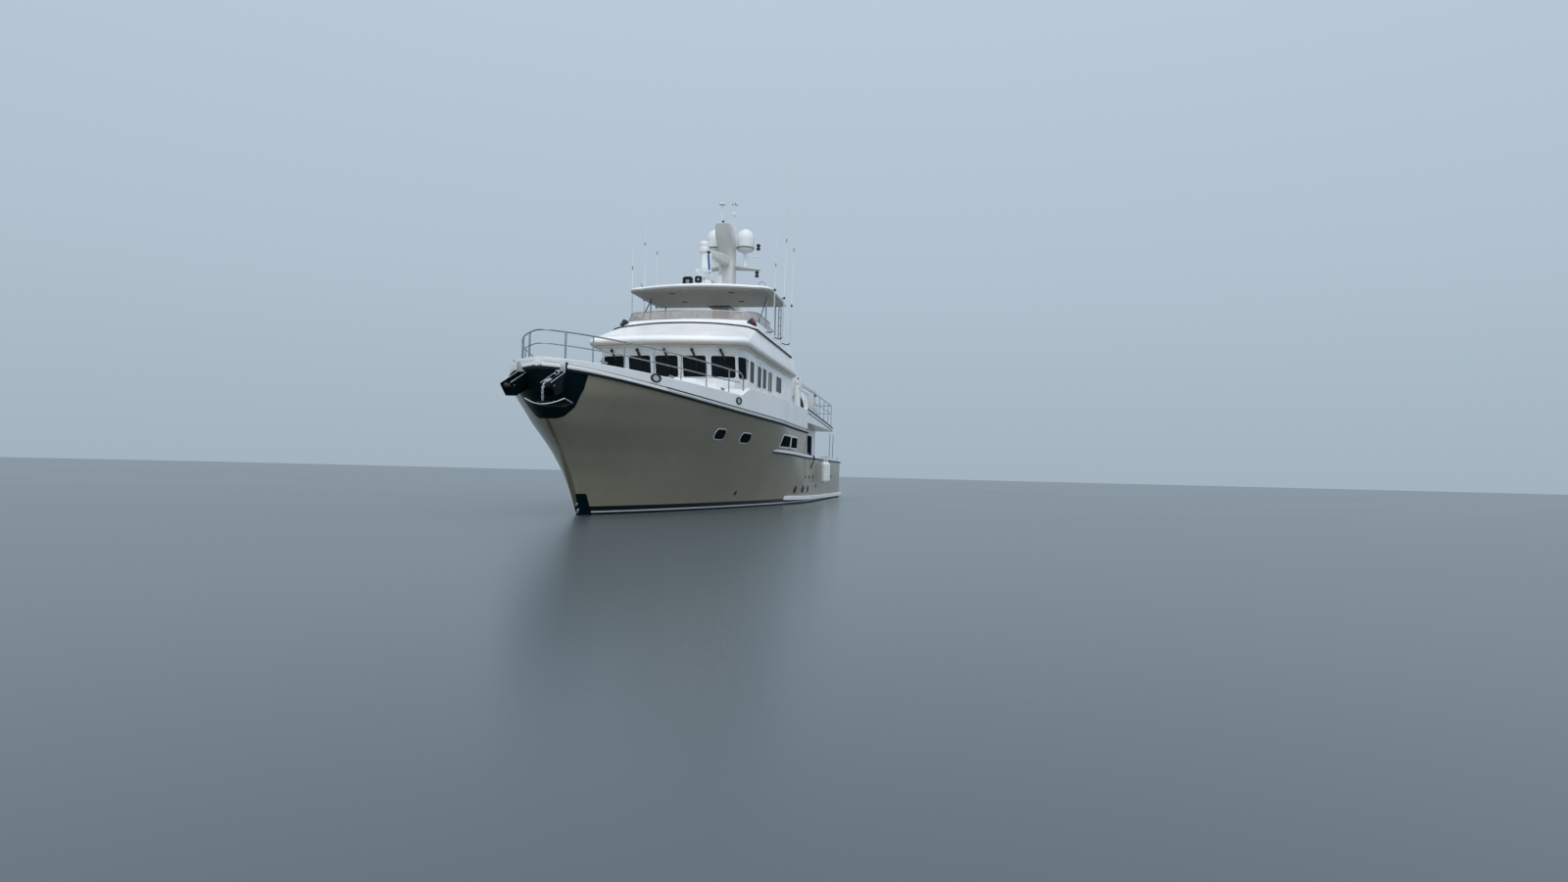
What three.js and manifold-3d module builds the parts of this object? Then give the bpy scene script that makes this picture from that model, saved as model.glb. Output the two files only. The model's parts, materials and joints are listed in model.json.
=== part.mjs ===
// Pilothouse motor yacht, 25 m, afloat.
// Millimetres. +X to the bow, +Y to port, +Z up. The origin is on the waterline, amidships, on the centreline.
import * as THREE from 'three';
import { mergeVertices } from 'three/addons/utils/BufferGeometryUtils.js';
import Module from 'manifold-3d';

const wasm = await Module();
wasm.setup();

// Driving dimensions
const GAP = 0.3;                 // between pieces that touch
const SKIN_GAP = 0.6;            // between curved skins
const TRANSOM_X = -11100;
const STEP_X = -500;             // the topsides step down here to the aft deck
const AFT_RAIL_Z = 1620;         // top of the aft bulwark
const MAIN_DECK_Z = 600;
const UPPER_DECK_Z = 2500;       // hull top under the pilothouse
const DECK_PLATE = 100;
const BOAT_DECK_AFT_X = -8600;
const BOAT_DECK_FLOOR_Z = 2950;
const RAISED_CAP_Z = 3180;       // side bulwark beside the pilothouse
const KEEL_Z = -2440;
const SKEG_AFT_X = -7200;
const SHAFT_Z = -1620;
const PROPELLER_X = -7950;
const PROPELLER_R = 620;
const RUDDER_X = -9150;
const SHAFT_R = 60;
const STERN_TUBE = 310;          // depth of the shaft's bore
const STOCK_TOP_Z = -300;
const STOCK_R = 45;
const RUNNING_GAP = 6;           // round a piece that moves
const HINGE_R = 11;              // knuckle, outside the leaf and the jamb
const HINGE_OUT = 11;            // axis beyond the outer face
const HINGE_SIDE = 3;            // axis beyond the leaf's edge
const HOUSE_TOP_Z = 4480;
const HARDTOP_Z = 6700;
const FLY_FLOOR_Z = 4800;

const COLOURS = {
  hull: 0xa9a496, white: 0xeceeee, deck: 0xd9d6cc, steel: 0xc4c8ca, black: 0x16181a, plate: 0x1c2a2b,
  glass: 0x6d6563, bronze: 0x9a7a45, cover: 0xb7b9ba, rubber: 0x2a2c2e, antifoul: 0x15191b,
};

const group = new THREE.Group();

// Solids
function toSolid(geometry) {
  const bare = geometry.clone();
  bare.deleteAttribute('normal');
  bare.deleteAttribute('uv');
  const merged = mergeVertices(bare, 1e-3);
  return new wasm.Manifold(new wasm.Mesh({
    numProp: 3,
    vertProperties: new Float32Array(merged.attributes.position.array),
    triVerts: new Uint32Array(merged.index.array),
  }));
}

function toGeometry(solid) {
  const mesh = solid.getMesh();
  const geometry = new THREE.BufferGeometry();
  geometry.setAttribute('position', new THREE.BufferAttribute(new Float32Array(mesh.vertProperties), 3));
  geometry.setIndex(new THREE.BufferAttribute(new Uint32Array(mesh.triVerts), 1));
  return geometry;
}

function joined(...solids) {
  return solids.reduce((whole, next) => whole.add(next));
}

function cut(solid, ...tools) {
  return tools.reduce((rest, tool) => rest.subtract(tool), solid);
}

// The solid moved by the contact gap in each direction is taken out, so that neighbours never overlap
function clearOf(solid, ...neighbours) {
  const moves = [[0, 0, 0], [1, 0, 0], [-1, 0, 0], [0, 1, 0], [0, -1, 0], [0, 0, 1], [0, 0, -1]];
  let rest = solid;
  for (const neighbour of neighbours) {
    for (const [x, y, z] of moves) {
      rest = rest.subtract(toSolid(toGeometry(neighbour).translate(x * SKIN_GAP, y * SKIN_GAP, z * SKIN_GAP)));
    }
  }
  return largest(rest);
}

// The solid stretched about the origin by a skin gap at its far ends
function swollen(solid) {
  const { min, max } = solid.boundingBox();
  const grow = [0, 1, 2].map((k) => 1 + SKIN_GAP / Math.max(Math.abs(min[k]), Math.abs(max[k])));
  return toSolid(toGeometry(solid).scale(...grow));
}

// The largest body of a cut solid, without the slivers that a cut along a skin leaves
function largest(solid) {
  const bodies = toSolid(toGeometry(solid)).decompose();
  return bodies.reduce((best, body) => (body.volume() > best.volume() ? body : best));
}

function node(name, solid, colour, roughness = 0.4, metalness = 0) {
  const geometry = toGeometry(solid);
  const material = new THREE.MeshStandardMaterial({ color: colour, roughness, metalness });
  const mesh = new THREE.Mesh(geometry, material);
  mesh.name = name;
  group.add(mesh);
  return mesh;
}

function block(x0, x1, y0, y1, z0, z1) {
  const geometry = new THREE.BoxGeometry(x1 - x0, y1 - y0, z1 - z0);
  geometry.translate((x0 + x1) / 2, (y0 + y1) / 2, (z0 + z1) / 2);
  return toSolid(geometry);
}

function rod(from, to, radius, sides = 8, endRadius = radius) {
  const a = new THREE.Vector3(...from);
  const b = new THREE.Vector3(...to);
  const geometry = new THREE.CylinderGeometry(endRadius, radius, a.distanceTo(b), sides);
  const turn = new THREE.Quaternion().setFromUnitVectors(
    new THREE.Vector3(0, 1, 0), b.clone().sub(a).normalize());
  geometry.applyQuaternion(turn);
  geometry.translate((a.x + b.x) / 2, (a.y + b.y) / 2, (a.z + b.z) / 2);
  return toSolid(geometry);
}

// A tube of even section that follows points
function swept(points, radius, sides = 6) {
  const at = points.map((p) => new THREE.Vector3(...p));
  const rings = at.map((p, i) => {
    const before = at[Math.max(0, i - 1)];
    const after = at[Math.min(at.length - 1, i + 1)];
    const along = after.clone().sub(before).normalize();
    const side = new THREE.Vector3(0, 0, 1).cross(along).normalize();
    const up = along.clone().cross(side);
    return Array.from({ length: sides }, (_, k) => {
      const angle = (2 * Math.PI * k) / sides;
      const point = p.clone().addScaledVector(side, radius * Math.cos(angle))
        .addScaledVector(up, radius * Math.sin(angle));
      return [point.x, point.y, point.z];
    });
  });
  return skinned(rings);
}

// A turned solid about a vertical axis from [radius, height] pairs that start and end on the axis
function turned(profile, x, y, sides = 20) {
  const geometry = new THREE.LatheGeometry(profile.map(([r, z]) => new THREE.Vector2(r, z)), sides);
  geometry.rotateX(Math.PI / 2);
  geometry.translate(x, y, 0);
  return toSolid(geometry);
}

// A plan outline [x, y] raised between two heights
function prism(outline, z0, z1) {
  const shape = new THREE.Shape(outline.map(([x, y]) => new THREE.Vector2(x, y)));
  const geometry = new THREE.ExtrudeGeometry(shape, { depth: z1 - z0, bevelEnabled: false });
  geometry.translate(0, 0, z0);
  return toSolid(geometry);
}

// A side outline [x, z] with a width along Y
function sidePlate(outline, y0, y1) {
  const shape = new THREE.Shape(outline.map(([x, z]) => new THREE.Vector2(x, z)));
  const geometry = new THREE.ExtrudeGeometry(shape, { depth: y1 - y0, bevelEnabled: false });
  geometry.rotateX(Math.PI / 2);
  geometry.translate(0, y1, 0);
  return toSolid(geometry);
}

// Triangles turned to face out
function closedBody(points, faces) {
  let volume = 0;
  for (let i = 0; i < faces.length; i += 3) {
    const [a, b, c] = [0, 1, 2].map((k) => new THREE.Vector3(...points[faces[i + k]]));
    volume += a.dot(b.cross(c));
  }
  if (volume < 0) faces.reverse();
  const geometry = new THREE.BufferGeometry();
  geometry.setAttribute('position', new THREE.BufferAttribute(new Float32Array(points.flat()), 3));
  geometry.setIndex(faces);
  return toSolid(geometry);
}

// Rings of the same number of points, skinned in turn and closed at both ends by fans
function skinned(rings) {
  const count = rings[0].length;
  const middle = (ring) => [0, 1, 2].map((k) => ring.reduce((sum, p) => sum + p[k], 0) / count);
  const points = [...rings.flat(), middle(rings[0]), middle(rings[rings.length - 1])];
  const faces = [];
  for (let r = 1; r < rings.length; r += 1) {
    for (let i = 0; i < count; i += 1) {
      const j = (i + 1) % count;
      const [a, b, c, d] = [(r - 1) * count + i, (r - 1) * count + j, r * count + j, r * count + i];
      faces.push(a, b, c, a, c, d);
    }
  }
  const last = (rings.length - 1) * count;
  for (let i = 0; i < count; i += 1) {
    const j = (i + 1) % count;
    faces.push(points.length - 2, j, i);
    faces.push(points.length - 1, last + i, last + j);
  }
  return closedBody(points, faces);
}

// Half sections [x, y, z] from the top edge to the keel, skinned from aft forward and mirrored
function shipLoft(sections) {
  const count = sections[0].length;
  const points = [];
  for (const half of sections) {
    points.push(...half);
    points.push(...half.map(([x, y, z]) => [x, -y, z]).reverse());
  }
  const ring = count * 2;
  const faces = [];
  for (let s = 1; s < sections.length; s += 1) {
    for (let i = 0; i < ring; i += 1) {
      const j = (i + 1) % ring;
      const [a, b, c, d] = [(s - 1) * ring + i, (s - 1) * ring + j, s * ring + j, s * ring + i];
      faces.push(a, d, c, a, c, b);
    }
  }
  for (const [s, flip] of [[0, false], [sections.length - 1, true]]) {
    for (let i = 0; i < count - 1; i += 1) {
      const [a, b] = [s * ring + i, s * ring + i + 1];
      const [c, d] = [s * ring + ring - 2 - i, s * ring + ring - 1 - i];
      if (flip) faces.push(a, c, b, a, d, c);
      else faces.push(a, b, c, a, c, d);
    }
  }
  return closedBody(points, faces);
}

// Half a hinge: a knuckle along the axis between two places on it, and the strap that holds it
function hingeHalf(from, to, strap) {
  return joined(rod(from, to, HINGE_R, 8), block(...strap));
}

const mirrored = (outline) => [...outline, ...outline.map(([x, y]) => [x, -y]).reverse()];
const blend = (a, b, t) => a + (b - a) * t;
const clamped = (t) => Math.min(1, Math.max(0, t));
const rise = (x) => Math.max(0, x / 13300) ** 2.76;

// Hull form
const STEM = [
  // z, x on the centreline
  [0, 11100], [460, 11390], [920, 11710], [1430, 12170], [1970, 12820], [2500, 13180], [2950, 13300], [3300, 13330],
];

function stemX(z) {
  const i = Math.max(1, STEM.findIndex(([height]) => height >= z));
  const [z0, x0] = STEM[i - 1];
  const [z1, x1] = STEM[i];
  return blend(x0, x1, (z - z0) / (z1 - z0));
}

// The topsides at the waterline and at the sheer
const FORM = { start: [-1550, 4050], beam: [2980, 3120], power: [1.345, 1.4], fullness: [0.8, 0.61] };

// Half breadth of the topsides at a place above the waterline
function halfBreadth(x, z) {
  const flare = Math.max(0, z / 2450) ** 1.3;
  const start = blend(...FORM.start, flare);
  const beam = blend(...FORM.beam, Math.min(flare, 1.1));
  if (x <= start) return beam * (1 - blend(0.02, 0.045, flare) * Math.min(0, x / 11100) ** 2);
  const along = Math.min(0.9995, (x - start) / (stemX(z) - start));
  const fullness = blend(...FORM.fullness, Math.min(flare, 1.05));
  return Math.max(40, beam * (1 - along ** blend(...FORM.power, flare)) ** fullness);
}

const rubRailZ = (x) => 2410 + 560 * rise(x);
const RUB_RAIL_HEIGHT = 90;
const hullTopZ = (x) => (x < STEP_X ? AFT_RAIL_Z : rubRailZ(x) + RUB_RAIL_HEIGHT + 5);

const STATIONS_AFT = [
  -11100, -10000, -8800, -7700, SKEG_AFT_X - 1, SKEG_AFT_X + 150, -5500, -3500, -1500, STEP_X - 1, STEP_X, 1000,
];
const STATIONS_FORWARD = [0.12, 0.26, 0.4, 0.49, 0.53, 0.65, 0.76, 0.85, 0.92, 0.965, 0.99, 1];
const TOPSIDE_ROWS = [1, 0.78, 0.55, 0.32, 0.12, 0];
const BOTTOM_ROWS = [
  // zMid, halfMid, xStem, zStem, zTransom, how far it follows the waterline's narrowing
  [-500, 2880, 10820, -480, -220, 1.05],
  [-1000, 2450, 10400, -950, -330, 1.25],
  [-1350, 1450, 9800, -1380, -400, 1.4],
  [-1500, 170, 9150, -1720, -440, 0.25],
  [KEEL_Z, 130, 8100, -2140, -470, 0.25],
];
const RUN_START_X = -1000;
const FORWARD_START_X = 1000;

function bottomPoint(row, x, forward) {
  const [zMid, halfMid, xStem, zStem, zTransom, follow] = row;
  const waterlineX = forward > 0 ? blend(FORWARD_START_X, STEM[0][1], forward) : x;
  const half = Math.max(40, halfMid * (halfBreadth(waterlineX, 0) / FORM.beam[0]) ** follow);
  if (forward > 0) return [blend(FORWARD_START_X, xStem, forward), half, blend(zMid, zStem, forward ** 2.2)];
  const run = Math.max(0, (RUN_START_X - x) / (RUN_START_X - TRANSOM_X)) ** 1.3;
  const canoe = blend(zMid, zTransom, run);
  const keel = zMid === KEEL_Z;
  const z = keel ? (x >= SKEG_AFT_X ? KEEL_Z : blend(-1500, -440, run) - 30) : canoe;
  return [x, half * (1 - 0.06 * run), z];
}

function hullSections() {
  const sections = [];
  for (const x of STATIONS_AFT) {
    const top = TOPSIDE_ROWS.map((row) => {
      const z = row * hullTopZ(x);
      return [x, halfBreadth(x, z), z];
    });
    sections.push([...top, ...BOTTOM_ROWS.map((row) => bottomPoint(row, x, 0))]);
  }
  for (const forward of STATIONS_FORWARD) {
    const top = TOPSIDE_ROWS.map((row) => {
      const deckX = blend(FORWARD_START_X, 13300, forward);
      const z = row * hullTopZ(deckX);
      const x = blend(FORWARD_START_X, stemX(z), forward);
      return [x, halfBreadth(x, z), z];
    });
    sections.push([...top, ...BOTTOM_ROWS.map((row) => bottomPoint(row, 0, forward))]);
  }
  return sections;
}

// Deck edge plan at a height, set in from the topsides by a distance at each place
const PLAN_X = [-500, 1000, 3000, 5000, 6500, 7800, 9000, 10000, 10900, 11600, 12200, 12650, 12950, 13130];

function deckPlan(z, inset, xFrom, xTo, widest = 4000) {
  const xs = [xFrom, ...PLAN_X.filter((x) => x > xFrom + 50 && x < xTo - 50), xTo];
  return mirrored(xs.map((x) => [x, Math.min(widest, halfBreadth(x, z) - inset(x))]));
}

// Hull, with the aft deck, saloon and foredeck sunk into it
const BULWARK = 130;
const capWidth = (x) => blend(BULWARK, 340, clamped((x - 6500) / 3000));   // the cap broadens towards the bow
const SALOON = { x0: -360, x1: 4600, half: 2720, knuckle: 1500 };          // wider above the knuckle
const HULL_WINDOWS = [
  // x0, x1
  [1440, 2420], [2620, 3590],
];
const HULL_WINDOW_Z = [1820, 2110];
const SHOE_AFT_X = -9300;
const GATE = { y0: -1600, y1: -900, gap: 6, hinges: [800, 1420] };     // opening in the transom

function hull() {
  const shell = shipLoft(hullSections());
  const aftDeck = prism(deckPlan(AFT_RAIL_Z, () => BULWARK, -10960, STEP_X - 140), MAIN_DECK_Z, 3000);
  const saloonPlan = (z) => deckPlan(z, () => BULWARK, SALOON.x0, SALOON.x1, SALOON.half);
  const saloon = joined(prism(saloonPlan(MAIN_DECK_Z), MAIN_DECK_Z, SALOON.knuckle + 1),
    prism(saloonPlan(SALOON.knuckle), SALOON.knuckle, 3000));
  const passage = block(STEP_X - 200, SALOON.x0 + 10, -2300, 2300, MAIN_DECK_Z, 3000);
  const foredeck = prism(deckPlan(2700, (x) => capWidth(x) + 20, 5200, 12700), UPPER_DECK_Z, 3300);
  const windows = [];
  for (const [x0, x1] of HULL_WINDOWS) {
    windows.push(block(x0, x1, -3400, -2500, ...HULL_WINDOW_Z), block(x0, x1, 2500, 3400, ...HULL_WINDOW_Z));
  }
  const gate = block(TRANSOM_X - 50, TRANSOM_X + 200, GATE.y0, GATE.y1, MAIN_DECK_Z, 3000);
  const shoe = block(SHOE_AFT_X, SKEG_AFT_X + 200, -70, 70, KEEL_Z, KEEL_Z + 90);
  const sternTube = rod([SKEG_AFT_X - 50, 0, SHAFT_Z], [SKEG_AFT_X + STERN_TUBE, 0, SHAFT_Z], SHAFT_R + RUNNING_GAP, 16);
  const rudderTube = rod([RUDDER_X, 0, -1200], [RUDDER_X, 0, STOCK_TOP_Z], STOCK_R + RUNNING_GAP, 16);
  const gateHinges = GATE.hinges.map((z) => aftHinge(TRANSOM_X, GATE.y0 + GATE.gap, -1, z, -1));
  return joined(cut(shell, aftDeck, saloon, passage, foredeck, ...windows, gate, sternTube, rudderTube), shoe, ...gateHinges);
}


const hullSolid = hull();
node('hull', hullSolid, COLOURS.hull, 0.25);

// A moulding that follows the topsides: half sections with an outer edge at two heights
function bandLoft(bottomZ, topZ, outer, xs) {
  return shipLoft(xs.map((x) => {
    const y = halfBreadth(x, bottomZ(x));
    return [[x, y + outer, topZ(x)], [x, y + outer, bottomZ(x)]];
  }));
}

// Bulwark that rings the foredeck and the pilothouse side decks
const WING_X = 7000;             // the raised side ramps down to the foredeck bulwark here
const WING_RAMP = 500;

function capZ(x) {
  return blend(RAISED_CAP_Z, 2900 + 260 * rise(x), clamped((x - WING_X) / WING_RAMP));
}

// The hull's top edge, station by station, so that what stands on it has the same chords
const TOP_EDGE = hullSections().map((half) => half[0]).filter(([x, , z]) => x >= STEP_X && z > AFT_RAIL_Z + 1);

function edgeAt(x) {
  const i = Math.max(1, TOP_EDGE.findIndex(([at]) => at >= x));
  const [x0, y0, z0] = TOP_EDGE[i - 1];
  const [x1, y1, z1] = TOP_EDGE[i];
  const t = (x - x0) / (x1 - x0);
  return { y: blend(y0, y1, t), z: blend(z0, z1, t), cap: blend(capZ(x0), capZ(x1), t) };
}

function bulwark() {
  const outer = shipLoft(TOP_EDGE.map(([x, y, z]) => [[x, y - 6, capZ(x)], [x, y - 6, z + GAP]]));
  const inner = prism(deckPlan(2700, capWidth, STEP_X - 100, 12850), UPPER_DECK_Z - 200, 3600);
  return largest(cut(outer, inner));
}

const bulwarkSolid = bulwark();
node('bulwark', bulwarkSolid, COLOURS.white, 0.25);

// Upper rub rail round the bow, and the lower one beside the aft deck
const RAIL_OUT = 55;

function upperRubRail() {
  const xs = TOP_EDGE.map(([x]) => x);
  const whole = bandLoft(rubRailZ, (x) => rubRailZ(x) + RUB_RAIL_HEIGHT, RAIL_OUT, [...xs, 13350]);
  const core = prism(deckPlan(2450, () => 60, STEP_X - 100, 12900), 2200, 3200);
  return largest(cut(whole, core, swollen(hullSolid)));
}

const upperRailSolid = upperRubRail();
node('rub_rail_upper', upperRailSolid, COLOURS.steel, 0.3, 0.6);

const LOWER_RAIL = { x0: TRANSOM_X, x1: 3930, z0: AFT_RAIL_Z - 60, z1: AFT_RAIL_Z + 30, out: 65, lift: 60 };
for (const [side, s] of [['port', 1], ['starboard', -1]]) {
  const xs = [LOWER_RAIL.x0, -9000, -6500, -4000, -1500, STEP_X, 1000, 2500, LOWER_RAIL.x1];
  const rings = xs.map((x) => {
    const y = halfBreadth(x, AFT_RAIL_Z);
    const lift = LOWER_RAIL.lift * clamped((x - STEP_X) / (LOWER_RAIL.x1 - STEP_X));
    const [z0, z1] = [LOWER_RAIL.z0 + lift, LOWER_RAIL.z1 + lift];
    return [[x, s * (y - 60), z0], [x, s * (y + LOWER_RAIL.out), z0], [x, s * (y + LOWER_RAIL.out), z1], [x, s * (y - 60), z1]];
  });
  node(`rub_rail_lower_${side}`, largest(cut(skinned(rings), swollen(hullSolid))), COLOURS.white, 0.3);
}

// Swim platform with the strakes that run forward from it
const PLATFORM = { x0: -12050, x1: TRANSOM_X + 60, half: 2840, z0: 60, z1: 180 };
const STRAKE = { x1: 1370, z0: 60, z1: 190, out: 110 };

function swimPlatform() {
  const corner = 350;
  const outline = mirrored([
    [PLATFORM.x0, PLATFORM.half - corner], [PLATFORM.x0 + 100, PLATFORM.half - 100],
    [PLATFORM.x0 + corner, PLATFORM.half], [PLATFORM.x1, PLATFORM.half + 60],
  ]);
  const strakes = [1, -1].map((s) => {
    const xs = [TRANSOM_X - 100, -9000, -6000, -3000, -1000, 0, STRAKE.x1];
    return skinned(xs.map((x) => {
      const y = halfBreadth(x, 120);
      const lift = 90 * ((x - TRANSOM_X) / (STRAKE.x1 - TRANSOM_X)) ** 2;
      return [
        [x, s * (y - 60), STRAKE.z0 + lift], [x, s * (y + STRAKE.out), STRAKE.z0 + lift],
        [x, s * (y + STRAKE.out), STRAKE.z1 + lift], [x, s * (y - 60), STRAKE.z1 + lift],
      ];
    }));
  });
  return largest(cut(joined(prism(outline, PLATFORM.z0, PLATFORM.z1), ...strakes), swollen(hullSolid)));
}

node('swim_platform', swimPlatform(), COLOURS.white, 0.4);

// Plates that wrap the bow: the hull's own form, grown by the plate's thickness inside an outline
function bowShell(thickness, region) {
  const bow = hullSolid.intersect(block(10300, 13600, -1800, 1800, -900, 3200));
  const moves = [[1, 0, 0], [0.7, 0.7, 0], [0.7, -0.7, 0], [0, 1, 0], [0, -1, 0]];
  const grown = moves.map(([x, y, z]) => toSolid(toGeometry(bow).translate(
    x * thickness, y * thickness, z * thickness)));
  return largest(cut(joined(...grown).intersect(region), swollen(hullSolid)));
}

const BOW_PLATE = {
  thickness: 14,
  outline: [[810, 3080], [791, 2890], [695, 2580], [494, 2240], [308, 2060], [161, 2000]],   // y, z
};

function frontOutline(points) {
  // [y, z] pairs extruded along X over the bow
  const shape = new THREE.Shape(points.map(([y, z]) => new THREE.Vector2(y, z)));
  const geometry = new THREE.ExtrudeGeometry(shape, { depth: 2800, bevelEnabled: false });
  geometry.rotateX(Math.PI / 2);
  geometry.rotateZ(Math.PI / 2);
  geometry.translate(11000, 0, 0);
  return toSolid(geometry);
}

function bowPlate() {
  const outline = [...BOW_PLATE.outline, ...BOW_PLATE.outline.map(([y, z]) => [-y, z]).reverse()];
  const stations = [10500, ...TOP_EDGE.map(([x]) => x).slice(-8), 13400];
  const below = bandLoft(() => 1800, (x) => rubRailZ(x) - 4, 1500, stations);
  return bowShell(BOW_PLATE.thickness, frontOutline(outline).intersect(below));
}

const bowPlateSolid = bowPlate();
node('bow_plate', bowPlateSolid, COLOURS.plate, 0.15, 0.5);

const STEM_PLATE = { thickness: 12, half: 170, z0: -400, z1: 470 };
const stemRegion = block(10400, 12000, -STEM_PLATE.half, STEM_PLATE.half, STEM_PLATE.z0, STEM_PLATE.z1);
node('stem_plate', bowShell(STEM_PLATE.thickness, stemRegion), COLOURS.plate, 0.2, 0.5);

// Anchor rollers: sloping boxes through the bow, open on top, with an axle and a wheel at the tip
const ROLLER = { y: 405, half: 105, wall: 16, wheelX: 13620, wheelZ: 2560, wheelR: 62 };
const ROLLER_SIDE = [
  // x, z round a cheek
  [12700, 3075], [13150, 3075], [13165, 2865], [13770, 2600], [13782, 2570], [13570, 2385], [13530, 2375], [12700, 2690],
];
const ROLLER_CHUTE = [[12600, 3300], [12600, 2790], [13440, 2470], [13900, 2470], [13900, 3300]];

function rollerBox(s) {
  const y0 = s * ROLLER.y - ROLLER.half;
  const y1 = s * ROLLER.y + ROLLER.half;
  const outside = sidePlate(ROLLER_SIDE, y0, y1);
  const inside = sidePlate(ROLLER_CHUTE, y0 + ROLLER.wall, y1 - ROLLER.wall);
  const wheel = rod([ROLLER.wheelX, y0 + 4, ROLLER.wheelZ], [ROLLER.wheelX, y1 - 4, ROLLER.wheelZ], ROLLER.wheelR, 12);
  return clearOf(joined(cut(outside, inside), wheel), hullSolid, upperRailSolid, bulwarkSolid, bowPlateSolid);
}

for (const [side, s] of [['port', 1], ['starboard', -1]]) {
  node(`anchor_roller_${side}`, rollerBox(s), COLOURS.black, 0.3, 0.3);
}

// Stowed anchor: a shank through the port roller and two flukes below the tip
const ANCHOR = { y: ROLLER.y, x: 13355, z: 2255.2 };

function anchor() {
  const [x, y, z] = [ANCHOR.x, ANCHOR.y, ANCHOR.z];
  const shank = swept([
    [x - 210, y, z + 590], [x + 265, y, z + 395], [x + 410, y, z + 345], [x + 490, y, z + 270], [x + 510, y, z + 170],
    [x + 480, y, z - 20],
  ], 28);
  const blade = (s) => skinned([
    [[x + 560, y, z - 90], [x + 560, y, z - 60], [x - 60, y, z - 60], [x - 60, y, z - 90]],
    [[x + 430, y + s * 400, z + 20], [x + 430, y + s * 400, z + 40], [x + 80, y + s * 330, z - 20],
      [x + 80, y + s * 330, z - 40]],
  ]);
  const head = block(x + 400, x + 540, y - 55, y + 55, z - 80, z + 10);
  return joined(shank, head, blade(1), blade(-1));
}

node('anchor', anchor(), COLOURS.steel, 0.3, 0.8);

// Foredeck: deck plate with the hatch opening
const HATCH = { x0: 9300, x1: 10000, half: 350, coaming: 90, lid: 40 };
const UPPER_DECK_TOP = UPPER_DECK_Z + DECK_PLATE;
const lidZ = UPPER_DECK_TOP + HATCH.coaming + RUNNING_GAP;
const HATCH_HINGES = [-220, 220];

function upperDeck() {
  const plate = prism(deckPlan(2700, (x) => capWidth(x) + 22, STEP_X + 5, 12690), UPPER_DECK_Z + GAP, UPPER_DECK_TOP);
  const rim = block(HATCH.x0, HATCH.x1, -HATCH.half, HATCH.half, UPPER_DECK_TOP - 10, UPPER_DECK_TOP + HATCH.coaming);
  const hole = block(HATCH.x0 + 40, HATCH.x1 - 40, 40 - HATCH.half, HATCH.half - 40, 2400, 2900);
  const cleared = clearOf(cut(joined(plate, rim), hole), hullSolid, bulwarkSolid);
  return joined(cleared, ...HATCH_HINGES.map((y) => hatchHinge(y, -1)));
}

// A hatch hinge: the rim's half to starboard (end -1), the lid's half to port (end 1)
function hatchHinge(y, end) {
  const axis = [HATCH.x1 + HINGE_OUT, lidZ + HINGE_SIDE];
  const [y0, y1] = end < 0 ? [y - 50, y - GAP] : [y, y + 50];
  const [z0, z1] = end < 0 ? [lidZ - 80, lidZ] : [lidZ + 2, lidZ + 14];
  return hingeHalf([axis[0], y0, axis[1]], [axis[0], y1, axis[1]], [HATCH.x1 - 4, HATCH.x1 + 14, y0, y1, z0, z1]);
}

node('upper_deck', upperDeck(), COLOURS.deck, 0.7);

const lid = block(HATCH.x0, HATCH.x1, -HATCH.half, HATCH.half, lidZ, lidZ + HATCH.lid);
node('foredeck_hatch', joined(lid, ...HATCH_HINGES.map((y) => hatchHinge(y, 1))), COLOURS.white);

// Windlasses on the foredeck behind the rollers
for (const [side, s] of [['port', 1], ['starboard', -1]]) {
  const y = s * ROLLER.y;
  const base = UPPER_DECK_TOP + GAP;
  const plinth = block(11450, 11950, y - 150, y + 150, base, base + 120);
  const drum = turned([
    [0, base + 100], [150, base + 100], [150, base + 150], [90, base + 180], [90, base + 250],
    [140, base + 290], [140, base + 330], [0, base + 340],
  ], 11700, y, 16);
  node(`windlass_${side}`, joined(plinth, drum), COLOURS.steel, 0.2, 0.9);
}

// Bow rail: top and middle tubes round the bow on stanchions
const RAIL = { inset: 60, topAft: 3500, topBow: 3585, topRise: 125, middle: 0.52, r: 17, rMiddle: 13, rPost: 14 };
const RAIL_XS = [7350, 8100, 9000, 9900, 10700, 11400, 11900, 12400, 12750, 13000, 13150];
const POST_XS = [7900, 8900, 9900, 10850, 11700, 12420, 12900];

const FOOT_GAP = 0.9;            // under feet on a sloping cap

function railPoint(x, s, part) {
  const top = blend(RAIL.topAft, RAIL.topBow, clamped((x - 6500) / 3000)) + RAIL.topRise * rise(x);
  const { y, cap } = edgeAt(x);
  return [x, s * (y - capWidth(x) + RAIL.inset), cap + FOOT_GAP + (top - cap) * part];
}

function bowRail() {
  const run = (part) => [
    ...RAIL_XS.map((x) => railPoint(x, 1, part)),
    ...RAIL_XS.slice().reverse().map((x) => railPoint(x, -1, part)),
  ];
  const ends = (s) => swept([
    railPoint(RAIL_XS[0], s, 1), railPoint(RAIL_XS[0] - 130, s, 0.85), railPoint(RAIL_XS[0] - 180, s, 0.5),
    railPoint(RAIL_XS[0] - 180, s, 0.01),
  ], RAIL.r);
  const posts = POST_XS.flatMap((x) => [1, -1].map((s) => {
    return rod(railPoint(x, s, 0), railPoint(x, s, 1), RAIL.rPost, 6);
  }));
  return joined(swept(run(1), RAIL.r), swept(run(RAIL.middle), RAIL.rMiddle), ends(1), ends(-1), ...posts);
}

node('bow_rail', bowRail(), COLOURS.steel, 0.15, 1);

// Portuguese bridge: a wall across the foredeck in front of the pilothouse
const BRIDGE_XS = [6350, 6700, 6900, 6980];
const BRIDGE_YS = [2700, 2200, 1200, 0];

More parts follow.
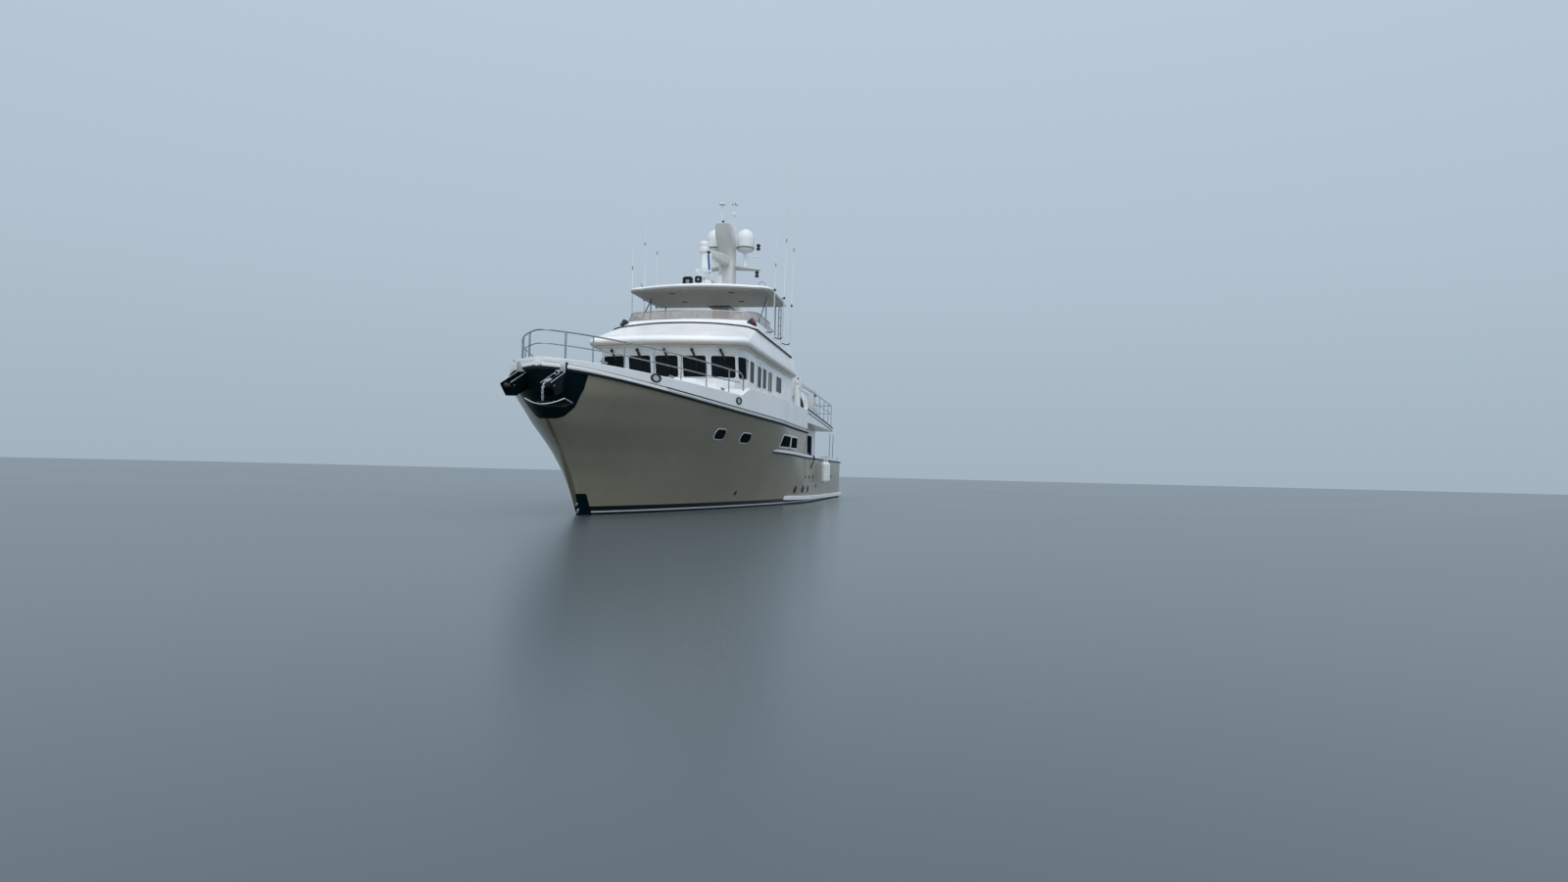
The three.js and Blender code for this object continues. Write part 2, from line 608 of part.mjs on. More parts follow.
function portugueseBridge() {
  const line = (back) => BRIDGE_YS.map((y, i) => [BRIDGE_XS[i] - back, y]);
  const plan = [...mirrored(line(0)), ...mirrored(line(130)).reverse()];
  const low = prism(plan, UPPER_DECK_TOP + GAP, 3200);
  const crown = prism(plan.map(([x, y]) => [x, y * 0.82]), 3190, 3460);
  return clearOf(joined(low, crown), bulwarkSolid);
}

node('portuguese_bridge', portugueseBridge(), COLOURS.white, 0.3);

// Pilothouse: a hollow moulding with a front of five windows that leans forward
const HOUSE = { aft: -2200, half: 2170, wall: 70, floorAft: BOAT_DECK_FLOOR_Z };
const FRONT = { low: 5080, lean: 450 };

function houseRing(z, inset) {
  const lean = FRONT.lean * ((z - UPPER_DECK_TOP) / (HOUSE_TOP_Z - UPPER_DECK_TOP));
  const front = FRONT.low + lean - inset;
  const half = HOUSE.half - inset;
  const corner = [
    [HOUSE.aft + inset, half], [front - 640, half], [front - 230, half - 190], [front - 60, 1250 - inset * 0.3],
    [front, 500],
  ];
  return mirrored(corner).map(([x, y]) => [x, y, z]);
}

const FRONT_WINDOWS = [-1610, -805, 0, 805, 1610];   // centres along Y
const WINDOW = { half: 340, z0: 3700, z1: 4230 };
const SIDE_WINDOWS = [
  // x0, x1, z0
  [3900, 4350, 3650], [2150, 2560, 3650], [1250, 1700, 3650], [-400, 400, 3750],
];
const DOOR = { x0: 2760, x1: 3460, z0: UPPER_DECK_TOP + 60, z1: 4330, t: 45, gap: 6 };

function pilothouse() {
  const outside = skinned([houseRing(UPPER_DECK_TOP + GAP, 0), houseRing(HOUSE_TOP_Z, 0)]);
  const inside = skinned([houseRing(UPPER_DECK_TOP - 100, HOUSE.wall), houseRing(HOUSE_TOP_Z - 60, HOUSE.wall)]);
  const step = block(HOUSE.aft - 10, STEP_X + 2, -2300, 2300, 2400, HOUSE.floorAft + GAP);
  const front = FRONT_WINDOWS.map((y) => block(4700, 6200, y - WINDOW.half, y + WINDOW.half, WINDOW.z0, WINDOW.z1));
  const corners = [1, -1].map((s) => {
    const [y0, y1] = s > 0 ? [1900, 2400] : [-2400, -1900];
    return block(4560, 4900, y0, y1, WINDOW.z0 - 40, WINDOW.z1 - 10);
  });
  const sides = SIDE_WINDOWS.flatMap(([x0, x1, z0]) => [
    block(x0, x1, 2000, 2400, z0, WINDOW.z1 - 20), block(x0, x1, -2400, -2000, z0, WINDOW.z1 - 20),
  ]);
  const doors = [block(DOOR.x0, DOOR.x1, 2000, 2400, DOOR.z0, DOOR.z1), block(DOOR.x0, DOOR.x1, -2400, -2000, DOOR.z0, DOOR.z1)];
  const aftWindow = block(HOUSE.aft - 50, HOUSE.aft + 200, -1500, 1500, 3600, 4150);
  const shell = cut(outside, inside, step, ...front, ...corners, ...sides, ...doors, aftWindow);
  const hinges = [1, -1].flatMap((s) => DOOR_HINGES.map((z) => doorHinge(s, z, -1)));
  return joined(shell, ...FASHION_Y.map(([y0, y1]) => sidePlate(FASHION_PLATE, y0, y1)), ...hinges);
}

// Curved plates that carry the house sides aft, from under the brow down to the boat deck
const FASHION_PLATE = [
  [HOUSE.aft + 20, HOUSE_TOP_Z], [HOUSE.aft + 20, BOAT_DECK_FLOOR_Z + GAP], [-3120, BOAT_DECK_FLOOR_Z + GAP],
  [-3080, 3300], [-2920, 3600], [-2700, 3900], [-2560, 4200], [-2490, HOUSE_TOP_Z],
];
const FASHION_Y = [[HOUSE.half - HOUSE.wall, HOUSE.half], [-HOUSE.half, HOUSE.wall - HOUSE.half]];

// A door hinge: the jamb's half below (end -1), the leaf's half above (end 1)
const DOOR_HINGES = [2900, 3500, 4150];

function doorHinge(s, z, end) {
  const axis = [DOOR.x1 - DOOR.gap + HINGE_SIDE, s * (HOUSE.half + HINGE_OUT)];
  const [z0, z1] = end < 0 ? [z - 60, z - GAP] : [z, z + 60];
  const [x0, x1] = end < 0 ? [axis[0] + 5, axis[0] + 50] : [axis[0] - 50, axis[0]];
  const inner = HOUSE.half - (end < 0 ? 20 : 5);
  const [y0, y1] = s > 0 ? [inner, HOUSE.half + 15] : [-HOUSE.half - 15, -inner];
  return hingeHalf([...axis, z0], [...axis, z1], [x0, x1, y0, y1, z0, z1]);
}

node('pilothouse', pilothouse(), COLOURS.white, 0.3);

for (const [side, s] of [['port', 1], ['starboard', -1]]) {
  const [y0, y1] = s > 0 ? [HOUSE.half - DOOR.t, HOUSE.half] : [-HOUSE.half, DOOR.t - HOUSE.half];
  const leaf = block(DOOR.x0 + DOOR.gap, DOOR.x1 - DOOR.gap, y0, y1, DOOR.z0 + DOOR.gap, DOOR.z1 - DOOR.gap);
  const pane = block(DOOR.x0 + 130, DOOR.x1 - 130, y0 - 10, y1 + 10, 3600, DOOR.z1 - 130);
  node(`pilothouse_door_${side}`, joined(cut(leaf, pane), ...DOOR_HINGES.map((z) => doorHinge(s, z, 1))), COLOURS.white, 0.3);
}

// Flybridge: the brow over the pilothouse, its coaming and its floor, in one moulding
const BROW_ROWS = [
  // z, front x, crown, corner radius, half, aft x
  [HOUSE_TOP_Z + GAP, 5720, 380, 450, 2200, -2500],
  [4610, 6000, 400, 520, 2370, -2600],
  [4700, 5960, 400, 520, 2360, -2620],
  [5380, 4180, 560, 560, 2160, -2900],
  [5560, 3900, 560, 540, 2120, -2950],
];

function roundedPlan([, front, crown, radius, half, aft], inset = 0) {
  const edge = (y) => front - inset - crown * (y / half) ** 2;
  const w = half - inset;
  const turn = [0, 0.25, 0.5, 0.75, 1].map((t) => {
    const angle = (t * Math.PI) / 2;
    const y = w - radius + radius * Math.cos(angle);
    return [edge(w - radius) - radius + radius * Math.sin(angle), y];
  });
  const across = [0.66, 0.33].map((t) => [edge((w - radius) * t), (w - radius) * t]);
  return mirrored([[aft + inset, w * 0.98], ...turn, ...across]);
}

const ringOf = (row, inset, z = row[0]) => roundedPlan(row, inset).map(([x, y]) => [x, y, z]);
const TRUNK = { x0: -1050, x1: -300, half: 320 };

function flybridge() {
  const outside = skinned(BROW_ROWS.map((row) => ringOf(row, 0)));
  const well = skinned([ringOf(BROW_ROWS[3], 300, FLY_FLOOR_Z), ringOf(BROW_ROWS[4], 220, 5700)]);
  const stairs = block(-2400, -1500, 900, 1700, 4300, 5000);
  return cut(outside, well, stairs);
}

const flybridgeSolid = flybridge();
node('flybridge', flybridgeSolid, COLOURS.white, 0.25);

// Smoked windscreen on the coaming
const SCREEN_ROWS = [
  [5560 + GAP, 3880, 560, 540, 2100, 300],
  [5900, 3560, 560, 540, 2060, 300],
];
const SCREEN_T = 18;

function windscreen() {
  const outside = skinned(SCREEN_ROWS.map((row) => ringOf(row, 0)));
  const inside = skinned([
    ringOf(SCREEN_ROWS[0], SCREEN_T, SCREEN_ROWS[0][0] - 20), ringOf(SCREEN_ROWS[1], SCREEN_T, SCREEN_ROWS[1][0] + 20),
  ]);
  return cut(outside, inside, block(0, 420, -2300, 2300, 5000, 6200));
}

node('windscreen', windscreen(), COLOURS.glass, 0.1);

// Helm console and seat on the flybridge
const flyTop = FLY_FLOOR_Z + GAP;
node('helm_console', joined(
  sidePlate([[2150, flyTop], [3000, flyTop], [3000, 5480], [2650, 5560], [2150, 5330]], -700, 700),
), COLOURS.white, 0.4);
node('helm_seat', joined(
  block(900, 1450, -750, 750, flyTop + 380, flyTop + 480), block(1000, 1350, -200, 200, flyTop, flyTop + 400),
  block(880, 1000, -750, 750, flyTop + 380, flyTop + 950),
), COLOURS.cover, 0.7);

// Mast: a trunk up to the hardtop, and a raked column above it with the head and the spreader
const HARDTOP_ROWS = [
  // z, front x, crown, corner radius, half, aft x
  [HARDTOP_Z, 2950, 640, 420, 2260, -330],
  [HARDTOP_Z + 60, 3050, 640, 460, 2340, -400],
  [HARDTOP_Z + 130, 2990, 640, 440, 2290, -370],
  [HARDTOP_Z + 190, 2400, 420, 400, 1850, -100],
];
const MAST_SEAT = { x0: -1600, x1: 0, half: 430 };     // tail of the hardtop that carries the mast
node('hardtop', joined(
  skinned(HARDTOP_ROWS.map((row) => ringOf(row, 0))),
  block(MAST_SEAT.x0, MAST_SEAT.x1, -MAST_SEAT.half, MAST_SEAT.half, HARDTOP_Z, HARDTOP_Z + 190),
), COLOURS.white, 0.35);
node('mast_trunk', block(TRUNK.x0, TRUNK.x1, -TRUNK.half, TRUNK.half, flyTop, HARDTOP_Z - GAP), COLOURS.white, 0.4);

const mastFoot = HARDTOP_Z + 190 + GAP;
const MAST_ROWS = [
  // z, x0, x1, half
  [mastFoot, -1480, -420, 340], [7400, -1420, -700, 285], [8300, -1390, -800, 262], [8750, -1360, -740, 262],
  [9250, -1180, -330, 290], [9620, -950, -180, 250],
];
const WING = { x: -1400, y: 1130, root: 200, z: 8240 };
// Arm ahead of the column with the upper housing at its end: x, half, z0, z1, y
const RADAR_ARM = [[-900, 190, 8260, 8620, 0], [-200, 120, 8300, 8620, -120], [360, 90, 8420, 8600, -400]];
const HOUSING = { x: 520, y: -410, z0: 8400, z1: 8800, half: 170 };

function mast() {
  const column = skinned(MAST_ROWS.map(([z, x0, x1, half]) => [[x0, -half, z], [x1, -half, z], [x1, half, z], [x0, half, z]]));
  // Gull wing that carries the domes: y, half chord, z0, z1
  const wing = (s) => skinned([
    [WING.root, 250, WING.z + 20, WING.z + 280], [600, 170, WING.z - 10, WING.z + 140], [WING.y, 60, WING.z - 30, WING.z + 30],
  ].map(([y, chord, z0, z1]) => [
    [WING.x - chord, s * y, z0], [WING.x + chord, s * y, z0], [WING.x + chord, s * y, z1], [WING.x - chord, s * y, z1],
  ]));
  const arm = skinned(RADAR_ARM.map(([x, half, z0, z1, y]) => [
    [x, y - half, z0], [x, y + half, z0], [x, y + half, z1], [x, y - half, z1],
  ]));
  const housing = turned([
    [0, HOUSING.z0], [HOUSING.half, HOUSING.z0 + 40], [HOUSING.half, HOUSING.z1 - 80], [HOUSING.half - 50, HOUSING.z1],
    [0, HOUSING.z1],
  ], HOUSING.x, HOUSING.y, 14);
  // Rods on the head: x, y, foot z, top z, radius
  const rods = [[-900, -200, 9550, 10520, 26], [-1150, 200, 8850, 10640, 20]].map(([x, y, z0, z1, r]) => (
    rod([x, y, z0], [x, y, z1], r, 8)));
  const cap = rod([-900, -200, 10490], [-900, -200, 10560], 120, 12);
  // Lamp arms that reach out from the dome posts
  const lampArms = [1, -1].map((s) => swept([
    [WING.x, s * 560, 8560], [WING.x, s * 960, 8560], [WING.x, s * 1040, 8620], [WING.x, s * 1040, 9180],
  ], 24));
  return joined(column, wing(1), wing(-1), arm, housing, ...rods, cap, ...DOME_POSTS.map((y) => rod([WING.x, y, WING.z],
    [WING.x, y, DOME.z - GAP], 55, 10)), ...lampArms);
}

const DOME = { x: WING.x, y: 560, z: 8900, r: 315 };
const DOME_POSTS = [DOME.y, -DOME.y];
node('mast', mast(), COLOURS.white, 0.35);
for (const [side, s] of [['port', 1], ['starboard', -1]]) {
  const { z, r } = DOME;
  const dome = turned([
    [0, z], [r * 0.45, z], [r * 0.9, z + 60], [r, z + 130], [r, z + 460], [r * 0.8, z + 690], [r * 0.42, z + 800], [0, z + 820],
  ], DOME.x, s * DOME.y, 16);
  node(`dome_${side}`, dome, COLOURS.white, 0.35);
}

// Radar on its pedestal ahead of the mast
const RADAR = { x: 500, y: -360, z: 7450 };
node('radar_pedestal', joined(
  turned([[0, mastFoot], [230, mastFoot], [150, mastFoot + 200], [150, RADAR.z - 200], [220, RADAR.z - 180],
    [220, RADAR.z], [0, RADAR.z]], RADAR.x, RADAR.y, 16),
), COLOURS.white, 0.35);
node('radar_scanner', joined(
  turned([[0, RADAR.z + GAP], [60, RADAR.z + GAP], [60, RADAR.z + 6], [90, RADAR.z + 6], [90, RADAR.z + 90],
    [0, RADAR.z + 90]], RADAR.x, RADAR.y, 12),
  block(RADAR.x - 950, RADAR.x + 950, RADAR.y - 75, RADAR.y + 75, RADAR.z + 80, RADAR.z + 210),
), COLOURS.white, 0.3);

// Searchlights on the hardtop's front edge
for (const [side, x, y, r, up] of [['port', 1750, -200, 110, 320], ['starboard', 1800, -540, 155, 250]]) {
  const z = mastFoot;
  const lamp = rod([x - 90, y, z + up], [x + 120, y, z + up], r, 14);
  node(`searchlight_${side}`, joined(lamp, rod([x, y, z], [x, y, z + up - 40], 45, 10)), COLOURS.white, 0.3);
}

// Hardtop frames, ladder and whip antennas
for (const [side, s] of [['port', 1], ['starboard', -1]]) {
  const y = s * 1960;
  const foot = 5560 + GAP;
  const top = HARDTOP_Z - GAP;
  node(`hardtop_frame_${side}`, joined(
    rod([1350, y, foot], [1350, y, top], 24, 8), rod([-200, y, foot], [-200, y, top], 24, 8),
    swept([[1350, y, foot + 250], [500, y, foot + 250], [-200, y, foot + 250]], 18),
    rod([1350, y, top - 60], [2500, y, foot + 20], 20, 8),
  ), COLOURS.steel, 0.15, 1);
}

const LADDER = { x: -760, y: 2010, half: 210, z0: 5560 + GAP, z1: 7050, step: 280 };

function ladder() {
  const sides = [-1, 1].map((s) => rod([LADDER.x + s * LADDER.half, LADDER.y, LADDER.z0],
    [LADDER.x + s * LADDER.half, LADDER.y, LADDER.z1], 20, 8));
  const rungs = [];
  for (let z = LADDER.z0 + LADDER.step; z < LADDER.z1; z += LADDER.step) {
    rungs.push(rod([LADDER.x - LADDER.half, LADDER.y, z], [LADDER.x + LADDER.half, LADDER.y, z], 14, 6));
  }
  const stay = rod([LADDER.x, LADDER.y, HARDTOP_Z + 60], [HARDTOP_ROWS[1][5] - GAP, LADDER.y, HARDTOP_Z + 60], 14, 6);
  return joined(...sides, ...rungs, stay);
}

node('ladder', ladder(), COLOURS.steel, 0.15, 1);

const WHIPS = [
  // name, x, foot y, top y, joint z, top z
  ['a', 700, 2400, 2530, 8720, 12370],
  ['b', -620, 2420, 2530, 8750, 12320],
  ['c', 2020, 2350, 2420, 7590, 10010],
];
for (const [name, x, yFoot, yTop, joint, top] of WHIPS) {
  for (const [side, s] of [['port', 1], ['starboard', -1]]) {
    const foot = 5480;
    const at = (z) => [x, s * blend(yFoot, yTop, (z - foot) / (top - foot)), z];
    const mastPart = rod(at(foot), at(joint), 20, 6);
    const tip = rod(at(joint - 20), at(top), 11, 6, 4);
    const bend = swept([[x, s * 2030, foot + 60], [x, s * (yFoot - 120), foot - 30], at(foot + 20)], 18);
    node(`whip_${name}_${side}`, clearOf(joined(mastPart, tip, bend), flybridgeSolid), COLOURS.white, 0.3);
  }
}

// Boat deck over the aft house, with a low coaming
const BOAT_XS = [BOAT_DECK_AFT_X, -8300, -6500, -4500, -2500, STEP_X - GAP];
const boatLow = (x) => blend(2750, 2840, (STEP_X - x) / (STEP_X - BOAT_DECK_AFT_X));
const boatTop = (x) => blend(3280, 3050, (STEP_X - x) / (STEP_X - BOAT_DECK_AFT_X));
const boatHalf = (x) => halfBreadth(x, 2500) - 20 - (x < -8500 ? 180 : 0) - 12 * ((STEP_X - x) / 1000);

function boatDeck() {
  const outside = shipLoft(BOAT_XS.map((x) => [[x, boatHalf(x), boatTop(x)], [x, boatHalf(x), boatLow(x)]]));
  const plan = mirrored([BOAT_DECK_AFT_X + 130, -6500, -4500, -2500, STEP_X + 50].map((x) => [x, boatHalf(x) - 130]));
  return cut(outside, prism(plan, BOAT_DECK_FLOOR_Z, 3500));
}

const boatDeckSolid = boatDeck();
node('boat_deck', boatDeckSolid, COLOURS.white, 0.35);

// Rails round the boat deck
const BOAT_RAIL = { top: 3950, r: 17, inset: 70 };

function boatRail() {
  const spots = [-2700, -4200, -5700, -7200, -8450];
  const along = (s, z) => spots.map((x) => [x, s * (boatHalf(x) - BOAT_RAIL.inset), z]);
  const loop = (z) => [...along(1, z), ...along(-1, z).reverse()];
  const posts = spots.flatMap((x) => [1, -1].map((s) => rod(
    [x, s * (boatHalf(x) - BOAT_RAIL.inset), boatTop(x) + FOOT_GAP], [x, s * (boatHalf(x) - BOAT_RAIL.inset), BOAT_RAIL.top], 14, 6)));
  return joined(swept(loop(BOAT_RAIL.top), BOAT_RAIL.r), swept(loop(3600), 12), ...posts);
}

node('boat_deck_rail', boatRail(), COLOURS.steel, 0.15, 1);

// Aft house round the saloon, open forward into the hull
const SALOON_HOUSE = { aft: -7000, half: 2400, wall: 80, z0: MAIN_DECK_Z + GAP };
const SALOON_DOOR = { y0: -450, y1: 450, z0: MAIN_DECK_Z + 60, z1: 2560, t: 50, gap: 6 };

function saloonHouse() {
  const h = SALOON_HOUSE;
  const outside = block(h.aft, STEP_X - 142, -h.half, h.half, h.z0, 2900);
  const inside = block(h.aft + h.wall, STEP_X, h.wall - h.half, h.half - h.wall, h.z0 - 50, 3000);
  const windows = [[-6000, -4900], [-4600, -3200], [-2900, -1500]].flatMap(([x0, x1]) => [
    block(x0, x1, 2200, 2500, 1500, 2500), block(x0, x1, -2500, -2200, 1500, 2500)]);
  const door = block(h.aft - 50, h.aft + 200, SALOON_DOOR.y0, SALOON_DOOR.y1, SALOON_DOOR.z0, SALOON_DOOR.z1);
  const aftWindows = [1, -1].map((s) => block(h.aft - 50, h.aft + 200, s > 0 ? 800 : -2000, s > 0 ? 2000 : -800, 1300, 2450));
  const shell = clearOf(cut(outside, inside, ...windows, door, ...aftWindows), boatDeckSolid);
  return joined(shell, ...AFT_HINGES.map((z) => aftHinge(SALOON_HOUSE.aft, SALOON_DOOR.y1 - SALOON_DOOR.gap, 1, z, -1)));
}

// A hinge on a face that looks aft: the jamb's half below (end -1), the leaf's half above (end 1)
const AFT_HINGES = [900, 1600, 2350];

function aftHinge(face, edge, s, z, end) {
  const axis = [face - HINGE_OUT, edge + s * HINGE_SIDE];
  const [z0, z1] = end < 0 ? [z - 60, z - GAP] : [z, z + 60];
  const ends = end < 0 ? [axis[1] + s * 5, axis[1] + s * 50] : [axis[1], axis[1] - s * 50];
  const depth = face + (end < 0 ? 20 : 5);
  return hingeHalf([...axis, z0], [...axis, z1], [face - 15, depth, Math.min(...ends), Math.max(...ends), z0, z1]);
}

node('saloon_house', saloonHouse(), COLOURS.white, 0.3);

{
  const d = SALOON_DOOR;
  const leaf = block(SALOON_HOUSE.aft, SALOON_HOUSE.aft + d.t, d.y0 + d.gap, d.y1 - d.gap, d.z0 + d.gap, d.z1 - d.gap);
  const pane = block(SALOON_HOUSE.aft - 10, SALOON_HOUSE.aft + 100, d.y0 + 120, d.y1 - 120, 1000, d.z1 - 130);
  const hinges = AFT_HINGES.map((z) => aftHinge(SALOON_HOUSE.aft, d.y1 - d.gap, 1, z, 1));
  node('saloon_door', joined(cut(leaf, pane), ...hinges), COLOURS.white, 0.3);
}

// Transom door in the gate cut through the bulwark
const gateLeaf = block(TRANSOM_X, TRANSOM_X + 55, GATE.y0 + GATE.gap, GATE.y1 - GATE.gap, MAIN_DECK_Z + 20, AFT_RAIL_Z - 10);
const leafHinges = GATE.hinges.map((z) => aftHinge(TRANSOM_X, GATE.y0 + GATE.gap, -1, z, 1));
node('transom_door', joined(gateLeaf, ...leafHinges), COLOURS.hull, 0.3);

// Crane on the boat deck: fixed pedestal, slewing post and luffing boom
const CRANE = { x: -3500, y: 2200, turnZ: 3500, pivotX: -3650, pivotZ: 4475, boomEnd: -8100 };
const craneFoot = BOAT_DECK_FLOOR_Z + GAP;
node('crane_pedestal', turned([[0, craneFoot], [240, craneFoot], [240, craneFoot + 40], [150, craneFoot + 60],
  [150, CRANE.turnZ], [0, CRANE.turnZ]], CRANE.x, CRANE.y, 16), COLOURS.white, 0.35);
const postFoot = CRANE.turnZ + RUNNING_GAP;
const postTop = CRANE.pivotZ - 120;
node('crane_post', joined(
  turned([[0, CRANE.turnZ + GAP], [90, CRANE.turnZ + GAP], [90, postFoot], [160, postFoot], [140, postFoot + 60],
    [120, postTop], [0, postTop]], CRANE.x, CRANE.y, 16),
  block(CRANE.pivotX - 90, CRANE.x + 100, CRANE.y - 140, CRANE.y - 90, postTop - 130, CRANE.pivotZ + 150),
  block(CRANE.pivotX - 90, CRANE.x + 100, CRANE.y + 90, CRANE.y + 140, postTop - 130, CRANE.pivotZ + 150),
  block(CRANE.x - 20, CRANE.x + 100, CRANE.y - 140, CRANE.y + 140, postTop - 140, postTop),
), COLOURS.white, 0.35);
node('crane_boom', joined(
  block(CRANE.boomEnd, CRANE.pivotX + 70, CRANE.y - 75, CRANE.y + 75, CRANE.pivotZ - 80, CRANE.pivotZ + 80),
  rod([CRANE.pivotX, CRANE.y - 90 + GAP, CRANE.pivotZ], [CRANE.pivotX, CRANE.y + 90 - GAP, CRANE.pivotZ], 45, 10),
  block(CRANE.boomEnd, CRANE.boomEnd + 120, CRANE.y - 50, CRANE.y + 50, CRANE.pivotZ - 190, CRANE.pivotZ - 70),
), COLOURS.white, 0.35);

// Tender under its cover, on edge on the port side of the boat deck
const TENDER = { x0: -7100, x1: -4200, y: 2120, z: 3690, half: 390, tall: 640, lean: 0.22 };

function tenderRing(x, k) {
  return Array.from({ length: 14 }, (_, i) => {
    const a = (2 * Math.PI * i) / 14;
    const u = k * TENDER.half * Math.cos(a);
    const v = k * TENDER.tall * Math.sin(a);
    return [x, TENDER.y + u - v * TENDER.lean, TENDER.z + v];
  });
}

const tenderRows = [[0, 0.55], [90, 0.8], [350, 1], [1450, 1], [2400, 1], [2790, 0.86], [2900, 0.6]];
node('tender', skinned(tenderRows.map(([dx, k]) => tenderRing(TENDER.x0 + dx, k))), COLOURS.cover, 0.8);
const tenderBottom = TENDER.z - TENDER.tall;
for (const [i, x] of [-6500, -4900].entries()) {
  const cradle = block(x - 60, x + 60, TENDER.y - 420, TENDER.y + 520, craneFoot, tenderBottom + 190);
  node(`tender_chock_${i + 1}`, clearOf(cradle, skinned(tenderRows.map(([dx, k]) => tenderRing(TENDER.x0 + dx, k)))),
    COLOURS.rubber, 0.7);
}

// Fenders along the port side, each on a lanyard that lies over the rub rail
const LANYARD_R = 10;
for (const [i, x] of [-3700, -4500].entries()) {
  const side = halfBreadth(x, AFT_RAIL_Z);
  const y = side + LOWER_RAIL.out + 150;
  const over = LOWER_RAIL.z1 + LANYARD_R * Math.cos(Math.PI / 6) + GAP;
  const body = turned([[0, 640], [60, 660], [130, 740], [130, 1400], [60, 1480], [25, 1500], [25, 1560], [0, 1560]], x, y, 12);
  const lanyard = swept([[x, y, 1540], [x, y, over - 30], [x, y - 40, over], [x, side - 60, over]], LANYARD_R);
  node(`fender_${i + 1}`, joined(body, lanyard), COLOURS.white, 0.4);
}

// Shaft, propeller and rudder
const HUB_FRONT = 120;
const shaftEnds = [PROPELLER_X + HUB_FRONT + GAP, SKEG_AFT_X + STERN_TUBE - GAP];
node('shaft', rod([shaftEnds[0], 0, SHAFT_Z], [shaftEnds[1], 0, SHAFT_Z], SHAFT_R, 16), COLOURS.steel, 0.2, 1);

function propeller() {
  const hub = skinned([[HUB_FRONT, 110], [0, 125], [-180, 90], [-260, 40]].map(([dx, r]) => Array.from({ length: 12 }, (_, i) => {
    const a = (2 * Math.PI * i) / 12;
    return [PROPELLER_X + dx, r * Math.cos(a), SHAFT_Z + r * Math.sin(a)];
  })));
  const blades = [0, 1, 2, 3].map((k) => {
    const rows = [[60, 120, 0.75], [300, 210, 0.55], [480, 200, 0.4], [PROPELLER_R, 90, 0.3]];
    const rings = rows.map(([r, chord, pitch]) => {
      const [dx, dy] = [chord * Math.sin(pitch), chord * Math.cos(pitch)];
      const t = 14;
      return [[-dx, -dy, r], [t, 0, r], [dx, dy, r], [-t, 0, r]];
    });
    const geometry = toGeometry(skinned(rings));
    geometry.rotateX((k * Math.PI) / 2);
    geometry.translate(PROPELLER_X - 40, 0, SHAFT_Z);
    return toSolid(geometry);
  });
  return joined(hub, ...blades);
}

node('propeller', propeller(), COLOURS.bronze, 0.25, 1);

const RUDDER = { x0: -9720, x1: -8900, z0: KEEL_Z + 90 + 12, z1: -840, t: 60 };

function rudder() {
  const blade = skinned([RUDDER.z0, RUDDER.z1].map((z) => [
    [RUDDER.x0, -8, z], [RUDDER.x0 + 300, -RUDDER.t, z], [RUDDER.x1 - 60, -RUDDER.t, z], [RUDDER.x1, 0, z],
    [RUDDER.x1 - 60, RUDDER.t, z], [RUDDER.x0 + 300, RUDDER.t, z], [RUDDER.x0, 8, z],
  ]));
  const stock = rod([RUDDER_X, 0, RUDDER.z1 - 50], [RUDDER_X, 0, STOCK_TOP_Z - GAP], STOCK_R, 16);
  const pintle = rod([RUDDER_X, 0, KEEL_Z + 90 + GAP], [RUDDER_X, 0, RUDDER.z0 + 20], STOCK_R, 16);
  return joined(blade, stock, pintle);
}

node('rudder', rudder(), COLOURS.antifoul, 0.6);

export default group;
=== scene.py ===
# Looks of the pilothouse motor yacht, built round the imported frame.
# Shapes are given in millimetres, +X to the bow, +Y to port, +Z up, and made in metres.
# The origin is on the waterline, and so is the floor.
import json
import math
import random

import bmesh
import bpy
from mathutils import Matrix, Vector


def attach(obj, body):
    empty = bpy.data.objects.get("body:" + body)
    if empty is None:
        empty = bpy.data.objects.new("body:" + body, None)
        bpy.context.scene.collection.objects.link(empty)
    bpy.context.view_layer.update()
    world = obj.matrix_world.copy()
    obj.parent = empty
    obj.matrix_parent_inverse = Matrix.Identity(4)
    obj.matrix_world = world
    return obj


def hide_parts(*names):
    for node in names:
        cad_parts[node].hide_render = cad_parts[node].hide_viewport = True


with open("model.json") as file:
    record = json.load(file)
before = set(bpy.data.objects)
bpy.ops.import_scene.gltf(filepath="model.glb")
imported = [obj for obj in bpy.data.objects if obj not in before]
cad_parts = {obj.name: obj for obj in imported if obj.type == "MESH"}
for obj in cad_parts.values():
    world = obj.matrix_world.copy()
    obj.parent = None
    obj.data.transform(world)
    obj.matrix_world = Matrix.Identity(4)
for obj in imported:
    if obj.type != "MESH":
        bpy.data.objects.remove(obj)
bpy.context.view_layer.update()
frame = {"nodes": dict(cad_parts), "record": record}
MM = 0.001

# Camera
EYE = Vector((29.126, 7.853, 1.025))
EYE_TURN = (1.606807, -0.023984, 1.754932)
SENSOR_MM = 36.0
PHOTO_WIDTH = 1600
FOCAL_PX = 898.7


def add_camera():
    data = bpy.data.cameras.new("camera")
    data.sensor_width = SENSOR_MM
    data.lens = FOCAL_PX / PHOTO_WIDTH * SENSOR_MM
    data.clip_end = 2000
    camera = bpy.data.objects.new("camera", data)
    camera.location = EYE
    camera.rotation_euler = EYE_TURN
    bpy.context.scene.collection.objects.link(camera)
    bpy.context.scene.camera = camera


add_camera()


# Finishes
def linear(code):
    """An sRGB hex colour as linear RGBA."""
    parts = [((code >> shift) & 255) / 255 for shift in (16, 8, 0)]
    return (*[c / 12.92 if c <= 0.04045 else ((c + 0.055) / 1.055) ** 2.4 for c in parts], 1.0)


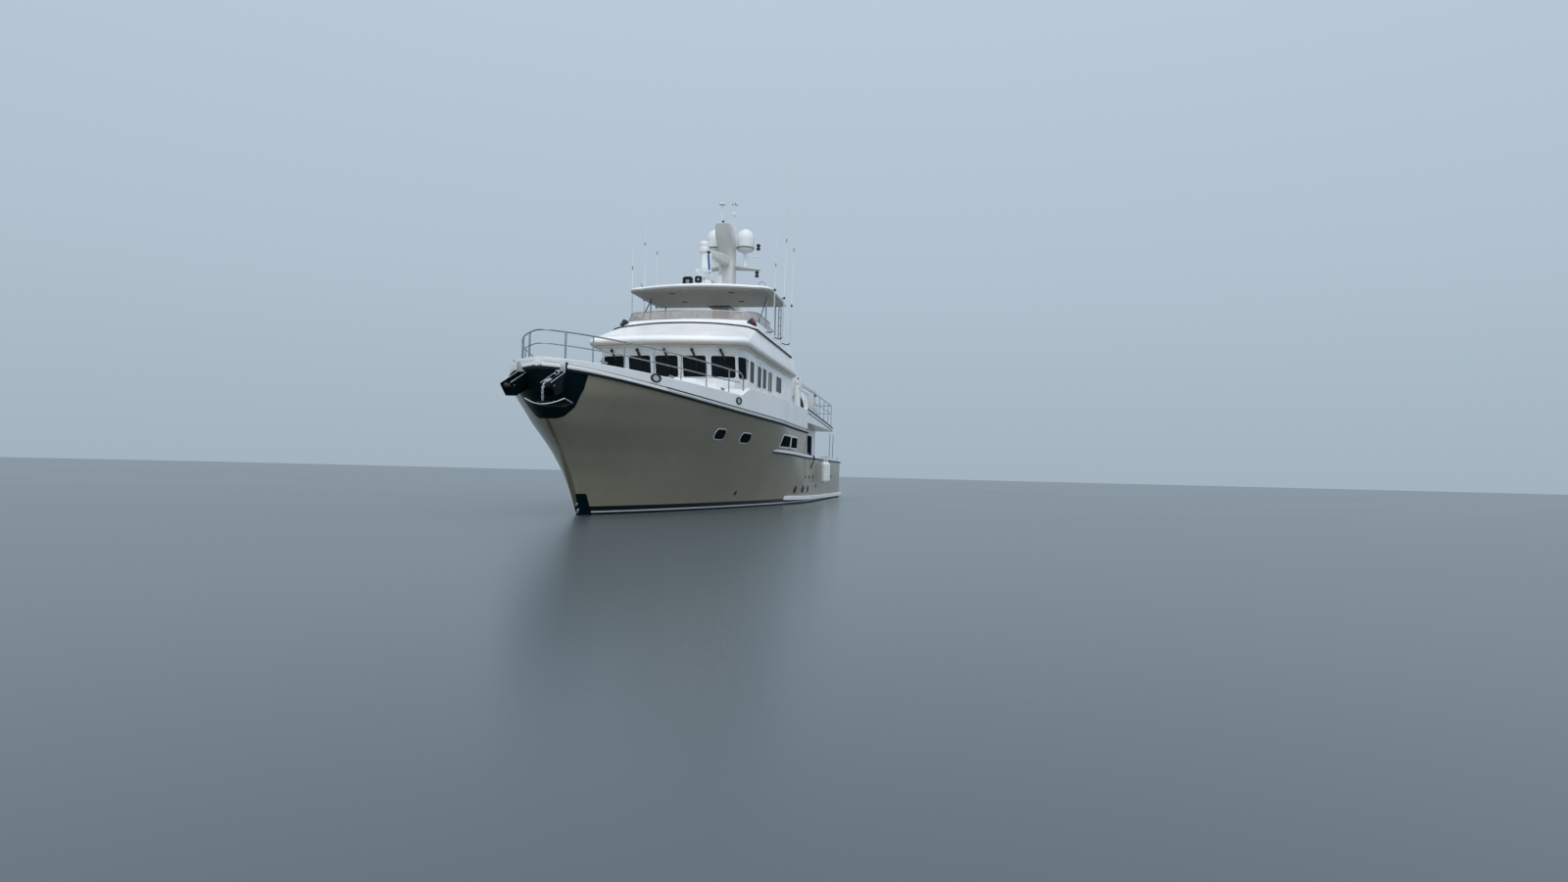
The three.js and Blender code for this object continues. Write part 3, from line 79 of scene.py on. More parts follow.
def add(tree, kind, settings=None, inputs=None, feeds=None):
    """Adds a node with its settings, a ramp's stops among them, its inputs and the sockets it feeds."""
    node = tree.nodes.new("ShaderNode" + kind)
    for name, value in (settings or {}).items():
        if name != "stops":
            setattr(node, name, value)
            continue
        elements = node.color_ramp.elements
        elements[0].position, elements[0].color = value[0]
        elements[1].position, elements[1].color = value[-1]
        for position, colour in value[1:-1]:
            elements.new(position).color = colour
    for name, value in (inputs or {}).items():
        if isinstance(value, bpy.types.NodeSocket):
            tree.links.new(value, node.inputs[name])
        else:
            node.inputs[name].default_value = value
    for name, socket in (feeds or {}).items():
        tree.links.new(node.outputs[name], socket)
    return node


def finish_of(name, colour, roughness, **sockets):
    """A new material with its shader's own sockets set, its tree and its shader."""
    material = bpy.data.materials.new(name)
    material.use_nodes = True
    shader = material.node_tree.nodes["Principled BSDF"]
    shader.inputs["Base Color"].default_value = linear(colour)
    shader.inputs["Roughness"].default_value = roughness
    for socket, value in sockets.items():
        shader.inputs[socket.replace("_", " ")].default_value = value
    return material, material.node_tree, shader


def place(tree, scale=(1, 1, 1)):
    """Places on the object in metres, stretched by the scale."""
    at = add(tree, "TexCoord")
    return add(tree, "Mapping", None, {"Vector": at.outputs["Object"], "Scale": scale}).outputs["Vector"]


def patchy(tree, shader, scale, low, high, rough_low, rough_high, stretch=(1, 1, 1), detail=4.0):
    """Broad, soft patches between two colours and two roughnesses."""
    noise = add(tree, "TexNoise", None, {"Vector": place(tree, stretch), "Scale": scale, "Detail": detail})
    add(tree, "ValToRGB", {"stops": [(0.3, linear(low)), (0.7, linear(high))]},
        {"Fac": noise.outputs["Fac"]}, {"Color": shader.inputs["Base Color"]})
    add(tree, "MapRange", None, {"Value": noise.outputs["Fac"], "From Min": 0.3, "From Max": 0.7,
        "To Min": rough_low, "To Max": rough_high}, {"Result": shader.inputs["Roughness"]})
    return noise


BOOT_LOW, BOOT_WHITE, BOOT_GAP, BOOT_TOP = 0.050, 0.082, 0.095, 0.190


def hull_enamel():
    # Two-pack polyurethane yacht enamel over faired steel: a deep gloss with broad, slow waves from the
    # fairing, faint run-off streaks, a black boot top with a white line under it, and matt antifouling below.
    material, tree, shader = finish_of("taupe_yacht_enamel", 0x938B7A, 0.2, Specular_IOR_Level=0.3)
    at = place(tree)
    height = add(tree, "SeparateXYZ", None, {"Vector": at}).outputs["Z"]
    wide = add(tree, "TexNoise", None, {"Vector": at, "Scale": 0.35, "Detail": 3.0})
    streaks = add(tree, "TexNoise", None, {"Vector": place(tree, (3.5, 3.5, 0.12)), "Scale": 1.0,
        "Detail": 5.0})
    body = add(tree, "ValToRGB", {"stops": [(0.3, linear(0x8E8774)), (0.7, linear(0x9A9280))]},
        {"Fac": wide.outputs["Fac"]})
    faint = add(tree, "MapRange", None, {
        "Value": streaks.outputs["Fac"], "From Min": 0.45, "From Max": 0.8, "To Min": 0.0, "To Max": 0.2})
    washed = add(tree, "Mix", {"data_type": "RGBA"}, {
        "Factor": faint.outputs["Result"], 6: body.outputs["Color"], 7: linear(0xA69F8E)})
    scale = 0.5
    boot = add(tree, "MapRange", None, {"Value": height, "From Min": -0.2, "From Max": -0.2 + scale})
    stops = [(0.0, linear(0x14181A))]
    stops += [((z + 0.2) / scale, linear(code)) for z, code in (
        (BOOT_LOW, 0xD9DBD8), (BOOT_WHITE, 0x14181A), (BOOT_GAP, 0x0C0E10), (BOOT_TOP, 0x0C0E10))]
    bands = add(tree, "ValToRGB", {"stops": stops}, {"Fac": boot.outputs["Result"]})
    bands.color_ramp.interpolation = "CONSTANT"
    above = add(tree, "Math", {"operation": "GREATER_THAN"}, {0: height, 1: BOOT_TOP})
    add(tree, "Mix", {"data_type": "RGBA"}, {"Factor": above.outputs[0], 6: bands.outputs["Color"],
        7: washed.outputs[2]}, {2: shader.inputs["Base Color"]})
    add(tree, "MapRange", None, {"Value": height, "From Min": 0.0, "From Max": BOOT_LOW, "To Min": 0.7,
        "To Max": 0.22}, {"Result": shader.inputs["Roughness"]})
    waves = add(tree, "TexNoise", None, {"Vector": place(tree, (1, 1, 0.6)), "Scale": 1.1, "Detail": 2.0})
    add(tree, "Bump", None, {"Height": waves.outputs["Fac"], "Distance": 5.0 * MM, "Strength": 0.6},
        {"Normal": shader.inputs["Normal"]})
    return material


def gelcoat():
    # Polyester gelcoat pulled from a polished mould, waxed: bright, chalky in places, grey run-off marks.
    material, tree, shader = finish_of("white_gelcoat", 0xEBEEEF, 0.2, Specular_IOR_Level=0.35)
    patchy(tree, shader, 0.8, 0xE3E6E8, 0xF2F3F3, 0.18, 0.28, (1, 1, 0.45), 6.0)
    waves = add(tree, "TexNoise", None, {"Vector": place(tree), "Scale": 2.2, "Detail": 2.0})
    add(tree, "Bump", None, {"Height": waves.outputs["Fac"], "Distance": 1.5 * MM, "Strength": 0.5},
        {"Normal": shader.inputs["Normal"]})
    return material


def deck_paint():
    # Non-slip deck paint with grit rolled in: matt, warm white, trodden grey. The grit is drawn at 9 mm.
    material, tree, shader = finish_of("nonslip_deck_paint", 0xD3D0C6, 0.75)
    patchy(tree, shader, 1.4, 0xC9C6BC, 0xDAD7CE, 0.68, 0.82)
    grit = add(tree, "TexNoise", None, {"Vector": place(tree), "Scale": 110.0, "Detail": 2.0})
    add(tree, "Bump", None, {"Height": grit.outputs["Fac"], "Distance": 1.2 * MM, "Strength": 0.8},
        {"Normal": shader.inputs["Normal"]})
    return material


def stainless():
    # 316 stainless tube, polished: mirror bright, with fine wipe marks along it and a breath of salt.
    material, tree, shader = finish_of("polished_stainless", 0x9B9FA2, 0.16, Metallic=1.0)
    patchy(tree, shader, 30.0, 0x8E9295, 0xA8ACAF, 0.12, 0.24)
    return material


def brushed_stainless():
    # 316 stainless castings, brushed: paler and softer than the tube, with a grain drawn at 10 mm.
    material, tree, shader = finish_of("brushed_stainless", 0xCDD1D3, 0.42, Metallic=0.55)
    patchy(tree, shader, 14.0, 0xBFC3C6, 0xDCDFE1, 0.36, 0.5, (1, 1, 8.0))
    return material


def galvanised():
    # Hot-dip galvanised steel: pale grey zinc with spangle about 12 mm across, dull where it has weathered.
    material, tree, shader = finish_of("galvanised_steel", 0xA9AEB1, 0.45, Metallic=0.85)
    spangle = add(tree, "TexVoronoi", None, {"Vector": place(tree), "Scale": 80.0})
    add(tree, "ValToRGB", {"stops": [(0.1, linear(0x9AA0A4)), (0.9, linear(0xC2C7CA))]}, {
        "Fac": spangle.outputs["Color"]}, {"Color": shader.inputs["Base Color"]})
    add(tree, "MapRange", None, {"Value": spangle.outputs["Color"], "To Min": 0.32, "To Max": 0.55},
        {"Result": shader.inputs["Roughness"]})
    add(tree, "Bump", None, {"Height": spangle.outputs["Distance"], "Distance": 0.4 * MM, "Strength": 0.4},
        {"Normal": shader.inputs["Normal"]})
    return material


def dark_enamel():
    # Green-black enamel on the wear plates: deep gloss, scuffed pale in short strokes where gear has rubbed.
    material, tree, shader = finish_of("green_black_enamel", 0x06171A, 0.14, Specular_IOR_Level=0.04)
    scuffs = add(tree, "TexNoise", None, {"Vector": place(tree, (14, 5, 30)), "Scale": 1.6, "Detail": 8.0,
        "Roughness": 0.7})
    stops = [(at, linear(code)) for at, code in ((0.0, 0x041216), (0.6, 0x071A1E), (0.8, 0x12292D),
        (1.0, 0x344447))]
    add(tree, "ValToRGB", {"stops": stops}, {"Fac": scuffs.outputs["Fac"]},
        {"Color": shader.inputs["Base Color"]})
    add(tree, "MapRange", None, {"Value": scuffs.outputs["Fac"], "From Min": 0.45, "From Max": 0.8,
        "To Min": 0.07, "To Max": 0.5}, {"Result": shader.inputs["Roughness"]})
    return material


def antifouling():
    # Self-eroding bottom paint, rolled: matt black-grey, thin and green-brown where it has worn.
    material, tree, shader = finish_of("antifouling_paint", 0x14181A, 0.8)
    patchy(tree, shader, 1.2, 0x12171A, 0x262A26, 0.7, 0.9)
    return material


def bronze():
    # Nickel-aluminium bronze, cast and polished, with brown oxide in patches.
    material, tree, shader = finish_of("cast_bronze", 0xA4804A, 0.3, Metallic=1.0)
    patchy(tree, shader, 9.0, 0x7C5D34, 0xB6925A, 0.22, 0.48)
    return material


def cover_cloth():
    # Solution-dyed acrylic canvas, plain weave: pale grey, matt with a slight sheen, soiled along the folds.
    # The threads are 0.6 mm apart and drawn at 5 mm to show.
    material, tree, shader = finish_of("acrylic_canvas", 0xD9DBDC, 0.85, Sheen_Weight=0.1)
    soil = patchy(tree, shader, 2.6, 0xC8CBCD, 0xE4E6E7, 0.8, 0.92)
    warp = add(tree, "TexWave", {"bands_direction": "X"}, {"Vector": place(tree), "Scale": 62.0})
    weft = add(tree, "TexWave", {"bands_direction": "Z"}, {"Vector": place(tree), "Scale": 62.0})
    weave = add(tree, "Math", {"operation": "ADD"}, {0: warp.outputs["Fac"], 1: weft.outputs["Fac"]})
    uneven = add(tree, "Math", {"operation": "ADD"}, {0: weave.outputs[0], 1: soil.outputs["Fac"]})
    add(tree, "Bump", None, {"Height": uneven.outputs[0], "Distance": 0.8 * MM, "Strength": 0.6},
        {"Normal": shader.inputs["Normal"]})
    return material


def rubber():
    # EPDM rubber, moulded: matt black, greyed by salt.
    material, tree, shader = finish_of("black_rubber", 0x1A1C1D, 0.7)
    patchy(tree, shader, 6.0, 0x151718, 0x2B2D2E, 0.6, 0.8)
    return material


def fender_vinyl():
    # Blown white vinyl: soft gloss, scuffed grey round the belly.
    material, tree, shader = finish_of("fender_vinyl", 0xE2E1DA, 0.35, Coat_Weight=0.1)
    patchy(tree, shader, 7.0, 0xD6D8D8, 0xEFF0F0, 0.3, 0.5, (1, 1, 2.0), 8.0)
    return material


def satin_plastic():
    # Moulded ASA with a satin skin: clean white, soft highlight, a fine leather grain drawn at 6 mm.
    material, tree, shader = finish_of("satin_white_asa", 0xE6E8E8, 0.38)
    patchy(tree, shader, 1.8, 0xE0E3E4, 0xEBEDED, 0.34, 0.44)
    grain = add(tree, "TexNoise", None, {"Vector": place(tree), "Scale": 160.0, "Detail": 2.0})
    add(tree, "Bump", None, {"Height": grain.outputs["Fac"], "Distance": 0.15 * MM, "Strength": 0.4},
        {"Normal": shader.inputs["Normal"]})
    return material


def smoked_acrylic():
    # Cast acrylic, smoked brown: see-through, with faint streaks from wiping.
    material, tree, shader = finish_of("smoked_acrylic", 0x9C948E, 0.05, Alpha=0.5, IOR=1.49)
    patchy(tree, shader, 5.0, 0x938B85, 0xA69E98, 0.04, 0.1, (1, 1, 0.3))
    return material


def tinted_glass(name, gloss):
    # Toughened glass with a dark solar tint and a clean mirror gloss. The pane is opaque, and its near-black
    # stands in for the rooms behind it: partly the tint, partly painted shade.
    material, tree, shader = finish_of(name, 0x171C1F, 0.03, IOR=1.52, Specular_IOR_Level=gloss)
    patchy(tree, shader, 1.7, 0x13181B, 0x20262A, 0.02, 0.06, (1, 1, 0.4))
    return material


def black_fitting():
    # Powder-coated aluminium: satin black, its edges dusty.
    material, tree, shader = finish_of("black_powder_coat", 0x131516, 0.42)
    patchy(tree, shader, 20.0, 0x101213, 0x202325, 0.36, 0.52)
    return material


def cabin_lining_painted_shade():
    # Foam-backed vinyl lining on the walls inside the cabins, with a soft grain. Its mid grey-brown stands in
    # for the shade in the cabins: painted shade.
    material, tree, shader = finish_of("vinyl_lining_painted_shade", 0x5B564F, 0.7)
    patchy(tree, shader, 3.0, 0x504B45, 0x665F57, 0.62, 0.8)
    return material


def grey_paint_and_underside_shade(name, low, high):
    # Sprayed paint on bonded panels: flat, warm grey, a shade darker in soft patches. Under the brow and the
    # hardtop, whose undersides are white gelcoat, this grey stands in for the shade there: painted shade. On
    # the domes it is the grey of their belts.
    material, tree, shader = finish_of(name, low, 0.6)
    patchy(tree, shader, 1.6, low, high, 0.55, 0.68)
    return material


def mast_paint():
    # Sprayed two-pack enamel on welded aluminium: satin, a grey off-white darker than the gelcoat, in soft
    # grey patches.
    material, tree, shader = finish_of("offwhite_mast_enamel", 0xCBCCC8, 0.32)
    patchy(tree, shader, 1.1, 0xC0C1BD, 0xD4D5D1, 0.28, 0.4, (1, 1, 0.5), 6.0)
    return material


def teak():
    # Laid teak, scrubbed silver-brown: planks 60 mm wide with black caulking between, running fore and aft.
    material, tree, shader = finish_of("laid_teak", 0xA98E68, 0.65)
    grain = add(tree, "TexNoise", None, {"Vector": place(tree, (2, 60, 60)), "Scale": 1.0, "Detail": 6.0})
    wood = add(tree, "ValToRGB", {"stops": [(0.3, linear(0x927753)), (0.7, linear(0xB79C76))]},
        {"Fac": grain.outputs["Fac"]})
    planks = add(tree, "TexWave", {"bands_direction": "Y", "wave_profile": "SAW"},
        {"Vector": place(tree), "Scale": 5.24})
    seam = add(tree, "Math", {"operation": "LESS_THAN"}, {0: planks.outputs["Fac"], 1: 0.1})
    add(tree, "Mix", {"data_type": "RGBA"}, {"Factor": seam.outputs[0], 6: wood.outputs["Color"],
        7: linear(0x1B1A18)}, {2: shader.inputs["Base Color"]})
    add(tree, "Bump", None, {"Height": grain.outputs["Fac"], "Distance": 0.5 * MM, "Strength": 0.5},
        {"Normal": shader.inputs["Normal"]})
    return material


def upholstery():
    # Marine vinyl over foam: cream, a soft gloss and a pebble grain drawn at 8 mm.
    material, tree, shader = finish_of("cream_marine_vinyl", 0xDAD3C2, 0.5, Sheen_Weight=0.1)
    patchy(tree, shader, 5.0, 0xD0C8B6, 0xE2DCCD, 0.44, 0.56)
    pebble = add(tree, "TexVoronoi", None, {"Vector": place(tree), "Scale": 120.0})
    add(tree, "Bump", None, {"Height": pebble.outputs["Distance"], "Distance": 0.5 * MM, "Strength": 0.4},
        {"Normal": shader.inputs["Normal"]})
    return material


def blue_film():
    # Cast vinyl film laid on the scanner's face: mid blue, soft gloss, paler where the sun has worked on it.
    material, tree, shader = finish_of("blue_vinyl_film", 0x2E5C8C, 0.3)
    patchy(tree, shader, 6.0, 0x284F7B, 0x3C6C9B, 0.25, 0.4)
    return material


def lens(name, code):
    # Moulded polycarbonate lens: clear gloss over the colour of what lies behind it.
    material, tree, shader = finish_of(name, code, 0.08, Coat_Weight=0.6)
    ribs = add(tree, "TexWave", {"bands_direction": "Z"}, {"Vector": place(tree), "Scale": 40.0})
    add(tree, "Bump", None, {"Height": ribs.outputs["Fac"], "Distance": 0.6 * MM, "Strength": 0.5},
        {"Normal": shader.inputs["Normal"]})
    return material


def rope():
    # Braided polyester rope: off-white, matt, with a braid 9 mm long.
    material, tree, shader = finish_of("braided_polyester", 0xCFCBBF, 0.8)
    braid = add(tree, "TexWave", {"bands_direction": "DIAGONAL"}, {"Vector": place(tree), "Scale": 35.0,
        "Distortion": 1.0})
    add(tree, "ValToRGB", {"stops": [(0.2, linear(0xB3AEA1)), (0.8, linear(0xDAD7CC))]},
        {"Fac": braid.outputs["Fac"]}, {"Color": shader.inputs["Base Color"]})
    add(tree, "Bump", None, {"Height": braid.outputs["Fac"], "Distance": 0.8 * MM, "Strength": 0.6},
        {"Normal": shader.inputs["Normal"]})
    return material


FINISHES = {
    # finish: material, slot of the record
    "enamel": (hull_enamel(), "hull_paint"),
    "gelcoat": (gelcoat(), "white_gelcoat"),
    "deck": (deck_paint(), "deck_paint"),
    "stainless": (stainless(), "stainless"),
    "brushed": (brushed_stainless(), "stainless"),
    "galvanised": (galvanised(), "galvanised"),
    "dark enamel": (dark_enamel(), "black_steel"),
    "antifouling": (antifouling(), "antifouling"),
    "bronze": (bronze(), "bronze"),
    "canvas": (cover_cloth(), "cover_fabric"),
    "vinyl seat": (upholstery(), "cover_fabric"),
    "rope": (rope(), "cover_fabric"),
    "rubber": (rubber(), "rubber"),
    "fender": (fender_vinyl(), "fender_vinyl"),
    "plastic": (satin_plastic(), "white_plastic"),
    "blue film": (blue_film(), "white_plastic"),
    "smoked": (smoked_acrylic(), "smoked_acrylic"),
    # The two glasses are near black partly from their tint and partly as painted shade of the rooms behind;
    # the lining, soffit and ceiling greys are painted shade in the rooms and under the brow and the hardtop.
    "glass": (tinted_glass("dark_glass_painted_room_shade", 0.03), "smoked_acrylic"),
    "matt glass": (tinted_glass("salted_glass_painted_room_shade", 0.0), "smoked_acrylic"),
    "black": (black_fitting(), "black_steel"),
    "lining": (cabin_lining_painted_shade(), "white_gelcoat"),
    "soffit": (grey_paint_and_underside_shade("pale_ceiling_painted_shade", 0xCECCC5, 0xD8D6CF), "white_gelcoat"),
    "ceiling": (grey_paint_and_underside_shade("grey_ceiling_painted_shade", 0xB2B0A9, 0xBDBBB4), "white_gelcoat"),
    "mast": (mast_paint(), "white_gelcoat"),
    "dome base": (grey_paint_and_underside_shade("grey_dome_base", 0x85898A, 0x929697), "white_plastic"),
    "teak": (teak(), "deck_paint"),
    "lens": (lens("clear_lens", 0xD8DCDC), "smoked_acrylic"),
    "red lens": (lens("red_lens", 0x8C1713), "smoked_acrylic"),
    "green lens": (lens("green_lens", 0x0F6B3A), "smoked_acrylic"),
}


SIDES = (("port", 1), ("starboard", -1))


# Shapes: a list of points and a list of faces
def blend(a, b, t):
    return a + (b - a) * t


def clamped(t):
    return min(1.0, max(0.0, t))


def curve(points, steps=6, closed=False):
    """A smooth line through the points."""
    count = len(points)
    spans = count if closed else count - 1
    line = []
    for i in range(spans):
        ends = [Vector(points[(i + k) % count] if closed else points[min(count - 1, max(0, i + k))])
            for k in (-1, 0, 1, 2)]
        p0, p1, p2, p3 = ends
        for step in range(steps):
            t = step / steps
            line.append(0.5 * (2 * p1 + (p2 - p0) * t + (2 * p0 - 5 * p1 + 4 * p2 - p3) * t * t
                               + (3 * p1 - p0 - 3 * p2 + p3) * t ** 3))
    if not closed:
        line.append(Vector(points[-1]))
    return line


def turns(count):
    """Angles round a full turn."""
    return [2 * math.pi * k / count for k in range(count)]


def from_here(here, points):
    """Points given from a place."""
    return [tuple(a + b for a, b in zip(here, p)) for p in points]


def merge(*shapes):
    points, faces = [], []
    for own_points, own_faces in shapes:
        start = len(points)
        points.extend(own_points)
        faces.extend(tuple(start + i for i in face) for face in own_faces)
    return points, faces


def moved(shape, matrix):
    return [matrix @ Vector(p) for p in shape[0]], shape[1]


def shifted(shape, x=0, y=0, z=0):
    return moved(shape, Matrix.Translation((x, y, z)))


def mirrored(shape):
    return [(p[0], -p[1], p[2]) for p in shape[0]], [tuple(reversed(face)) for face in shape[1]]


def both(shape):
    return merge(shape, mirrored(shape))


def loft(rings, closed=True, caps=True):
    """Rings of the same number of points, joined in turn."""
    count = len(rings[0])
    points = [p for ring in rings for p in ring]
    faces = []
    for r in range(len(rings) - 1):
        for i in range(count if closed else count - 1):
            j = (i + 1) % count
            faces.append((r * count + i, r * count + j, (r + 1) * count + j, (r + 1) * count + i))
    if caps:
        last = (len(rings) - 1) * count
        faces.append(tuple(reversed(range(count))))
        faces.append(tuple(range(last, last + count)))
    return points, faces


def tube(points, radius, sides=10, closed=False, flat=1.0):
    """A bar along the points. The radius is one number or one for each point, flat squeezes it sideways."""
    path = [Vector(p) for p in points]
    count = len(path)
    radii = radius if hasattr(radius, "__len__") else [radius] * count
    rings = []
    side = None
    for i, p in enumerate(path):
        ahead = path[(i + 1) % count] if closed or i < count - 1 else p
        behind = path[i - 1] if closed or i > 0 else p
        along = (ahead - behind).normalized()
        if side is None:
            side = along.cross(Vector((0, 0, 1)))
            if side.length < 0.1:
                side = along.cross(Vector((0, 1, 0)))
        side = (side - along * side.dot(along)).normalized()
        up = side.cross(along)
        rings.append([p + radii[i] * (side * flat * math.cos(a) + up * math.sin(a)) for a in turns(sides)])
    if closed:
        points, faces = loft(rings, caps=False)
        last = (count - 1) * sides
        faces += [(last + i, last + (i + 1) % sides, (i + 1) % sides, i) for i in range(sides)]
        return points, faces
    return loft(rings)


def lathe(profile, x=0, y=0, z=0, sides=24, turn=None):
    """A turned form from [radius, height] pairs, about a vertical axis unless it is turned over."""
    shape = loft([[Vector((r * math.cos(a), r * math.sin(a), h)) for a in turns(sides)] for r, h in profile])
    if turn:
        shape = moved(shape, turn)
    return shifted(shape, x, y, z)


TO_BOW = Matrix.Rotation(math.pi / 2, 4, "Y")       # stands a turned form up along +X
TO_STERN = Matrix.Rotation(-math.pi / 2, 4, "Y")
TO_PORT = Matrix.Rotation(-math.pi / 2, 4, "X")
TO_STARBOARD = Matrix.Rotation(math.pi / 2, 4, "X")


def ball(x, y, z, radius, sides=16):
    rows = [(max(0.001, radius * math.sin(a)), -radius * math.cos(a))
        for a in (math.pi * k / 8 for k in range(9))]
    return lathe(rows, x, y, z, sides)


def prism(outline, low, high, along="z"):
    """An outline raised between two places: [x, y] along z, [x, z] along y, or [y, z] along x."""
    place_of = {
        "z": lambda a, b, h: (a, b, h), "y": lambda a, b, h: (a, h, b), "x": lambda a, b, h: (h, a, b)}[along]
    return loft([[place_of(a, b, h) for a, b in outline] for h in (low, high)])


def slab(x0, x1, y0, y1, z0, z1):
    return prism([(x0, y0), (x1, y0), (x1, y1), (x0, y1)], z0, z1)


def rounded(a0, a1, b0, b1, radius, steps=5):
    """A rectangle with round corners as an outline."""
    outline = []
    for a, b, start in ((a1 - radius, b1 - radius, 0), (a0 + radius, b1 - radius, 1),
                        (a0 + radius, b0 + radius, 2), (a1 - radius, b0 + radius, 3)):
        for k in range(steps + 1):
            angle = math.pi / 2 * (start + k / steps)
            outline.append((a + radius * math.cos(angle), b + radius * math.sin(angle)))
    return outline


def applied(obj):
    """Bakes the modifiers of an object into its mesh."""
    graph = bpy.context.evaluated_depsgraph_get()
    mesh = bpy.data.meshes.new_from_object(obj.evaluated_get(graph))
    obj.modifiers.clear()
    obj.data = mesh


def bare_object(name, shape):
    mesh = bpy.data.meshes.new(name)
    mesh.from_pydata([(p[0] * MM, p[1] * MM, p[2] * MM) for p in shape[0]], [], shape[1])
    form = bmesh.new()
    form.from_mesh(mesh)
    bmesh.ops.remove_doubles(form, verts=form.verts, dist=0.00002)
    bmesh.ops.recalc_face_normals(form, faces=form.faces)
    form.to_mesh(mesh)
    form.free()
    obj = bpy.data.objects.new(name, mesh)
    bpy.context.scene.collection.objects.link(obj)
    return obj


def carve(obj, cutters):
    for cutter in cutters:
        tool = bare_object("cutter", cutter)
        cut = obj.modifiers.new("cut", "BOOLEAN")
        cut.operation = "DIFFERENCE"
        cut.solver = "MANIFOLD"
        cut.object = tool
        applied(obj)
        bpy.data.objects.remove(tool)


def piece(name, shape, finish, body="yacht", instead=(), angle=35, bevel=0, cutters=(), inlays=()):
    """A piece in its finish, on its body, in place of CAD nodes. Inlays give some faces another finish."""
    obj = bare_object(name, shape)
    carve(obj, cutters)
    if bevel:
        edge = obj.modifiers.new("edge", "BEVEL")
        edge.width = bevel * MM
        edge.segments = 2
        edge.angle_limit = math.radians(40)
        applied(obj)
    obj.data.materials.clear()
    for key in (finish, *[key for key, _ in inlays]):
        obj.data.materials.append(FINISHES[key][0])
    for face in obj.data.polygons:
        face.material_index = 0
        for k, (_, holds) in enumerate(inlays):
            if holds(face.center / MM, face.normal):
                face.material_index = k + 1
    obj.data.polygons.foreach_set("use_smooth", [True] * len(obj.data.polygons))
    obj.data.set_sharp_from_angle(angle=math.radians(angle))
    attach(obj, body)
    if instead:
        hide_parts(*instead)
    return obj


def dressed(node, finish, body="yacht", bevel=8, angle=24, inlays=(), name=None):
    """A piece with the form of its CAD node, and with its edges rounded off."""
    source = frame["nodes"][node]
    form = bmesh.new()
    form.from_mesh(source.data)
    bmesh.ops.remove_doubles(form, verts=form.verts, dist=0.00005)
    bmesh.ops.dissolve_limit(form, angle_limit=math.radians(1.5), verts=form.verts, edges=form.edges)
    points = [v.co / MM for v in form.verts]
    faces = [tuple(v.index for v in face.verts) for face in form.faces]
    form.free()
    return piece(name or node + "_skin", (points, faces), finish, body, [node], angle, bevel, inlays=inlays)


# Hull form, as in the part's source
RISE_POWER = 2.76
STEM = [(0, 11100), (460, 11390), (920, 11710), (1430, 12170), (1970, 12820), (2500, 13180), (2950, 13300),
    (3300, 13330)]
START, BEAM, POWER, FULLNESS = (-1550, 4050), (2980, 3120), (1.345, 1.4), (0.8, 0.61)
TRANSOM_X, STEP_X, STEM_FOOT_X, FORWARD_X = -11100, -500, 11100, 1000
AFT_RAIL_Z, UPPER_DECK_Z, MAIN_DECK_Z = 1620, 2500, 600
BOTTOM_ROWS = [
    # zMid, halfMid, xStem, zStem, zTransom, how far it follows the waterline's narrowing
    (-500, 2880, 10820, -480, -220, 1.05),
    (-1000, 2450, 10400, -950, -330, 1.25),
    (-1350, 1450, 9800, -1380, -400, 1.4),
    (-1500, 170, 9150, -1720, -440, 0.25),
    (-2440, 130, 8100, -2140, -470, 0.25),
]
SKEG_AFT_X, KEEL_Z, STEM_TOP_X = -7200, -2440, 13300


def rise(x):
    return max(0.0, x / STEM_TOP_X) ** RISE_POWER


def stem_x(z):
    i = next((k for k, (height, _) in enumerate(STEM) if height >= z), len(STEM) - 1)
    i = max(1, i)
    (z0, x0), (z1, x1) = STEM[i - 1], STEM[i]
    return blend(x0, x1, (z - z0) / (z1 - z0))


def half_breadth(x, z):
    flare = max(0.0, z / 2450) ** 1.3
    start = blend(*START, flare)
    beam = blend(*BEAM, min(flare, 1.1))
    if x <= start:
        return beam * (1 - blend(0.02, 0.045, flare) * min(0.0, x / -TRANSOM_X) ** 2)
    along = min(0.9995, (x - start) / (stem_x(z) - start))
    fullness = blend(*FULLNESS, min(flare, 1.05))
    return max(40.0, beam * (1 - along ** blend(*POWER, flare)) ** fullness)


def rub_rail_z(x):
    return 2410 + 560 * rise(x)


def hull_top_z(x):
    return AFT_RAIL_Z if x < STEP_X else rub_rail_z(x) + 95


def bottom_point(row, x, forward):
    z_mid, half_mid, x_stem, z_stem, z_transom, follow = row
    waterline_x = blend(FORWARD_X, STEM_FOOT_X, forward) if forward > 0 else x
    half = max(40.0, half_mid * (half_breadth(waterline_x, 0) / BEAM[0]) ** follow)
    if forward > 0:
        return blend(FORWARD_X, x_stem, forward), half, blend(z_mid, z_stem, forward ** 2.2)
    run = max(0.0, (-1000 - x) / 10100) ** 1.3
    z = blend(z_mid, z_transom, run)
    if z_mid == KEEL_Z:
        z = KEEL_Z if x >= SKEG_AFT_X else blend(-1500, -440, run) - 30
    return x, half * (1 - 0.06 * run), z


TOPSIDE_STEPS = 26


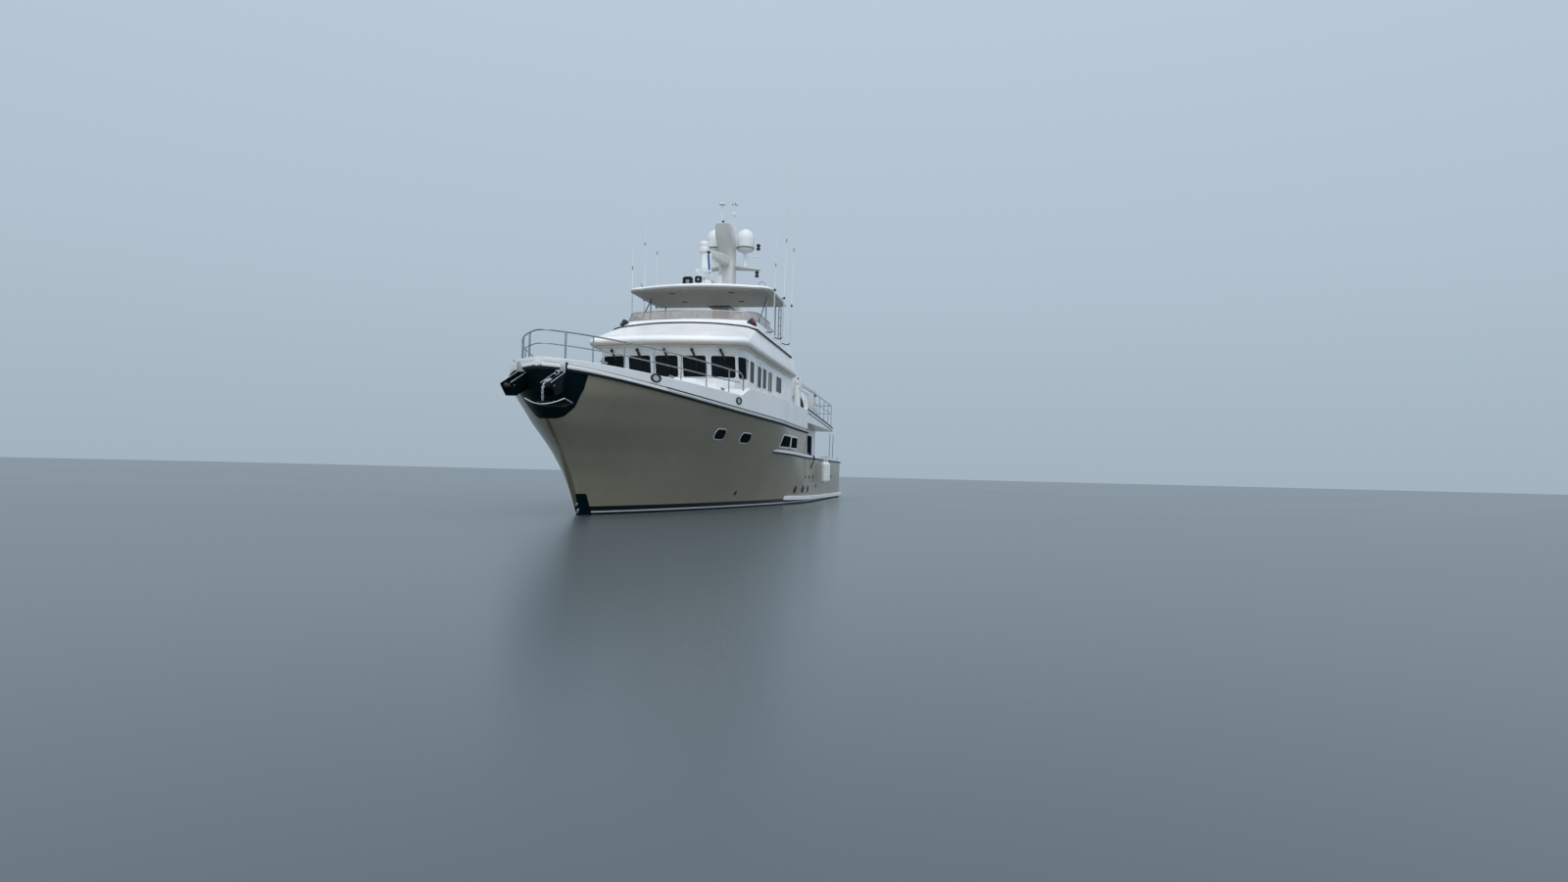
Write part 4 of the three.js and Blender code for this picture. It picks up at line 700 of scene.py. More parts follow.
def hull_half(x, forward):
    """Half a section from the deck edge down to the keel."""
    points = []
    for k in range(TOPSIDE_STEPS + 1):
        row = 1 - k / TOPSIDE_STEPS
        if forward > 0:
            z = row * hull_top_z(blend(FORWARD_X, STEM_TOP_X, forward))
            at = blend(FORWARD_X, stem_x(z), forward)
            points.append((at, half_breadth(at, z), z))
        else:
            z = row * hull_top_z(x)
            points.append((x, half_breadth(x, z), z))
    turn = [points[-1]] + [bottom_point(row, x, forward) for row in BOTTOM_ROWS]
    points += [tuple(p) for p in curve(turn[:4], 3)[1:]] + turn[4:]
    return points


def ship_loft(halves):
    return loft([list(half) + [(x, -y, z) for x, y, z in reversed(half)] for half in halves])


AFT_STATIONS = [TRANSOM_X, -10600, -10000, -9400, -8800, -8200, -7700, SKEG_AFT_X - 1, SKEG_AFT_X + 150,
    -6500, -6000, -5500, -5000, -4500, -4000, -3500, -3000, -2500, -2000, -1500, -1000, STEP_X - 1, STEP_X,
    0, 500, FORWARD_X]
FORWARD_STEPS = 56


def forward_fraction(k):
    return 1 - (1 - k / FORWARD_STEPS) ** 1.35


def hull_sections():
    sections = [hull_half(x, 0) for x in AFT_STATIONS]
    return sections + [hull_half(0, forward_fraction(k)) for k in range(1, FORWARD_STEPS + 1)]


SECTIONS = hull_sections()
TOP_EDGE = [half[0] for half in SECTIONS if half[0][0] >= STEP_X and half[0][2] > AFT_RAIL_Z + 1]


def cap_width(x):
    return blend(130, 340, clamped((x - 6500) / 3000))


def cap_z(x):
    return blend(3180, 2900 + 260 * rise(x), clamped((x - 7000) / 500))


def edge_at(x):
    i = max(1, next((k for k, p in enumerate(TOP_EDGE) if p[0] >= x), len(TOP_EDGE) - 1))
    (x0, y0, z0), (x1, y1, z1) = TOP_EDGE[i - 1], TOP_EDGE[i]
    t = (x - x0) / (x1 - x0)
    return blend(y0, y1, t), blend(z0, z1, t), blend(cap_z(x0), cap_z(x1), t)


def both_sides(outline):
    return [*outline, *[(x, -y) for x, y in reversed(outline)]]


def deck_plan(z, inset, x_from, x_to, widest=4000, steps=40):
    xs = [blend(x_from, x_to, 1 - (1 - k / steps) ** 1.4) for k in range(steps + 1)]
    return both_sides([(x, min(widest, half_breadth(x, z) - inset(x))) for x in xs])


HULL_WINDOWS = [(1440, 2420), (2620, 3590)]
HULL_WINDOW_Z = (1820, 2110)
GATE_Y = (-1600, -900)
SHAFT_Z = -1620
RUDDER_X = -9150


def hull_cutters():
    yield prism(deck_plan(AFT_RAIL_Z, lambda x: 130, -10960, STEP_X - 140, steps=20), MAIN_DECK_Z, 3000)
    for z0, z1 in ((600, 1501), (1500, 3000)):
        yield prism(deck_plan(z0, lambda x: 130, -360, 4600, 2720), z0, z1)
    yield slab(STEP_X - 200, -350, -2300, 2300, MAIN_DECK_Z, 3000)
    yield prism(deck_plan(2700, lambda x: cap_width(x) + 20, 5200, 12700), UPPER_DECK_Z, 3300)
    for x0, x1 in HULL_WINDOWS:
        outline = rounded(x0, x1, *HULL_WINDOW_Z, 60)
        yield prism(outline, 2500, 3400, "y")
        yield prism(outline, -3400, -2500, "y")
    yield slab(TRANSOM_X - 50, TRANSOM_X + 200, *GATE_Y, MAIN_DECK_Z, 3000)
    yield lathe([(66, -7250), (66, -6890)], z=SHAFT_Z, turn=TO_BOW)
    yield lathe([(51, -1200), (51, -300)], x=RUDDER_X)


def inside_hull(at, normal):
    """Faces of the decks and rooms sunk into the hull."""
    if at.z < MAIN_DECK_Z - 5:
        return False
    half = half_breadth(at.x, at.z)
    return abs(at.y) < half - 60 and TRANSOM_X + 40 < at.x < 12800


def hull():
    flat = lambda at, normal: inside_hull(at, normal) and normal.z > 0.7
    below = lambda at, normal: -360 < at.x < 4700 and abs(normal.z) < 0.9 and at.z < 2490
    saloon = lambda at, normal: inside_hull(at, normal) and below(at, normal)
    wall = lambda at, normal: inside_hull(at, normal) and abs(normal.z) <= 0.7 and not saloon(at, normal)
    aft_deck = lambda at, normal: flat(at, normal) and at.x < 4700 and at.z < 700
    # The walls of the saloon sunk into the hull take the dark lining: painted shade.
    piece("hull_shell", ship_loft(SECTIONS), "enamel", instead=["hull"], angle=28, cutters=hull_cutters(),
          inlays=[("gelcoat", wall), ("deck", flat), ("lining", saloon), ("teak", aft_deck)])
    shoe = slab(-9300, SKEG_AFT_X + 200, -70, 70, KEEL_Z, KEEL_Z + 90)
    piece("keel_shoe", shoe, "antifouling", bevel=8)


hull()


# Bulwark, rub rails, strakes and the plates on the bow
def bulwark():
    outer = ship_loft([[(x, y - 6, cap_z(x)), (x, y - 6, z + 0.3)] for x, y, z in TOP_EDGE])
    inner = prism(deck_plan(2700, cap_width, STEP_X - 100, 12850), UPPER_DECK_Z - 200, 3600)
    piece("bulwark_moulding", outer, "gelcoat", instead=["bulwark"], cutters=[inner], bevel=14, angle=20)


bulwark()


def band(name, finish, section, stations, **more):
    """A moulding that follows the topsides: its section as outset and height at each place."""
    rings = [[(x, half_breadth(x, rub_rail_z(x)) + out, z) for out, z in section(x)] for x in stations]
    piece(name, both(loft(rings)), finish, angle=30, **more)


def above_rail(corners):
    """A section given from the rub rail's own height."""
    return lambda x: [(out, rub_rail_z(x) + up) for out, up in corners]


def rub_rail_section(x):
    z = rub_rail_z(x)
    out = 48 * clamped((13360 - x) / 40 + 0.4)
    return [(-40, z), (out * 0.7, z + 2), (out, z + 22), (out, z + 66), (out * 0.62, z + 88), (-40, z + 90)]


STRIP_END_X = 10900


def rails():
    stations = [x for x, _, _ in TOP_EDGE] + [13325, 13350]
    band("rub_rail_upper_skin", "gelcoat", rub_rail_section, stations, instead=["rub_rail_upper"])
    # The black rubber band under the rail is partly its gasket and partly painted shadow under the rail.
    under = above_rail([(-30, -34), (30, -30), (50, -10), (52, 14), (-30, 14)])
    band("rub_rail_upper_gasket", "rubber", under, stations)
    abaft_bow = [x for x in stations if x < STRIP_END_X]
    strip = above_rail([(36, 28), (54, 32), (54, 56), (36, 60)])
    band("rub_rail_upper_strip", "brushed", strip, abaft_bow)
    line = above_rail([(20, 82), (48, 84), (48, 104), (20, 106)])
    band("rub_rail_upper_line", "rubber", line, abaft_bow)


rails()

LOWER_RAIL = (TRANSOM_X, 3930)
# The black rubber gasket is drawn deep and proud below each lower rail; it is partly the gasket and partly
# painted shadow under the rail.
LOWER_RAIL_BANDS = [
    # name, finish, outset, low, high
    ("skin", "gelcoat", 53, 14, 90), ("gasket_and_shadow", "rubber", 49, -26, 16), ("strip", "brushed", 56, 46, 62),
]
PLATFORM_AFT_X, STRAKE_END_X = -12050, 1370


def lower_rails():
    stations = [blend(*LOWER_RAIL, k / 40) for k in range(41)]
    for side, s in SIDES:
        for name, finish, out, low, high in LOWER_RAIL_BANDS:
            rings = []
            for x in stations:
                y = half_breadth(x, AFT_RAIL_Z)
                z = AFT_RAIL_Z - 60 + 60 * clamped((x - STEP_X) / (LOWER_RAIL[1] - STEP_X))
                end = clamped((LOWER_RAIL[1] - x) / 120 + 0.35)
                corners = [(-40, low), (out * 0.9 * end, low), (out * end, low + 8), (out * end, high - 12),
                           (out * 0.8 * end, high), (-40, high)]
                rings.append([(x, s * (y + o), z + h) for o, h in corners])
            instead = ["rub_rail_lower_" + side] if name == "skin" else ()
            piece(f"rub_rail_lower_{name}_{side}", loft(rings), finish, instead=instead, angle=30)


lower_rails()


def swim_platform():
    half, corner = 2840, 350
    outline = [(PLATFORM_AFT_X, half - corner)]
    outline += [(PLATFORM_AFT_X + corner * (1 - math.cos(a)), half - corner + corner * math.sin(a))
                for a in (math.pi / 2 * k / 8 for k in range(1, 9))]
    outline.append((TRANSOM_X + 60, half + 60))
    deck = prism(both_sides(outline), 60, 180)
    piece("swim_platform_deck", deck, "gelcoat", instead=["swim_platform"], bevel=18,
          inlays=[("teak", lambda at, normal: normal.z > 0.9)], cutters=[hull_inside()])
    for side, s in SIDES:
        rings = []
        for k in range(41):
            x = blend(TRANSOM_X - 90, STRAKE_END_X, k / 40)
            y = half_breadth(x, 120)
            z = 90 * ((x - TRANSOM_X) / (STRAKE_END_X - TRANSOM_X)) ** 2
            out = 110 * clamped((STRAKE_END_X - x) / 300 + 0.25)
            corners = [(-40, 60), (out - 14, 60), (out, 74), (out, 176), (out - 14, 190), (-40, 190)]
            rings.append([(x, s * (y + o), z + h) for o, h in corners])
        piece("strake_" + side, loft(rings), "gelcoat", angle=30)
        strip = [[(x, s * (abs(y) + o), z + h) for o, h in ((-2, 56), (6, 58), (6, 72), (-2, 74))]
                 for x, y, z in [(ring[2][0], ring[2][1], ring[0][2] - 60) for ring in rings]]
        piece("strake_strip_" + side, loft(strip), "stainless", angle=30)


def hull_inside():
    """A block inside the hull at the transom, which the platform stops at."""
    return slab(TRANSOM_X + 40, TRANSOM_X + 400, -3200, 3200, 0, 400)


swim_platform()


def bow_skin(outline_half, z_low, z_high, thickness, rows=44, columns=30):
    """A plate on the bow: the hull's own form, grown by a thickness inside a half breadth at each height."""
    rings = []
    for r in range(rows + 1):
        z = blend(z_low, z_high, r / rows)
        reach = outline_half(z)
        nose = stem_x(z)
        ring = []
        for k in range(-columns, columns + 1):
            y = reach * k / columns
            # the place where the hull is this wide
            x0, x1 = nose - 3200, nose
            for _ in range(26):
                middle = (x0 + x1) / 2
                if half_breadth(middle, z) > max(40.5, abs(y)):
                    x0 = middle
                else:
                    x1 = middle
            x = min(x0, nose - 2) if abs(y) > 40 else nose
            ring.append(Vector((x, y, z)))
        rings.append(ring)
    points = [p for ring in rings for p in ring]
    width = 2 * columns + 1
    faces = [(r * width + i, r * width + i + 1, (r + 1) * width + i + 1, (r + 1) * width + i)
             for r in range(rows) for i in range(width - 1)]
    form = bmesh.new()
    verts = [form.verts.new(p) for p in points]
    for face in faces:
        form.faces.new([verts[i] for i in face])
    bmesh.ops.recalc_face_normals(form, faces=form.faces)
    form.normal_update()
    flip = -1 if sum(v.normal.x for v in form.verts) < 0 else 1
    outer = [v.co + v.normal * thickness * flip for v in form.verts]
    inner = [v.co - v.normal * 3 * flip for v in form.verts]
    form.free()
    count = len(points)
    rim = [*range(width), *[r * width + width - 1 for r in range(1, rows + 1)],
        *[rows * width + i for i in range(width - 2, -1, -1)], *[r * width for r in range(rows - 1, 0, -1)]]
    sides = [(rim[i], rim[(i + 1) % len(rim)], rim[(i + 1) % len(rim)] + count, rim[i] + count)
        for i in range(len(rim))]
    return outer + inner, faces + [tuple(reversed([i + count for i in face])) for face in faces] + sides


PLATE_OUTLINE = [(1998, 150), (2010, 200), (2060, 308), (2240, 494), (2580, 695), (2890, 791), (3080, 810)]


def along_line(line, z):
    for (z0, y0), (z1, y1) in zip(line, line[1:]):
        if z <= z1:
            return blend(y0, y1, clamped((z - z0) / (z1 - z0)))
    return line[-1][1]


def bow_plates():
    top = rub_rail_z(13000) - 8
    piece("bow_plate_skin", bow_skin(lambda z: along_line(PLATE_OUTLINE, z), 2000, top, 13), "dark enamel",
          instead=["bow_plate"], angle=50)
    piece("stem_plate_skin", bow_skin(lambda z: 168, -398, 468, 11), "dark enamel", instead=["stem_plate"],
        angle=50)
    eye = lathe([(1, 0), (34, 0), (34, 16), (20, 20), (20, 26), (1, 26)], turn=TO_BOW, sides=20)
    for z, reach in ((250, 18), (120, 18)):
        piece(f"stem_eye_{z}", shifted(eye, stem_x(z) + reach - 8, 0, z), "galvanised", angle=30)


bow_plates()


# Frames, panes and fittings laid on a surface: to_point(a, b, out) gives the place
def loop_loft(rings):
    """Rings joined in turn, and the last one to the first."""
    points, faces = loft(rings, caps=False)
    count, last = len(rings[0]), (len(rings) - 1) * len(rings[0])
    return points, faces + [(last + i, last + (i + 1) % count, (i + 1) % count, i) for i in range(count)]


def framed_pane(name, to_point, a0, a1, b0, b1, radius, width, proud, depth, glass="glass", body="yacht"):
    """A raised frame with round corners, and the pane set back in it on its seal."""
    def ring_at(grown, out):
        edge = rounded(a0 - grown, a1 + grown, b0 - grown, b1 + grown, max(8, radius + grown), 6)
        return [Vector(to_point(a, b, out)) for a, b in edge]

    frame_rows = [(-10, -depth - 14), (-10, proud * 0.4), (-4, proud), (width - 8, proud),
        (width, proud * 0.4), (width, -6)]
    piece(name + "_frame", loop_loft([ring_at(*row) for row in frame_rows]), "gelcoat", body, angle=30)
    pane = loft([ring_at(-2, out) for out in (-depth - 8, -depth)])
    piece(name + "_pane", pane, glass, body, angle=30)
    seal_rows = [(2, -depth - 6), (2, -depth + 10), (-14, -depth + 7), (-16, -depth - 6)]
    piece(name + "_seal", loop_loft([ring_at(*row) for row in seal_rows]), "rubber", body, angle=30)


def round_point(to_point, a, b, r, tall, angle, out):
    return Vector(to_point(a + r * math.cos(angle), b + r * tall * math.sin(angle), out))


def laid_fitting(to_point, a, b, profile, tall=1.0, sides=24):
    """A turned fitting that follows the surface, from [radius, outset] pairs."""
    return loft([[round_point(to_point, a, b, r, tall, t, out) for t in turns(sides)] for r, out in profile])


def laid_ring(to_point, a, b, section, tall=1.0, sides=32):
    """A turned rim that follows the surface, open in the middle."""
    return loop_loft([[round_point(to_point, a, b, r, tall, t, out) for r, out in section]
        for t in turns(sides)])


def port_side(a, b, out):
    return a, half_breadth(a, b) + out, b


def bulwark_side(a, b, out):
    return a, edge_at(a)[0] - 6 + out, b


def hull_fittings():
    for i, (x0, x1) in enumerate(HULL_WINDOWS):
        for side, s in SIDES:
            on_side = lambda a, b, out, s=s: (a, s * (half_breadth(a, b) + out), b)
            z0, z1 = HULL_WINDOW_Z
            framed_pane(f"hull_window_{i + 1}_{side}", on_side, x0 - 15, x1 + 15, z0 - 15, z1 + 15, 34, 40,
                12, -3, "matt glass")
    for i, (x, z, half) in enumerate([(7770, 1945, 250), (6330, 1915, 300)]):
        for side, s in SIDES:
            slanted = lambda a, b: a + 0.35 * (b - 1930)
            on_side = lambda a, b, out, s=s: (slanted(a, b), s * (half_breadth(slanted(a, b), b) + out), b)
            framed_pane(f"porthole_{i + 1}_{side}", on_side, x - half, x + half, z - 118, z + 118, 110, 26,
                12, -4, "matt glass")
    for i, x in enumerate([412, -568, -1548]):
        rim = laid_ring(port_side, x, 475, [(104, -10), (138, -10), (138, 4), (128, 13), (110, 13),
            (104, 3)], 0.95)
        pane = laid_fitting(port_side, x, 475, [(1, -3), (108, -3), (108, 4), (1, 4)], 0.95)
        piece(f"oval_port_rim_{i + 1}", both(rim), "black", angle=30)
        piece(f"oval_port_pane_{i + 1}", both(pane), "glass", angle=30)
    outlet = [(1, -8), (66, -8), (66, 6), (56, 12), (44, 12), (38, 5), (1, 5)]
    spots = [(-923 - 795 * k, 900) for k in range(3)] + [(-6317 - 409 * k, 920) for k in range(5)]
    spots += [(-3408, 560), (5200, 420)]
    outlets = [laid_fitting(port_side, x, z, outlet, sides=16) for x, z in spots]
    piece("overboard_outlets", both(merge(*outlets)), "rubber", angle=30)
    for i, (x, z) in enumerate([(11162, 2985), (7680, 2800)]):
        section = [(98, -10), (156, -10), (156, 6), (142, 26), (114, 28), (102, 12), (98, 4)]
        rim = laid_ring(bulwark_side, x, z, section, 0.62)
        eye = laid_fitting(bulwark_side, x, z, [(1, -4), (102, -4), (102, 5), (1, 5)], 0.62)
        piece(f"hawse_rim_{i + 1}", both(rim), "black", angle=30)
        piece(f"hawse_eye_{i + 1}", both(eye), "brushed", angle=30)


hull_fittings()


# Ground tackle at the bow
ROLLER_Y, ROLLER_HALF, ROLLER_WALL = 405, 105, 16
ROLLER_SIDE = [(12700, 3075), (13150, 3075), (13165, 2865), (13770, 2600), (13782, 2570), (13570, 2385),
    (13530, 2375), (12700, 2690)]
WHEEL = (13620, 2560, 62)


def anchor_rollers():
    inside = prism([(12600, 3300), (12600, 2790), (13440, 2470), (13900, 2470), (13900, 3300)],
                   ROLLER_WALL - ROLLER_HALF, ROLLER_HALF - ROLLER_WALL, "y")
    for side, s in SIDES:
        y = s * ROLLER_Y
        box = shifted(prism(ROLLER_SIDE, -ROLLER_HALF, ROLLER_HALF, "y"), y=y)
        piece(f"roller_box_{side}", box, "dark enamel", instead=["anchor_roller_" + side],
            cutters=[shifted(inside, y=y)], bevel=4)
        # bright wear bars welded along the top edges of both cheeks
        line = [(13150, 3079), (13167, 2868), (13770, 2604)]
        bars = [tube([(x, y + k * (ROLLER_HALF - 6), z) for x, z in line], 7, 8) for k in (1, -1)]
        piece(f"roller_bars_{side}", merge(*bars), "brushed")
        x, z, r = WHEEL
        groove = [(1, -84), (r, -84), (r, -60), (r * 0.62, -20), (r * 0.62, 20), (r, 60), (r, 84), (1, 84)]
        piece(f"roller_wheel_{side}", lathe(groove, x, y, z, 28, TO_PORT), "rubber", angle=40)
        bolt = [(1, -8), (22, -8), (24, -2), (24, 3), (18, 9), (1, 10)]
        cheeks = ((ROLLER_HALF + 2, TO_PORT), (-ROLLER_HALF - 2, TO_STARBOARD))
        bolts = [lathe(bolt, x, y + across, z, 12, outward) for across, outward in cheeks]
        piece(f"roller_bolts_{side}", merge(*bolts), "stainless")
        half = ROLLER_HALF - 18
        plate = prism([(12900, 3010), (13150, 3060), (13160, 2880), (12960, 2930)], y - half, y + half, "y")
        piece(f"roller_keeper_{side}", plate, "galvanised", bevel=6)


anchor_rollers()
ANCHOR = (13355, 405, 2255.2)


def chain(path, length=64, half=17, wire=8):
    """Open links along a path, each turned a quarter from the last."""
    links = []
    reach, due = 0.0, length * 0.4
    for a, b in zip(path, path[1:]):
        step = (b - a).length
        while reach + step >= due:
            here, along = a.lerp(b, (due - reach) / step), (b - a).normalized()
            across = Vector((0, 1, 0)) if len(links) % 2 else along.cross(Vector((0, 1, 0))).normalized()
            outline = rounded(-length / 2, length / 2, -half, half, half - 1, 4)
            links.append(tube([here + along * u + across * v for u, v in outline], wire, 8, closed=True))
            due += length - 2.2 * wire
        reach += step
    return merge(*links)


FLUKE_REACH = 400


def fluke_section(t):
    """Front, back and height of a fluke, from the head at 0 to its tip at 1."""
    return blend(545, 430, t ** 1.4), blend(-60, 80, t), blend(-75, 25, t) - 26 * math.sin(math.pi * t)


def stowed_anchor():
    x, y, z = ANCHOR
    shank = [(-210, 0, 590), (40, 0, 486), (265, 0, 395), (410, 0, 345), (480, 0, 270), (490, 0, 170),
        (465, 0, -20)]
    shank = curve(from_here(ANCHOR, shank), 5)
    bar = tube(shank, [26] * (len(shank) - 12) + [21] * 12, 12, flat=0.8)
    swivel = [(1, -120), (24, -118), (34, -90), (34, -30), (24, -20), (24, 20), (38, 30), (38, 104),
        (26, 120), (1, 122)]
    tilt = Matrix.Translation((x + 300, y, z + 398)) @ Matrix.Rotation(math.radians(109), 4, "Y")
    stay = [(405, 0, 372), (478, 0, 318), (522, 0, 240), (526, 0, 150), (516, 0, 60), (512, 0, 16)]
    shoulder = tube(from_here(ANCHOR, [(470, -120, -34), (470, 120, -34)]), 34, 16)
    head = [(x + a, z + b) for a, b in ((400, -80), (540, -80), (540, -10), (500, 10), (400, 10))]
    blades, edges = [], []
    for s in (1, -1):
        rings, rim = [], []
        for k in range(7):
            t = k / 6
            front, back, up = fluke_section(t)
            side = s * FLUKE_REACH * t
            thick = blend(15, 8, t)
            rings.append(from_here(ANCHOR, [
                (front, side, up - thick + 18 * t), (front, side, up + thick + 18 * t),
                (back, side, up + thick - 36 * t), (back, side, up - thick - 36 * t)]))
            rim.append((front, side, up + 18 * t + 12))
        blades.append(loft(rings))
        tip = [rim[-1], (80, s * FLUKE_REACH, 1)]
        edges += [tube(from_here(ANCHOR, line), 10, 8) for line in (rim, tip)]
    # The green-black enamel on the shank, head and flukes stands in for the shade the anchor lies in: painted
    # shade. The bright tubes on the fluke edges are painted highlights.
    piece("anchor_shank_painted_shade", bar, "dark enamel", instead=["anchor"])
    piece("anchor_swivel", moved(lathe(swivel, sides=20), tilt), "galvanised", angle=45)
    piece("anchor_chain_stay", chain(curve(from_here(ANCHOR, stay), 8)), "galvanised", angle=60)
    piece("anchor_head_painted_shade", merge(prism(head, y - 55, y + 55, "y"), shoulder), "dark enamel", bevel=6)
    piece("anchor_flukes_painted_shade", merge(*blades), "dark enamel", bevel=5, angle=40)
    piece("anchor_fluke_edge_highlights", merge(*edges), "brushed")
    shackle = curve(from_here(ANCHOR, [(-42, 0, 545), (-60, -40, 590), (-60, 0, 640), (-60, 40, 590)]), 6,
        True)
    piece("anchor_shackle", tube(shackle, 11, 8, closed=True), "galvanised")
    pin = tube(from_here(ANCHOR, [(-44, -52, 560), (-44, 52, 560)]), 13, 10)
    piece("anchor_shackle_pin", pin, "stainless")


stowed_anchor()
DECK_TOP = 2600


def windlasses():
    for side, s in SIDES:
        y, base = s * ROLLER_Y, DECK_TOP + 1
        plinth = prism(rounded(11450, 11950, y - 150, y + 150, 60), base, base + 112)
        piece(f"windlass_base_{side}", plinth, "gelcoat", instead=["windlass_" + side], bevel=12)
        drum = [(1, 110), (150, 110), (150, 142), (96, 168), (84, 200), (90, 250), (136, 282), (142, 304),
            (136, 326), (60, 338), (1, 340)]
        piece(f"windlass_drum_{side}", lathe(drum, 11700, y, base, 36), "stainless", angle=50)
        rib = slab(-9, 9, 86, 108, base + 176, base + 244)
        centre = Matrix.Translation((11700, y, 0))
        ribs = [moved(rib, centre @ Matrix.Rotation(angle, 4, "Z")) for angle in turns(8)]
        piece(f"windlass_whelps_{side}", merge(*ribs), "stainless", bevel=3)
        lever = tube([(11700, y, base + 330), (11700, y, base + 342), (11640, y + s * 60, base + 342)], 9, 8)
        piece(f"windlass_brake_{side}", lever, "stainless")
        hawse = lathe([(1, -1), (120, -1), (120, 14), (90, 26), (64, 10), (1, 10)], 12200, y, base, 28)
        piece(f"deck_pipe_{side}", hawse, "stainless")
        stopper = prism([(12320, base), (12380, base + 90), (12410, base + 90), (12470, base)], y - 46,
            y + 46, "y")
        piece(f"chain_stopper_{side}", stopper, "galvanised", bevel=6)


windlasses()


def cleat(x, y, z):
    """A mooring cleat of 360 mm: two feet and a horn bar."""
    bar = curve([(-180, 0, 78), (-120, 0, 74), (0, 0, 66), (120, 0, 74), (180, 0, 78)], 4)
    radii = [13 + 9 * math.sin(math.pi * k / (len(bar) - 1)) for k in range(len(bar))]
    feet = [lathe([(1, 0), (44, 0), (40, 8), (22, 30), (20, 68), (1, 68)], k * 62, 0, 0, 14) for k in (1, -1)]
    return shifted(merge(tube(bar, radii, 10), *feet), x, y, z)


def deck_gear():
    dressed("upper_deck", "deck", bevel=4)
    dressed("foredeck_hatch", "gelcoat", "foredeck_hatch_body", bevel=12)
    handle = tube(curve([(9420, -60, 2739), (9420, -60, 2762), (9420, 60, 2762), (9420, 60, 2739)], 5), 8, 8)
    piece("foredeck_hatch_handle", handle, "stainless", "foredeck_hatch_body")
    seat = prism(rounded(8200, 8900, -480, 480, 120), DECK_TOP + 1, DECK_TOP + 330)
    piece("foredeck_locker", seat, "gelcoat", bevel=30)
    cleats = []
    for x in (12300, 10400, 8300):
        y = edge_at(x)[0] - cap_width(x) * 0.5
        cleats += [cleat(x, s * y, edge_at(x)[2] - 1) for s in (1, -1)]
    piece("cap_cleats", merge(*cleats), "stainless")
    vent = [(1, 2601), (90, 2601), (90, 2615), (60, 2640), (60, 2760), (118, 2790), (124, 2815), (96, 2850),
        (1, 2858)]
    piece("deck_vents", merge(*[lathe(vent, 10700, y) for y in (620, -620)]), "stainless", angle=40)


deck_gear()

# Bow rail
RAIL_TOP = (3500, 3585, 125)
RAIL_XS = [7350, 8100, 9000, 9900, 10700, 11400, 11900, 12400, 12750, 13000, 13150]
RAIL_END = [(250, 1), (0, 1), (-130, 0.86), (-180, 0.5), (-180, 0.01)]
POST_XS = [7900, 8900, 9900, 10850, 11700, 12420, 12900]


def rail_point(x, s, part):
    low, high, more = RAIL_TOP
    top = blend(low, high, clamped((x - 6500) / 3000)) + more * rise(x)
    y, _, cap = edge_at(x)
    return Vector((x, s * (y - cap_width(x) + 60), cap + 0.9 + (top - cap) * part))


def bow_rail():
    tubes = []
    for part, radius in ((1, 17), (0.52, 13)):
        line = [rail_point(x, 1, part) for x in RAIL_XS] + [rail_point(x, -1, part)
            for x in reversed(RAIL_XS)]
        tubes.append(tube(curve(line, 6), radius, 12))
    for s in (1, -1):
        x = RAIL_XS[0]
        down = [rail_point(x + along, s, part) for along, part in RAIL_END]
        tubes.append(tube(curve(down, 6), 17, 12))
    piece("bow_rail_tubes", merge(*tubes), "stainless", instead=["bow_rail"])
    posts, feet = [], []
    for x in POST_XS:
        for s in (1, -1):
            posts.append(tube([rail_point(x, s, 0), rail_point(x, s, 1)], 14 if x < 12800 else 20, 12))
            foot = rail_point(x, s, 0)
            feet.append(lathe([(1, -1), (46, -1), (44, 8), (24, 14), (19, 40), (1, 40)], foot.x, foot.y,
                foot.z, 20))
    piece("bow_rail_posts", merge(*posts), "stainless")
    piece("bow_rail_feet", merge(*feet), "stainless")


bow_rail()

# Pilothouse
HOUSE_HALF, HOUSE_TOP, HOUSE_AFT = 2170, 4480, -2200
FRONT_LOW, FRONT_LEAN = 5080, 450


def front_x(y, z):
    """The raked front of the pilothouse at a place."""
    front = FRONT_LOW + FRONT_LEAN * (z - DECK_TOP) / (HOUSE_TOP - DECK_TOP)
    line = [(0, 0), (500, 0), (1250, -60), (HOUSE_HALF - 190, -230), (HOUSE_HALF, -640)]
    y = abs(y)
    for (y0, d0), (y1, d1) in zip(line, line[1:]):
        if y <= y1:
            return front + blend(d0, d1, (y - y0) / (y1 - y0))
    return front - 640


def on_front(a, b, out):
    return front_x(a, b) + out, a, b


SIDE_PANES = [(3900, 4350, 3650), (2150, 2560, 3650), (1250, 1700, 3650), (-400, 400, 3750)]


def inside_pilothouse(at, normal):
    return abs(at.y) < HOUSE_HALF - 40 and HOUSE_AFT + 40 < at.x < front_x(at.y, at.z) - 40


